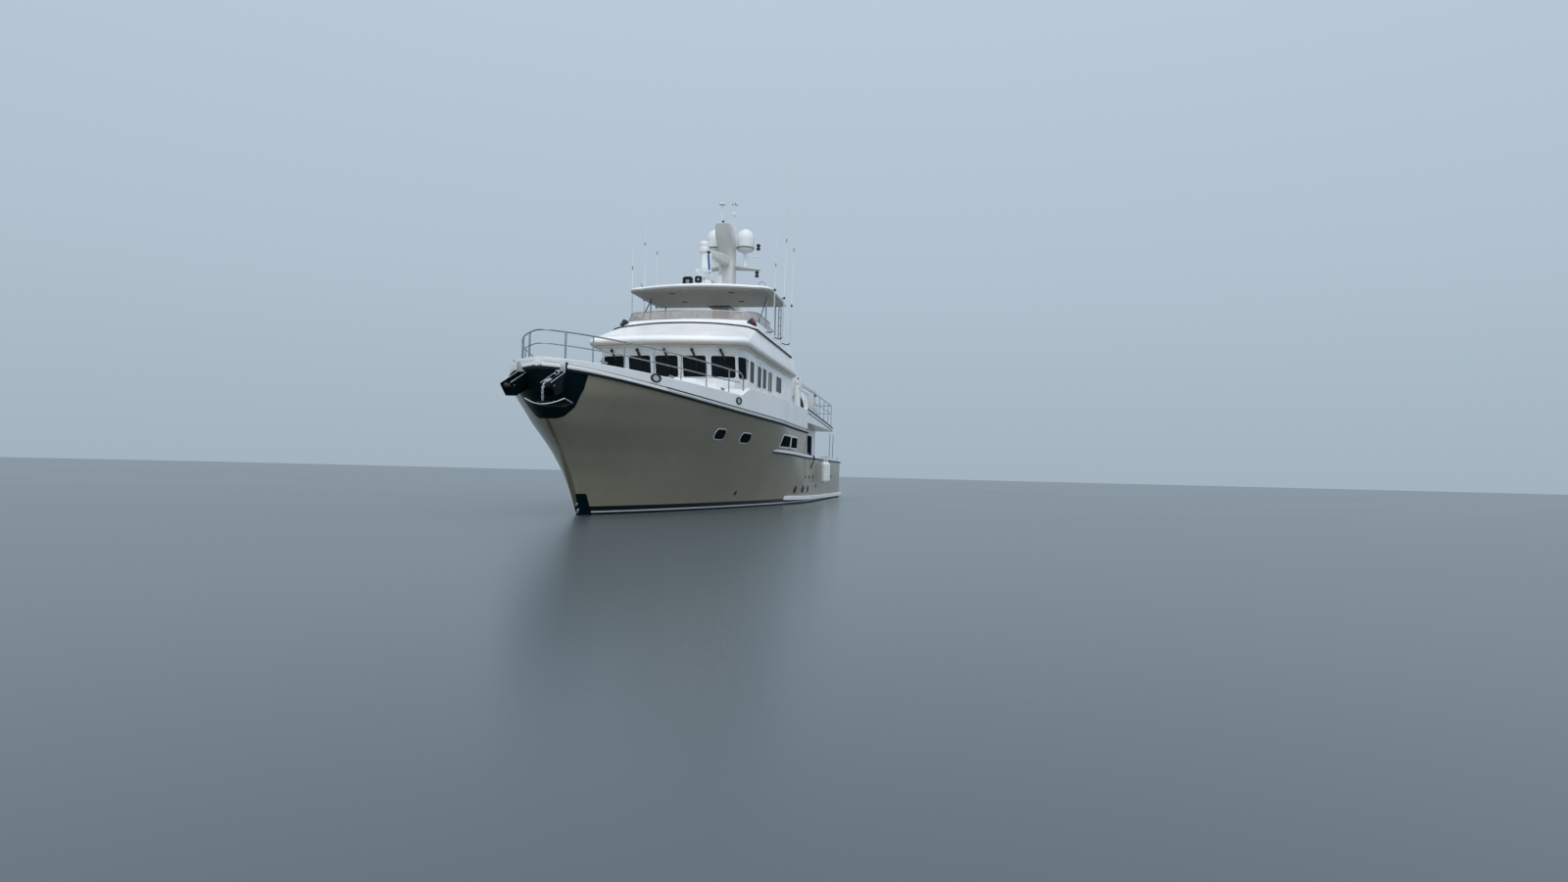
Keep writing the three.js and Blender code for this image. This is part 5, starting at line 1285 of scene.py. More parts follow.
def pilothouse():
    # The inside of the pilothouse takes the dark lining: painted shade.
    dressed("pilothouse", "gelcoat", bevel=10, inlays=[("lining", inside_pilothouse)])
    for i, y in enumerate((-1610, -805, 0, 805, 1610)):
        framed_pane(f"front_window_{i + 1}", on_front, y - 336, y + 336, 3645, 4250, 70, 36, 14, -3)
        foot = Vector(on_front(y - 60, 4400, 34))
        tip = Vector(on_front(y + 60, 4150, 34))
        arm = tube([foot, foot.lerp(tip, 0.5), tip], [30, 34, 24], 8)
        low, high = Vector(on_front(y + 40, 3790, 16)), Vector(on_front(y + 70, 4170, 20))
        blade = tube([low, low.lerp(high, 0.5), high], 10, 6)
        motor = lathe([(1, 0), (44, 0), (44, 30), (30, 44), (1, 46)], foot.x - 36, foot.y, foot.z, 16, TO_BOW)
        piece(f"wiper_{i + 1}", merge(arm, blade, motor), "black")
    for side, s in SIDES:
        wall = lambda a, b, out, s=s: (a, s * (HOUSE_HALF + out), b)
        for i, (x0, x1, z0) in enumerate(SIDE_PANES):
            framed_pane(f"side_window_{i + 1}_{side}", wall, x0 - 20, x1 + 20, z0 - 20, 4230, 60, 30, 8, -3)
        split = slab(1455, 1495, s * HOUSE_HALF - 20, s * HOUSE_HALF + 12, 3640, 4220)
        piece(f"side_window_3_mullion_{side}", split, "gelcoat", bevel=5)
        body = f"pilothouse_door_{side}_body"
        dressed("pilothouse_door_" + side, "gelcoat", body, bevel=5)
        framed_pane(f"pilothouse_door_{side}_pane", wall, 2880, 3340, 3590, 4210, 60, 26, 7, -2, body=body)
        grip = curve([(2880, s * (HOUSE_HALF + out), z) for out, z in ((2, 3500), (42, 3500), (42, 3320),
            (2, 3320))], 6)
        piece(f"pilothouse_door_{side}_handle", tube(grip, 9, 10), "stainless", body)
        rail_line = [(x, s * (HOUSE_HALF + 62), 3330) for x in (-1900, -500, 700)]
        brackets = [tube([(x, s * HOUSE_HALF, 3330), (x, s * (HOUSE_HALF + 62), 3330)], 9, 8)
            for x in (-1700, -500, 600)]
        piece(f"house_grab_rail_{side}", merge(tube(rail_line, 15, 12), *brackets), "stainless")
    aft = lambda a, b, out: (HOUSE_AFT - out, a, b)
    framed_pane("aft_window", aft, -1500, 1500, 3600, 4150, 80, 40, 12, 30)


pilothouse()


def corner_windows():
    """Panes that wrap the corners between the front and the sides."""
    for side, s in SIDES:
        def wrap(a, b, out, s=s):
            # a runs along the corner's face, from the side wall forward
            ends = [Vector((front_x(y, b), y, 0)) for y in (HOUSE_HALF, HOUSE_HALF - 190)]
            along = (ends[1] - ends[0]).normalized()
            outward = Vector((-along.y, along.x, 0))
            if outward.x < 0:
                outward = -outward
            on_corner = ends[0] + along * a + outward * out
            return on_corner.x, s * on_corner.y, b
        framed_pane(f"corner_window_{side}", wrap, 40, 400, 3650, 4240, 60, 26, 10, -3)


corner_windows()


def portuguese_bridge():
    dressed("portuguese_bridge", "gelcoat", bevel=28)
    dots = []
    for y, z in ((900, 3080), (1500, 3060), (-900, 3080)):
        face_x = 6975 - 0.06 * y * y / 1000
        dots.append(lathe([(1, 0), (42, 0), (42, 8), (30, 14), (1, 14)], face_x, y, z, 20, TO_BOW))
    piece("bridge_deck_lights", merge(*dots), "black")
    top = tube(curve([(6830, y, 3478) for y in (-2000, -1000, 0, 1000, 2000)], 5), 14, 10)
    stubs = [tube([(6830, y, 3440), (6830, y, 3478)], 10, 8) for y in (-1900, -950, 0, 950, 1900)]
    piece("bridge_grab_rail", merge(top, *stubs), "stainless")


portuguese_bridge()

# Flybridge and its windscreen
BROW_ROWS = [
    # z, front x, crown, corner radius, half, aft x
    (4480.3, 5720, 380, 450, 2200, -2500),
    (4505, 5860, 388, 480, 2275, -2545),
    (4545, 5950, 394, 500, 2335, -2575),
    (4600, 5996, 400, 520, 2369, -2600),
    (4650, 5990, 400, 520, 2368, -2610),
    (4700, 5950, 400, 520, 2358, -2620),
    (4760, 5840, 415, 524, 2345, -2640),
    (4860, 5560, 440, 530, 2314, -2685),
    (5020, 5120, 480, 540, 2266, -2760),
    (5200, 4640, 520, 550, 2212, -2830),
    (5380, 4185, 560, 560, 2160, -2900),
    (5460, 4030, 560, 552, 2142, -2925),
    (5520, 3935, 560, 545, 2130, -2940),
    (5560, 3890, 560, 540, 2110, -2945),
]
FLY_FLOOR = 4800


def rounded_plan(row, inset=0, turns=10, acrosses=9):
    _, front, crown, radius, half, aft = row
    w = half - inset
    edge = lambda y: front - inset - crown * (y / half) ** 2
    turn = [(edge(w - radius) - radius + radius * math.sin(a), w - radius + radius * math.cos(a))
            for a in (math.pi / 2 * k / turns for k in range(turns + 1))]
    across = [(edge((w - radius) * t), (w - radius) * t)
        for t in (1 - k / acrosses for k in range(1, acrosses))]
    return both_sides([(aft + inset, w * 0.98), (aft + inset + 900, w), *turn, *across])


def ring_of(row, inset=0, z=None):
    return [(x, y, row[0] if z is None else z) for x, y in rounded_plan(row, inset)]


def brow_row(z):
    i = next((k for k, row in enumerate(BROW_ROWS) if row[0] >= z and k), len(BROW_ROWS) - 1)
    low, high = BROW_ROWS[i - 1], BROW_ROWS[i]
    t = (z - low[0]) / (high[0] - low[0])
    return tuple(blend(a, b, t) for a, b in zip(low, high))


def smooth_rows(rows, steps):
    """More rows between the given ones, on smooth curves."""
    runs = [[p.x for p in curve([Vector((row[k], 0, 0)) for row in rows], steps)]
        for k in range(len(rows[0]))]
    return list(zip(*runs))


STRIPE_TOP, STRIPE_DIP, STRIPE_TURN_X = 5393, 150, 3990
STRIPE_SIDE = [(-2900, 5150), (-1450, 5190), (0, 5235), (1750, 5255), (3400, 5228), (4000, 5225)]


def brow_stripe():
    """The black line on the brow: near the top edge in front, lower round the corners and along the sides."""
    line = []
    for i, (x, y) in enumerate(rounded_plan(brow_row(5250))):
        z = STRIPE_TOP - STRIPE_DIP * (abs(y) / 2100) ** 3
        if x < STRIPE_TURN_X:
            z = along_line(STRIPE_SIDE, x)
        line.append((*rounded_plan(brow_row(z), -16)[i], z))
    return line


def flybridge():
    low, high = (0, 4185, 560, 560, 2160, -2900), (0, 3890, 560, 540, 2120, -2950)
    well = loft([ring_of(low, 300, FLY_FLOOR), ring_of(high, 220, 5700)])
    stairs = slab(-2400, -1500, 900, 1700, 4300, 5000)
    floor = lambda at, normal: normal.z > 0.9 and abs(at.z - FLY_FLOOR) < 10
    # The soffit under the brow's lip takes a grey that is painted shade on white gelcoat.
    soffit = lambda at, normal: normal.z < -0.6 and at.z < 4560
    piece("brow_moulding", loft([ring_of(row) for row in smooth_rows(BROW_ROWS, 3)]), "gelcoat",
        instead=["flybridge"], cutters=[well, stairs], angle=50, inlays=[("deck", floor), ("soffit", soffit)])
    piece("brow_stripe", tube(brow_stripe()[1:-1], 34, 8), "black")
    # The groove above the brow's lip is drawn as a black rubber tube: painted shade in the groove.
    groove = [(x, y, 4512) for x, y in rounded_plan(brow_row(4512), -1)]
    piece("brow_groove_painted_shade", tube(groove[1:-1], 8, 8), "rubber")
    lights = []
    for y in (-1500, -500, 500, 1500):
        lights.append(lathe([(1, 4462), (58, 4462), (62, 4470), (62, 4482), (1, 4482)], 5560 - 0.08 * abs(y),
            y, 0, 20))
    piece("soffit_lights", merge(*lights), "lens")


flybridge()
COAMING_TOP = 5560.3
SCREEN_ROWS = [(COAMING_TOP, 3880, 560, 540, 2100, 300), (5900, 3560, 560, 540, 2060, 300)]


def windscreen():
    outer = [ring_of(row) for row in SCREEN_ROWS]
    inner = [ring_of(SCREEN_ROWS[0], 18), ring_of(SCREEN_ROWS[1], 18)]
    keep = [i for i, p in enumerate(outer[0]) if p[0] > 425]
    count = len(keep)
    points = [ring[i] for ring in (*outer, *reversed(inner)) for i in keep]
    faces = []
    for r in range(4):
        for i in range(count - 1):
            n = (r + 1) % 4
            faces.append((r * count + i, r * count + i + 1, n * count + i + 1, n * count + i))
    faces += [(0, count, 2 * count, 3 * count),
        tuple(reversed((count - 1, 2 * count - 1, 3 * count - 1, 4 * count - 1)))]
    piece("windscreen_panels", (points, faces), "smoked", instead=["windscreen"], angle=30)
    top = [Vector(outer[1][i]) + Vector((0, 0, -14)) for i in keep]
    piece("windscreen_top_rail", tube(top, 15, 10), "stainless")
    low = [Vector(outer[0][i]) + Vector((-8, 0, 12)) for i in keep]
    piece("windscreen_sill", tube(low, 11, 8), "stainless")
    posts = []
    for k in range(2, count, max(1, count // 9)):
        a, b = Vector(outer[0][keep[k]]), Vector(outer[1][keep[k]])
        posts.append(tube([a + Vector((-24, 30, 5)), b + Vector((-20, -30, -10))], 8, 8))
    piece("windscreen_posts", merge(*posts), "black")


windscreen()


# Helm on the flybridge
PAD_GRID, PAD_BULGE, PAD_FRAMES = 16, 24, 20


def cushion(name, x0, x1, y0, y1, z0, z1):
    """A seat pad: a smaller closed form, blown up as cloth over its foam."""
    inset = 22
    form = bare_object(name, prism(rounded(x0 + inset, x1 - inset, y0 + inset, y1 - inset, 40), z0 + 6,
        z1 - 14))
    grid = form.modifiers.new("grid", "REMESH")
    grid.mode = "VOXEL"
    grid.voxel_size = PAD_GRID * MM
    applied(form)
    cloth = form.modifiers.new("cloth", "CLOTH")
    cloth.settings.use_pressure = True
    cloth.settings.uniform_pressure_force = 4
    cloth.settings.effector_weights.gravity = 0
    start = [v.co.copy() for v in form.data.vertices]
    for frame_number in range(1, PAD_FRAMES + 1):
        bpy.context.scene.frame_set(frame_number)
    applied(form)
    bpy.context.scene.frame_set(1)
    for v, from_here in zip(form.data.vertices, start):
        move = v.co - from_here
        if move.length > PAD_BULGE * MM:
            v.co = from_here + move.normalized() * PAD_BULGE * MM
        v.co.x = min(x1 * MM, max(x0 * MM, v.co.x))
        v.co.y = min(y1 * MM, max(y0 * MM, v.co.y))
        v.co.z = min((z1 + 8) * MM, max(z0 * MM, v.co.z))
    form.data.materials.clear()
    form.data.materials.append(FINISHES["vinyl seat"][0])
    form.data.polygons.foreach_set("use_smooth", [True] * len(form.data.polygons))
    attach(form, "yacht")


def helm():
    dressed("helm_console", "gelcoat", bevel=30)
    screen = prism([(2160, 5345), (2620, 5555), (2600, 5575), (2150, 5368)], -520, 520, "y")
    piece("console_dash", screen, "black", bevel=6)
    for i, y in enumerate((-330, 0, 330)):
        panel = prism([(2190, 5376), (2560, 5546), (2552, 5560), (2184, 5390)], y - 140, y + 140, "y")
        piece(f"console_display_{i + 1}", panel, "glass", bevel=5)
    centre = Vector((2060, 0, 5230))
    tilt = Matrix.Translation(centre) @ Matrix.Rotation(math.radians(-62), 4, "Y")
    hoop = [(190 * math.cos(a), 190 * math.sin(a), 0) for a in turns(48)]
    spokes = [tube([(0, 0, -6), (186 * math.cos(a), 186 * math.sin(a), 0)], 9, 8) for a in turns(5)]
    hub = lathe([(1, -60), (34, -60), (34, 10), (26, 20), (1, 22)], sides=20)
    piece("helm_wheel", moved(merge(tube(hoop, 13, 10, closed=True), *spokes, hub), tilt), "stainless")
    stalk = tube([centre, (2170, 0, 5290)], 22, 12)
    piece("helm_wheel_shaft", stalk, "stainless")
    lever = merge(tube([(2230, 430, 5395), (2190, 430, 5500)], 9, 8), ball(2188, 430, 5508, 22))
    piece("throttle_lever", lever, "black")
    base = prism(rounded(900, 1450, -750, 750, 60), FLY_FLOOR + 330, FLY_FLOOR + 382)
    back = prism(rounded(880, 925, -750, 750, 20), FLY_FLOOR + 382, FLY_FLOOR + 940)
    piece("helm_seat_shell", merge(base, back), "gelcoat", instead=["helm_seat"], bevel=8)
    leg = [(1, 1), (190, 1), (190, 16), (80, 40), (70, 330), (1, 330)]
    piece("helm_seat_leg", lathe(leg, 1175, 0, FLY_FLOOR, 28), "stainless")
    for i, (y0, y1) in enumerate(((-740, -250), (-245, 245), (250, 740))):
        cushion(f"seat_cushion_{i + 1}", 930, 1440, y0, y1, FLY_FLOOR + 384, FLY_FLOOR + 474)
        cushion(f"back_cushion_{i + 1}", 926, 996, y0, y1, FLY_FLOOR + 486, FLY_FLOOR + 930)


helm()

# Hardtop
HARDTOP_Z = 6700
HARDTOP_ROWS = [
    # z, front x, crown, corner radius, half, aft x
    (6700, 2950, 640, 420, 2260, -330),
    (6712, 3004, 640, 440, 2300, -366),
    (6735, 3040, 640, 455, 2330, -392),
    (6760, 3050, 640, 460, 2340, -400),
    (6795, 3034, 640, 455, 2326, -390),
    (6830, 2980, 640, 440, 2286, -368),
    (6862, 2820, 580, 428, 2160, -270),
    (6890, 2400, 420, 400, 1850, -100),
]
TRUNK_X, TRUNK_HALF = (-1050, -300), 320


def hardtop():
    tail = prism(rounded(-1600, 0, -430, 430, 160), HARDTOP_Z, HARDTOP_Z + 190)
    # The hardtop's underside takes a grey that is painted shade on white gelcoat.
    under = lambda at, normal: normal.z < -0.9
    shell = loft([ring_of(row) for row in HARDTOP_ROWS])
    piece("hardtop_shell", shell, "gelcoat", instead=["hardtop"], angle=40, inlays=[("ceiling", under)])
    piece("hardtop_tail", tail, "mast", bevel=22)
    trunk = prism(rounded(*TRUNK_X, -TRUNK_HALF, TRUNK_HALF, 110), FLY_FLOOR + 0.3, HARDTOP_Z - 0.3)
    piece("mast_trunk_skin", trunk, "gelcoat", instead=["mast_trunk"], bevel=4)
    vents, louvres = [], []
    for x, y in ((2150, -980), (2150, 980), (700, -980), (700, 980)):
        vents.append(lathe([(1, 0), (96, 0), (96, -10), (84, -14), (1, -14)], x, y, HARDTOP_Z - 0.5, 28))
        for across in (-52, -26, 0, 26, 52):
            slat = y + across
            louvres.append(slab(x - 56, x + 56, slat - 7, slat + 7, HARDTOP_Z - 22, HARDTOP_Z - 14))
    piece("hardtop_vents", merge(*vents), "black")
    piece("hardtop_vent_louvres", merge(*louvres), "galvanised")
    lights = [lathe([(1, 0), (40, 0), (42, -6), (34, -9), (1, -9)], x, y, HARDTOP_Z - 0.5, 20)
              for x in (2500, 1500, 300) for y in (-1500, -450, 450, 1500)]
    piece("hardtop_downlights", merge(*lights), "lens")
    seam = [(x, y, 6701) for x, y in rounded_plan(HARDTOP_ROWS[0], 70)]
    piece("hardtop_drip_bead", tube(seam, 9, 6, closed=True), "gelcoat")
    hand = curve([(2290, 1900, 6860), (2360, 1960, 6960), (2200, 2010, 7010), (1980, 2030, 6980),
        (1900, 2020, 6880)], 6)
    bracket = curve([(1600, 2080, 6850), (1620, 2100, 6950), (1500, 2120, 6980), (1400, 2120, 6870)], 6)
    piece("hardtop_hand_loops", both(merge(tube(hand, 13, 10), tube(bracket, 13, 10))), "stainless")


hardtop()
MAST_FOOT = HARDTOP_Z + 190.3
MAST_ROWS = [
    # z, aft x, front x, half
    (MAST_FOOT, -1480, -420, 340),
    (7400, -1420, -700, 285),
    (8300, -1390, -800, 262),
    (8750, -1360, -740, 262),
    (9250, -1180, -330, 290),
    (9620, -950, -180, 250),
]
WING_X, WING_Z = -1400, 8240
DOME_Y, DOME_Z, DOME_R = 560, 8900, 315
LAMP_ARM = [(560, 8720), (780, 8720), (960, 8720), (1032, 8750), (1040, 8820), (1040, 8990)]
# a waisted lamp: radius, height
LAMP = [(1, 0), (62, 0), (70, 12), (70, 62), (46, 84), (46, 122), (70, 144), (70, 194), (60, 208), (1, 210)]


def mast():
    column = [[(x, y, z) for x, y in rounded(aft, front, -half, half, 105)]
              for z, aft, front, half in smooth_rows(MAST_ROWS, 5)]
    piece("mast_column", loft(column), "mast", instead=["mast"], angle=45)
    cap = prism(rounded(-940, -190, -240, 240, 90), 9616, 9640)
    piece("mast_cap", cap, "plastic", bevel=8)
    wing_rows = [(0, 262, 30, 290), (200, 250, 20, 280), (400, 214, 0, 214), (600, 170, -10, 140),
                 (880, 116, -22, 84), (1080, 74, -28, 42), (1130, 56, -22, 22)]
    for side, s in SIDES:
        rings = [[(WING_X + c * math.cos(a), s * y, WING_Z + (z0 + z1) / 2 + (z1 - z0) / 2 * math.sin(a))
                  for a in turns(20)] for y, c, z0, z1 in wing_rows]
        piece(f"mast_wing_{side}", loft(rings), "mast", angle=50)
        high = DOME_Z - WING_Z
        post = [(1, 0), (72, 0), (60, 190), (52, 220), (52, high - 60), (120, high - 30), (120, high),
            (1, high)]
        piece(f"dome_post_{side}", lathe(post, WING_X, s * DOME_Y, WING_Z, 24), "plastic", angle=50)
        arm = curve([(WING_X, s * y, z) for y, z in LAMP_ARM], 5)
        piece(f"lamp_arm_{side}", tube(arm, 21, 12), "plastic")
        piece(f"lamp_arm_light_{side}", lathe(LAMP, WING_X, s * 1040, 8960, 24), "black", angle=35)
        piece(f"wing_floodlight_{side}", lathe(LAMP, WING_X, s * 1010, 7985, 24), "black", angle=35)
    arm_rows = [(-900, 190, 8260, 8620, 0), (-500, 150, 8285, 8618, -62), (-200, 120, 8308, 8606, -120),
        (100, 104, 8360, 8600, -262), (360, 90, 8420, 8592, -400)]
    rings = [[(x, y + a, z) for a, z in rounded(-half, half, z0, z1, 52)] for x, half, z0, z1, y in arm_rows]
    piece("radar_arm", loft(rings), "mast", angle=45)
    housing = [(1, 8400), (120, 8402), (160, 8424), (170, 8460), (170, 8600), (166, 8606), (166, 8614),
        (170, 8620), (170, 8712), (152, 8762), (116, 8794), (1, 8800)]
    piece("upper_housing", lathe(housing, 520, -410, 0, 36), "plastic", angle=50)
    upright_rows = [(7720, 60), (7760, 84), (7930, 96), (7960, 80), (8330, 74), (8398, 60)]
    upright = [[(x, y, z) for x, y in rounded(560 - w, 560 + w, -470, -130, 40)] for z, w in upright_rows]
    piece("scanner_upright", loft(upright), "plastic", angle=50)
    film_rows = [(7800, -176), (8050, -196), (8320, -222)]
    film = [[(x, y, z) for x, y in rounded(630, 668, centre - 34, centre + 34, 5)] for z, centre in film_rows]
    piece("scanner_upright_film", loft(film), "blue film", angle=40)
    knuckles = merge(ball(600, -220, 8392, 62), ball(600, -440, 7716, 48), ball(600, -180, 7720, 30))
    piece("scanner_upright_knuckles", knuckles, "black", angle=50)
    foot_rows = [(MAST_FOOT, -300, 200, 240), (7200, -280, 130, 200), (7500, -240, 0, 150),
        (7800, -300, -160, 90)]
    fairing = [[(x, y, z) for x, y in rounded(x0, x1, -h - 60, h - 60, 60)] for z, x0, x1, h in foot_rows]
    piece("mast_foot_fairing", loft(fairing), "mast", angle=50, bevel=10)


mast()


HEAD_ANTENNA, HEAD_ROD, CUPS_Z = (-900, -200), (-1150, 200), 10560


def mast_head():
    x, y = HEAD_ANTENNA
    disc = lathe([(1, 10490), (116, 10494), (120, 10520), (112, 10548), (70, 10560), (1, 10560)], x, y, 0, 28)
    piece("head_antenna", merge(tube([(x, y, 9550), (x, y, 10500)], 24, 12), disc), "plastic", angle=50)
    x, y = HEAD_ROD
    rod = merge(tube([(x, y, 8850), (x, y, 10400)], 17, 12), tube([(x, y, 10400), (x, y, 10640)], 10, 8))
    piece("head_rod", rod, "plastic")
    cups = []
    for a in (0.4, 2.5, 4.6):
        along, across = math.cos(a), math.sin(a)
        cups.append(tube([(x, y, CUPS_Z), (x + 90 * along, y + 90 * across, CUPS_Z)], 5, 6))
        cups.append(ball(x + 96 * along, y + 96 * across, CUPS_Z, 22, 12))
    piece("wind_cups", merge(*cups), "black")
    camera = merge(lathe([(1, 0), (52, 0), (52, 60), (44, 90), (20, 108), (1, 110)], x + 90, y, 10150, 24),
                   tube([(x, y, 10165), (x + 90, y, 10165)], 12, 8))
    piece("masthead_camera", camera, "plastic", angle=40)
    light = lathe([(1, 9636), (50, 9636), (50, 9652), (40, 9656), (40, 9720), (50, 9724), (50, 9740),
        (1, 9746)], -330, 0, 0, 24)
    piece("masthead_light", light, "black")


mast_head()


def domes():
    for side, s in SIDES:
        turned = lambda profile: lathe([(r, DOME_Z + up) for r, up in profile], WING_X, s * DOME_Y, 0, 44)
        base = [(1, 0), (142, 0), (150, 6), (262, 40), (284, 62), (306, 104), (DOME_R, 150), (1, 150)]
        piece(f"dome_{side}_base", turned(base), "plastic", instead=["dome_" + side], angle=50)
        belt = [(1, 96), (308, 98), (318, 112), (318, 158), (312, 164), (1, 164)]
        piece(f"dome_{side}_belt", turned(belt), "dome base", angle=50)
        arc = [math.pi / 2 * k / 12 for k in range(1, 12)]
        crown = [(1, 162), (DOME_R, 162), (DOME_R, 440), *[(DOME_R * math.cos(a), 440 + 380 * math.sin(a))
            for a in arc], (1, 820)]
        piece(f"dome_{side}_crown", turned(crown), "plastic", angle=50)


domes()
RADAR = (500, -360, 7450)


def radar():
    x, y, z = RADAR
    foot = [(r, MAST_FOOT + up) for r, up in ((1, 0), (230, 0), (222, 24), (166, 120), (150, 200))]
    head = [(r, z + up) for r, up in ((150, -230), (176, -196), (218, -172), (220, -20), (206, 0), (1, 0))]
    piece("radar_pedestal_skin", lathe(foot + head, x, y, 0, 40), "plastic", instead=["radar_pedestal"],
        angle=50)
    gear = prism(rounded(x - 210, x + 250, y - 150, y + 150, 70), z - 168, z - 30)
    piece("radar_gearbox", gear, "plastic", bevel=20)
    hub = [(1, z + 0.3), (60, z + 0.3), (60, z + 6), (90, z + 8), (90, z + 84), (1, z + 90)]
    section = [(-75, 80), (-66, 96), (-60, 190), (-44, 208), (44, 208), (60, 196), (75, 110), (70, 84)]
    bar_rows = [(-950, 0.8), (-938, 0.94), (-900, 1), (900, 1), (938, 0.94), (950, 0.8)]
    bar = loft([[(x + dx, y + a * k, z + 145 + (h - 145) * k) for a, h in section] for dx, k in bar_rows])
    piece("radar_hub", lathe(hub, x, y, 0, 32), "plastic", "radar_body", instead=["radar_scanner"], angle=50)
    piece("radar_bar", bar, "plastic", "radar_body", angle=30)


radar()


def searchlights():
    for side, x, y, r, up in (("port", 1750, -200, 118, 320), ("starboard", 1800, -540, 172, 250)):
        z = MAST_FOOT + up
        face = lambda half, out: [(x + out, y + a * 1.1, z + b * 1.02)
                                  for a, b in rounded(-half, half, -half, half, half * 0.5, 6)]
        shell = [face(r * k, out) for k, out in ((0.3, -90), (0.5, -86), (0.72, -50), (0.82, 0), (0.86, 40),
            (0.86, 70))]
        piece(f"searchlight_{side}_body", loft(shell), "plastic", instead=["searchlight_" + side], angle=45)
        rim_rows = [(0.84, 60), (0.89, 66), (0.89, 112), (0.85, 120), (0.66, 120), (0.62, 108), (0.62, 60)]
        rim = [face(r * k, out) for k, out in rim_rows]
        piece(f"searchlight_{side}_rim", loop_loft(rim), "black", angle=35)
        piece(f"searchlight_{side}_glass", loft([face(r * 0.66, 64), face(r * 0.66, 104)]), "glass", angle=45)
        piece(f"searchlight_{side}_reflector", loft([face(r * 0.34, 106), face(r * 0.34, 111)]), "stainless",
            angle=45)
        arm = [(10, r + 4, 0), (10, r + 14, -r * 0.7), (5, 60, -r - 26)]
        yoke = [(x + a, y - b, z + c) for a, b, c in arm] + [(x, y, z - r - 34)]
        yoke = curve(yoke + [(x + a, y + b, z + c) for a, b, c in reversed(arm)], 5)
        piece(f"searchlight_{side}_yoke", tube(yoke, 11, 8), "plastic")
        post = [(1, 0), (92, 0), (86, 14), (48, 40), (45, up - r - 30), (1, up - r - 24)]
        piece(f"searchlight_{side}_post", lathe(post, x, y, MAST_FOOT, 24), "plastic", angle=40)


searchlights()


FRAME_XS = (1350, -200)


def hardtop_frames():
    foot, top = COAMING_TOP, HARDTOP_Z - 0.3
    for side, s in SIDES:
        y = s * 1960
        bars = [tube([(x, y, foot), (x, y, top)], 23, 14) for x in FRAME_XS]
        bars.append(tube([(1350, y, foot + 250), (-200, y, foot + 250)], 17, 10))
        bars.append(tube([(1350, y, top - 60), (2500, y, foot + 20)], 19, 12))
        feet = [lathe([(1, 0), (64, 0), (60, 10), (34, 18), (28, 60), (1, 60)], x, y, foot, 20)
            for x in FRAME_XS]
        heads = [lathe([(1, -16), (60, -16), (62, 0), (1, 0)], x, y, top, 20) for x in FRAME_XS]
        piece(f"hardtop_frame_{side}_tubes", merge(*bars, *feet, *heads), "stainless",
            instead=["hardtop_frame_" + side])
    x, y, half = -760, 2010, 210
    stiles = [tube(curve([(x + a, y, 5561), (x + a, y, 6400), (x + a, y, 6900), (x + a, y - 40, 7050)], 4),
        19, 12) for a in (half, -half)]
    rungs = [tube([(x - half, y, z), (x + half, y, z)], 13, 10) for z in (5840, 6120, 6400, 6680, 6960)]
    stay = tube([(x, y, 6760), (-400, y, 6760)], 13, 8)
    shoes = [lathe([(1, 5560.5), (40, 5560.5), (38, 5580), (1, 5580)], x + k * half, y, 0, 16)
        for k in (1, -1)]
    piece("ladder_frame", merge(*stiles, *rungs, stay, *shoes), "stainless", instead=["ladder"])


hardtop_frames()
WHIPS = [
    # name, x, foot y, top y, joint z, top z
    ("a", 700, 2400, 2530, 8720, 12370),
    ("b", -620, 2420, 2530, 8750, 12320),
    ("c", 2020, 2350, 2420, 7590, 10010),
]


def whips():
    foot = 5480
    for name, x, y_foot, y_top, joint, top in WHIPS:
        for side, s in SIDES:
            at = lambda z: Vector((x, s * blend(y_foot, y_top, (z - foot) / (top - foot)), z))
            lower = tube([at(foot), at(foot + 160), at(joint - 60), at(joint)], [19, 19, 16, 15], 12)
            upper = tube([at(joint - 10), at(blend(joint, top, 0.5)), at(top)], [10, 7, 4], 10)
            ferrule = tube([at(joint - 70), at(joint + 50)], 19, 12)
            piece(f"whip_{name}_{side}_staff", merge(lower, upper), "plastic",
                instead=[f"whip_{name}_{side}"])
            piece(f"whip_{name}_{side}_ferrule", ferrule, "stainless")
            bend = [(x, s * 2040, foot + 60), (x, s * (y_foot - 200), foot - 20),
                (x, s * (y_foot - 90), foot - 40)]
            bend = tube(curve([*bend, at(foot + 20)], 5), 17, 12)
            held = at(6790)
            arm = tube([(x, s * 2300, 6770), held], 12, 8)
            jaw = lathe([(1, -32), (34, -32), (34, 32), (1, 32)], *held, 16)
            parts = [bend, jaw] if name == "b" else [bend, arm, jaw]
            piece(f"whip_{name}_{side}_bracket", merge(*parts), "black")


whips()

# Boat deck and what stands on it
BOAT_AFT, BOAT_FLOOR = -8600, 2950


def boat_half(x):
    return half_breadth(x, 2500) - 20 - (180 if x < -8500 else 0) - 12 * (STEP_X - x) / 1000


def boat_low(x):
    return blend(2750, 2840, (STEP_X - x) / (STEP_X - BOAT_AFT))


def boat_top(x):
    return blend(3280, 3050, (STEP_X - x) / (STEP_X - BOAT_AFT))


def deck_edge_half(x):
    """Half the breadth of the boat deck, rounded in at its aft corners."""
    return boat_half(x) if x > -8500 else boat_half(-8499) - 180 * clamped((-8499 - x) / 101) ** 2


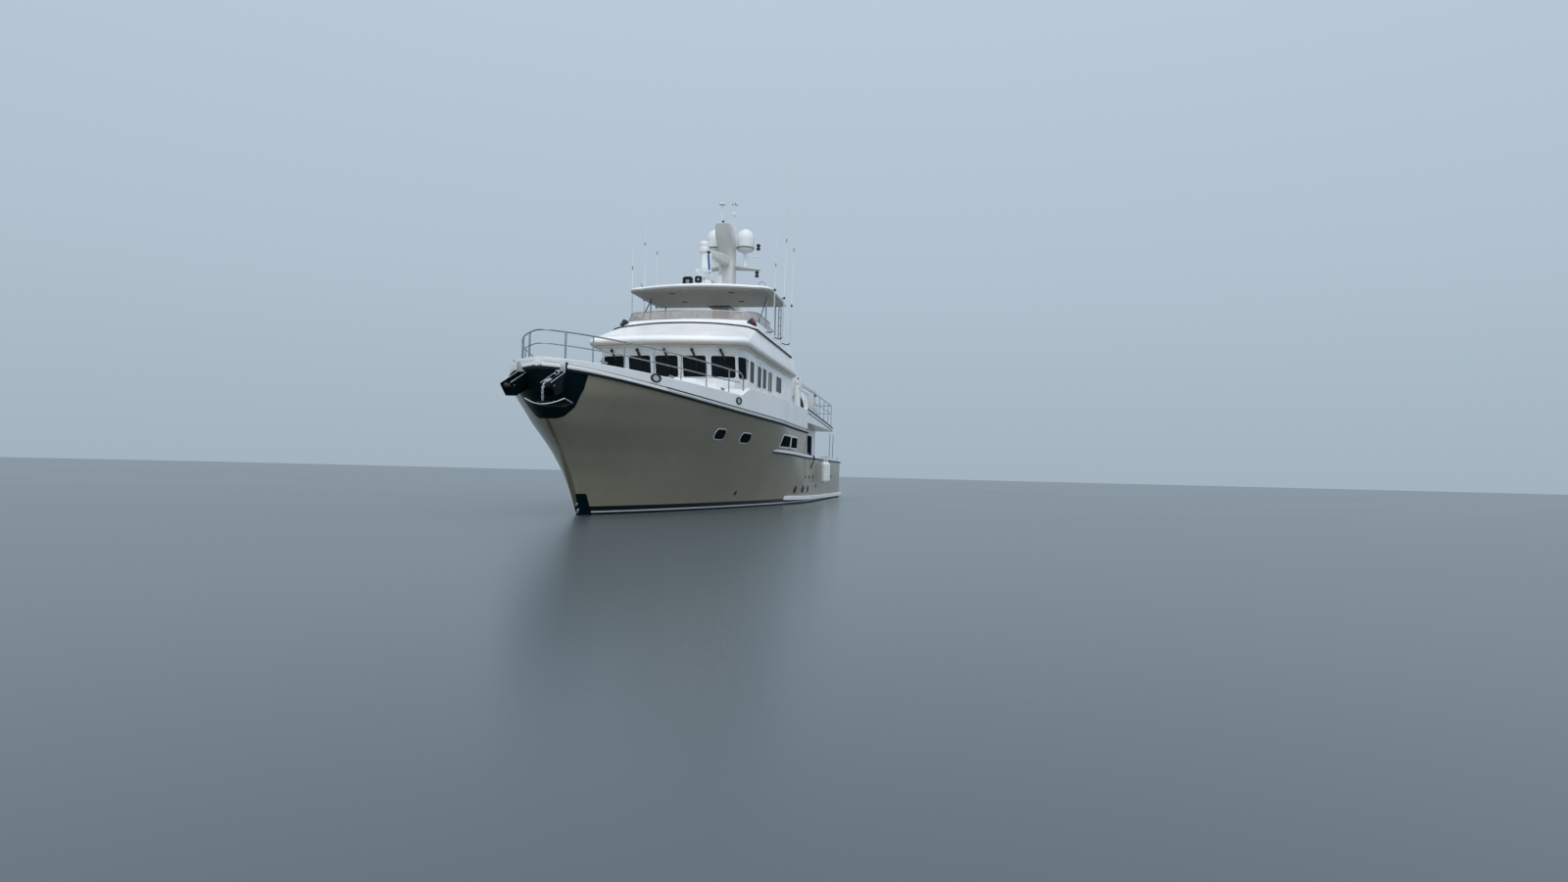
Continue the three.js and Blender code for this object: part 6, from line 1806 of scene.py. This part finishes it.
def boat_deck():
    xs = [BOAT_AFT, -8540, -8460, -8300, -7400, -6500, -5500, -4500, -3500, -2500, -1500, STEP_X - 0.3]
    outside = ship_loft([[(x, deck_edge_half(x), boat_top(x)), (x, deck_edge_half(x), boat_low(x))]
        for x in xs])
    inside = (BOAT_AFT + 130, -7500, -6500, -5500, -4500, -3500, -2500, -1500, STEP_X + 50)
    plan = both_sides([(x, boat_half(x) - 130) for x in inside])
    floor = lambda at, normal: normal.z > 0.9 and abs(at.z - BOAT_FLOOR) < 8
    piece("boat_deck_moulding", outside, "gelcoat", instead=["boat_deck"],
        cutters=[prism(plan, BOAT_FLOOR, 3500)], bevel=16, inlays=[("deck", floor)], angle=20)
    for k, (drop, out, radius, finish) in enumerate(((60, 6, 24, "black"), (190, 2, 14, "rubber"))):
        along = (-8590, -8480, -8300, -7000, -5500, -4000, -2500, -1200, -520)
        line = [(x, deck_edge_half(x) + out, boat_top(x) - drop) for x in along]
        piece(f"boat_deck_bead_{k + 1}", both(tube(line, radius, 8)), finish)


boat_deck()


def boat_rail():
    spots = [-2700, -4200, -5700, -7200, -8450]
    at = lambda x, s, z: Vector((x, s * (boat_half(x) - 70), z))
    tubes = []
    for z, radius in ((3950, 17), (3600, 12)):
        line = [at(x, 1, z) for x in spots] + [at(x, -1, z) for x in reversed(spots)]
        ahead, inboard = Vector((60, 0, 0)), Vector((0, -80, 0))
        corners = [line[4] + ahead, line[4] + inboard, line[5] - inboard, line[5] + ahead]
        tubes.append(tube([*line[:4], *corners, *line[6:]], radius, 12))
    posts = [tube([at(x, s, boat_top(x) + 0.9), at(x, s, 3950)], 14, 10) for x in spots for s in (1, -1)]
    foot = [(1, -1), (44, -1), (42, 8), (22, 14), (18, 40), (1, 40)]
    feet = [lathe(foot, *at(x, s, boat_top(x) + 0.9), 16) for x in spots for s in (1, -1)]
    piece("boat_deck_rail_tubes", merge(*tubes, *posts, *feet), "stainless", instead=["boat_deck_rail"])


boat_rail()


SALOON_HALF, SALOON_AFT = 2400, -7000


def aft_house():
    inner = lambda at, normal: abs(at.y) < SALOON_HALF - 60 and SALOON_AFT + 50 < at.x
    aft = lambda a, b, out: (SALOON_AFT - out, a, b)
    # The inside of the saloon house takes the dark lining: painted shade.
    dressed("saloon_house", "gelcoat", bevel=10, inlays=[("lining", inner)])
    for side, s in SIDES:
        wall = lambda a, b, out, s=s: (a, s * (SALOON_HALF + out), b)
        for i, (x0, x1) in enumerate(((-6000, -4900), (-4600, -3200), (-2900, -1500))):
            framed_pane(f"saloon_window_{i + 1}_{side}", wall, x0 - 15, x1 + 15, 1485, 2515, 80, 36, 10, -3,
                "matt glass")
        y0, y1 = (800, 2000) if s > 0 else (-2000, -800)
        framed_pane(f"aft_saloon_window_{side}", aft, y0, y1, 1300, 2450, 80, 36, 12, 30)
    dressed("saloon_door", "gelcoat", "saloon_door_body", bevel=5)
    framed_pane("saloon_door_pane", aft, -330, 330, 1000, 2430, 70, 30, 6, 24, body="saloon_door_body")
    grip = curve([(SALOON_AFT - out, -385, z) for out, z in ((2, 1750), (50, 1750), (50, 1500), (2, 1500))],
        6)
    piece("saloon_door_handle", tube(grip, 10, 10), "stainless", "saloon_door_body")
    dressed("transom_door", "enamel", "transom_door_body", bevel=6)
    latch = merge(slab(TRANSOM_X - 14, TRANSOM_X, -990, -930, 1380, 1440), ball(TRANSOM_X - 26, -960, 1410,
        18))
    piece("transom_door_latch", latch, "stainless", "transom_door_body", bevel=3)
    section = [(-75, 0.5), (70, 0.5), (74, 12), (62, 24), (-68, 24), (-78, 12)]
    along = (TRANSOM_X + 60, -9500, -7500, -5500, -3500, -1500, STEP_X - 60)
    edge = lambda x, inset: half_breadth(x, AFT_RAIL_Z) - inset
    rail_ring = lambda x, s: [(x, s * (edge(x, 65) + out), AFT_RAIL_Z + up) for out, up in section]
    strips = [loft([rail_ring(x, s) for x in along]) for s in (1, -1)]
    piece("aft_cap_rail", merge(*strips), "teak", angle=30)
    rods = [tube([(x, s * edge(x, 60), AFT_RAIL_Z + 20), (x - 20, s * edge(x, 40), 2700)], 15, 10)
            for x in (-7350, -8500) for s in (1, -1)]
    feet = [cleat(x, s * edge(x, 66), AFT_RAIL_Z + 22) for x in (-10500, -6400, -1400) for s in (1, -1)]
    piece("boat_deck_stanchions", merge(*rods), "stainless")
    piece("aft_cleats", merge(*feet), "stainless")
    gate_rails = [tube([(TRANSOM_X - 60, y, 200), (TRANSOM_X - 60, y, 1500)], 15, 10) for y in (-1700, -800)]
    piece("gate_side_rails", merge(*gate_rails), "stainless")
    hang = [(-1960, 1650, -30), (-1980, 1640, 60), (-2000, 1600, 84), (-2040, 1480, 70), (-1980, 1330, 26),
            (-1860, 1200, 22)]
    strap = curve([(x, half_breadth(x, z) + out, z) for x, z, out in hang], 5)
    piece("quarter_strap", tube(strap, 24, 8, flat=0.5), "rubber")


aft_house()
CRANE_X, CRANE_Y, PIVOT_X, PIVOT_Z, BOOM_END = -3500, 2200, -3650, 4475, -8100


def crane():
    foot = BOAT_FLOOR + 0.3
    base = [(r, foot + up) for r, up in ((1, 0), (240, 0), (240, 26), (226, 40), (168, 62), (150, 80))]
    base += [(150, 3470), (158, 3480), (158, 3500), (1, 3500)]
    piece("crane_pedestal_skin", lathe(base, CRANE_X, CRANE_Y, 0, 40), "plastic", instead=["crane_pedestal"],
        angle=45)
    bolt = [(1, 38), (13, 38), (13, 52), (1, 52)]
    bolts = [lathe(bolt, CRANE_X + 206 * math.cos(a), CRANE_Y + 206 * math.sin(a), foot, 6) for a in turns(8)]
    piece("crane_pedestal_bolts", merge(*bolts), "stainless")
    dressed("crane_post", "plastic", "crane_post_body", bevel=6, name="crane_post_skin")
    box = rounded(-75, 75, -80, 80, 18, 3)
    taper = [(BOOM_END, 0.86), (BOOM_END + 30, 0.9), (PIVOT_X - 900, 1), (PIVOT_X + 40, 1),
        (PIVOT_X + 70, 0.9)]
    beam = loft([[(x, CRANE_Y + a * k, PIVOT_Z + b * k) for a, b in box] for x, k in taper])
    pin = tube([(PIVOT_X, CRANE_Y - 89, PIVOT_Z), (PIVOT_X, CRANE_Y + 89, PIVOT_Z)], 45, 20)
    block = prism(rounded(BOOM_END, BOOM_END + 120, PIVOT_Z - 190, PIVOT_Z - 66, 26), CRANE_Y - 50,
        CRANE_Y + 50, "y")
    piece("crane_boom_beam", merge(beam, pin), "plastic", "crane_boom_body", instead=["crane_boom"], bevel=3)
    piece("crane_hook_block", block, "black", "crane_boom_body", bevel=8)
    groove = [(1, -40), (56, -40), (40, -8), (40, 8), (56, 40), (1, 40)]
    sheave = lathe(groove, BOOM_END + 66, CRANE_Y, PIVOT_Z - 128, 24, TO_PORT)
    piece("crane_sheave", sheave, "stainless", "crane_boom_body", angle=40)
    wire = tube([(BOOM_END + 120, CRANE_Y, PIVOT_Z + 84), (PIVOT_X - 300, CRANE_Y, PIVOT_Z + 92)], 6, 8)
    reel = [(1, -66), (84, -66), (84, -52), (54, -46), (54, 46), (84, 52), (84, 66), (1, 66)]
    winch = lathe(reel, PIVOT_X - 330, CRANE_Y, PIVOT_Z + 120, 28, TO_PORT)
    piece("crane_wire", wire, "galvanised", "crane_boom_body")
    piece("crane_winch", winch, "black", "crane_boom_body", angle=40)


crane()

# Tender on edge under its cover
TENDER_X0, TENDER_Y, TENDER_Z, TENDER_HALF, TENDER_TALL, TENDER_LEAN = -7100, 2120, 3690, 390, 640, 0.22
TENDER_LONG, TUCKS_REACH = 2900, 300
TENDER_ROWS = [(0, 0.55), (90, 0.8), (350, 1.0), (1450, 1.0), (2400, 1.0), (2790, 0.86), (2900, 0.6)]


def tender_scale(dx):
    for (a, ka), (b, kb) in zip(TENDER_ROWS, TENDER_ROWS[1:]):
        if dx <= b:
            return blend(ka, kb, clamped((dx - a) / (b - a)))
    return TENDER_ROWS[-1][1]


def tender_point(dx, angle, grow=0.0):
    k = tender_scale(dx)
    u = (k * TENDER_HALF + grow) * math.cos(angle)
    v = (k * TENDER_TALL + grow) * math.sin(angle)
    return Vector((TENDER_X0 + dx, TENDER_Y + u - v * TENDER_LEAN, TENDER_Z + v))


def tender():
    stations = (10, 60, 120, 250, 400, 900, 1450, 2000, 2400, 2600, 2750, 2850, 2890)
    hull_rings = [[tender_point(dx, a, -26) for a in turns(40)] for dx in stations]
    piece("tender_boat", loft(hull_rings), "rubber", instead=["tender"], angle=50)
    draw = random.Random(7)
    spans = [(0, 2 * math.pi), (2.0, 5.0), (0.8, 3.0), (1.5, 4.0)]
    folds = [[draw.uniform(*span) for span in spans] for _ in range(7)]
    low, high, rows, columns = math.radians(-62), math.radians(205), 60, 96

    def crease(dx, angle):
        total = sum(math.sin(phase + angle * wave + dx * MM * run) * size for phase, wave, run, size in folds)
        near_end = max(0.0, 1 - min(dx, TENDER_LONG - dx) / TUCKS_REACH)
        return total * 0.55 + 5 * math.sin(angle * 22) * near_end

    rings = []
    for r in range(rows + 1):
        dx = TENDER_LONG * (0.5 - 0.5 * math.cos(math.pi * r / rows))
        angles = [blend(low, high, c / columns) for c in range(columns + 1)]
        rings.append([tender_point(dx, angle, -13 + crease(dx, angle)) for angle in angles])
    width = columns + 1
    points = [p for ring in rings for p in ring]
    faces = [(k, k + 1, k + width + 1, k + width) for r in range(rows)
        for k in range(r * width, r * width + columns)]
    cover = piece("tender_cover", (points, faces), "canvas", angle=80)
    thick = cover.modifiers.new("thick", "SOLIDIFY")
    thick.thickness = 2 * MM
    thick.offset = -1
    applied(cover)
    cover.data.materials.clear()
    cover.data.materials.append(FINISHES["canvas"][0])
    hems = [tube([tender_point(dx, angle, -8) for dx in (10, 300, 900, 1450, 2000, 2600, 2890)], 9, 8)
        for angle in (low, high)]
    bands = []
    for dx in (480, 1150, 1800, 2420):
        line = [tender_point(dx, blend(low - 0.5, high + 0.5, k / 60), -3) for k in range(61)]
        rings = []
        for k, p in enumerate(line):
            ahead = line[min(60, k + 1)] - line[max(0, k - 1)]
            out = Vector((1, 0, 0)).cross(ahead).normalized()
            corners = ((-20, 0), (20, 0), (20, -4), (-20, -4))
            rings.append([p + Vector((along, 0, 0)) + out * up for along, up in corners])
        bands.append(loft(rings))
    piece("tender_straps", merge(*bands), "rubber", angle=40)
    piece("tender_cover_hem", merge(*hems), "canvas", angle=60)
    return cover


tender_cover = tender()
for chock in ("tender_chock_1", "tender_chock_2"):
    dressed(chock, "rubber", bevel=8)


def fenders():
    for i, x in enumerate((-3700, -4500)):
        side = half_breadth(x, AFT_RAIL_Z)
        y = side + 65 + 150
        over = AFT_RAIL_Z + 30 + 9
        body = [(1, 640), (24, 642), (40, 652), (44, 668), (70, 690), (112, 722), (128, 762), (130, 800),
            (130, 1340), (128, 1378), (112, 1418), (70, 1450), (44, 1472), (40, 1490), (26, 1504),
            (25, 1556), (1, 1560)]
        piece(f"fender_{i + 1}_body", lathe(body, x, y, 0, 32), "fender", instead=[f"fender_{i + 1}"],
            angle=60)
        eye = lathe([(12, -6), (22, -6), (22, 6), (12, 6)], x, y, 1540, 16, TO_BOW)
        line = curve([(x, y, 1540), (x, y, over - 90), (x, y - 12, over - 26), (x, y - 60, over + 2),
                      (x, side - 20, over + 3), (x, side - 60, over + 3)], 6)
        piece(f"fender_{i + 1}_lanyard", merge(tube(line, 9, 8), eye), "rope")


fenders()


def underwater():
    dressed("shaft", "stainless", "propeller_body", bevel=3, angle=50)
    x0, z0 = -7950, SHAFT_Z
    hub = [(1, -260), (30, -258), (60, -232), (90, -180), (124, -10), (125, 10), (112, 116), (100, 120),
        (1, 120)]
    blades = []
    for k in range(4):
        rings = []
        for j in range(13):
            t = j / 12
            r = blend(60, 616, t)
            chord = 120 + 95 * math.sin(math.pi * min(1, t * 0.72 + 0.12)) - 120 * max(0, t - 0.72) / 0.28
            pitch = blend(0.78, 0.3, t)
            thick = blend(20, 5, t)
            ring = []
            for a in turns(12):
                u, v = chord * math.cos(a), thick * math.sin(a)
                ring.append((-40 + u * math.sin(pitch) + v * math.cos(pitch),
                    u * math.cos(pitch) - v * math.sin(pitch), r))
            rings.append(ring)
        blade = moved(loft(rings), Matrix.Translation((x0, 0, z0)) @ Matrix.Rotation(math.pi / 2 * k, 4, "X"))
        blades.append(blade)
    piece("propeller_hub", lathe(hub, x0, 0, z0, 32, TO_BOW), "bronze", "propeller_body",
        instead=["propeller"], angle=45)
    piece("propeller_blades", merge(*blades), "bronze", "propeller_body", angle=60)
    foil = [(-9720, 5), (-9600, 22), (-9420, 46), (-9200, 60), (-9020, 58), (-8940, 40), (-8908, 18),
        (-8900, 0)]
    outline = foil + [(x, -y) for x, y in reversed(foil[:-1])]
    piece("rudder_blade", prism(outline, KEEL_Z + 102, -840), "antifouling", "rudder_body",
        instead=["rudder"], angle=40, bevel=6)
    stock = [tube([(RUDDER_X, 0, z) for z in ends], 44, 24)
        for ends in ((-890, -300.5), (KEEL_Z + 90.5, KEEL_Z + 122))]
    piece("rudder_stock", merge(*stock), "stainless", "rudder_body")
    zinc, bars = prism(rounded(-150, 150, -34, 34, 30), 0, 22), []
    for x, z in ((-6900, -1900), (-5200, -2000)):
        for s, outward in ((1, TO_PORT), (-1, TO_STARBOARD)):
            bars.append(shifted(moved(zinc, outward), x, s * 131, z))
    piece("skeg_anodes", merge(*bars), "galvanised", bevel=3)


underwater()


def lights():
    for side, s, key in (("port", 1, "red lens"), ("starboard", -1, "green lens")):
        wedge = [(s * y, z) for y, z in ((1790, 5430), (2150, 5430), (2035, 5615), (1985, 5615))]
        piece(f"side_light_housing_{side}", prism(wedge, 3400, 3620, "x"), "black", bevel=8)
        lamp = [(s * y, z) for y, z in ((2030, 5462), (2108, 5462), (2046, 5560), (2030, 5562))]
        piece(f"side_light_{side}", prism(lamp, 3616, 3634, "x"), key, bevel=4)
    stern = [(1, 3052), (34, 3052), (34, 3064), (28, 3068), (28, 3118), (34, 3122), (34, 3132), (1, 3134)]
    piece("stern_light", lathe(stern, -8540, 0, 0, 20), "lens")


lights()


# Floor, light and sky
FLOOR_REACH = 300000


def stage():
    material, tree, shader = finish_of("grey_blue_floor", 0x515D63, 0.25)
    patchy(tree, shader, 0.05, 0x4E5A60, 0x545F65, 0.24, 0.28)
    corners = [(a * FLOOR_REACH, b * FLOOR_REACH, 0) for a, b in ((-1, -1), (1, -1), (1, 1), (-1, 1))]
    floor = bare_object("floor", (corners, [(0, 1, 2, 3)]))
    floor.data.materials.append(material)
    world = bpy.data.worlds.new("sky")
    bpy.context.scene.world = world
    world.use_nodes = True
    tree = world.node_tree
    sky = tree.nodes["Background"]
    up = add(tree, "SeparateXYZ", None, {"Vector": add(tree, "TexCoord").outputs["Generated"]}).outputs["Z"]
    stops = [(at, linear(code)) for at, code in (
        (0.0, 0x8FA1AD), (0.5, 0xA3B4C0), (0.6, 0xB0C0CE), (0.75, 0xBCCAD9), (1.0, 0xFFFFFF))]
    height = add(tree, "MapRange", None, {"Value": up, "From Min": -1.0, "From Max": 1.0})
    add(tree, "ValToRGB", {"stops": stops}, {"Fac": height.outputs["Result"]}, {"Color": sky.inputs["Color"]})
    # the sky is brighter over the port bow, where the light comes from
    ahead = add(tree, "VectorMath", {"operation": "DOT_PRODUCT"}, {
        0: add(tree, "TexCoord").outputs["Generated"], 1: (0.78, 0.62, 0.0)}).outputs["Value"]
    add(tree, "MapRange", None, {"Value": ahead, "From Min": -0.2, "From Max": 0.95, "To Min": 1.0,
        "To Max": 1.42}, {"Result": sky.inputs["Strength"]})
    sun = bpy.data.lights.new("soft_sun", "SUN")
    sun.energy = 1.05
    sun.angle = math.radians(50)
    lamp = bpy.data.objects.new("soft_sun", sun)
    lamp.rotation_euler = Vector((-0.60, -0.08, -0.79)).to_track_quat("-Z", "Y").to_euler()
    bpy.context.scene.collection.objects.link(lamp)
    bpy.context.scene.view_settings.view_transform = "Standard"


stage()

# CAD nodes that keep their own form take their finish from the record's slot
SLOT_FINISHES = {"hull_paint": "enamel", "white_gelcoat": "gelcoat", "deck_paint": "deck",
    "stainless": "stainless", "galvanised": "galvanised", "black_steel": "dark enamel",
    "antifouling": "antifouling", "bronze": "bronze", "cover_fabric": "canvas", "rubber": "rubber",
    "fender_vinyl": "fender", "white_plastic": "plastic", "smoked_acrylic": "smoked",}
slot_of = {part["node"]: part["material_slot"] for part in frame["record"]["subparts"]}
for node_name, node_object in frame["nodes"].items():
    finish_here = FINISHES[SLOT_FINISHES[slot_of[node_name]]][0]
    if not node_object.material_slots:
        node_object.data.materials.append(finish_here)
    for own in node_object.material_slots:
        own.material = finish_here
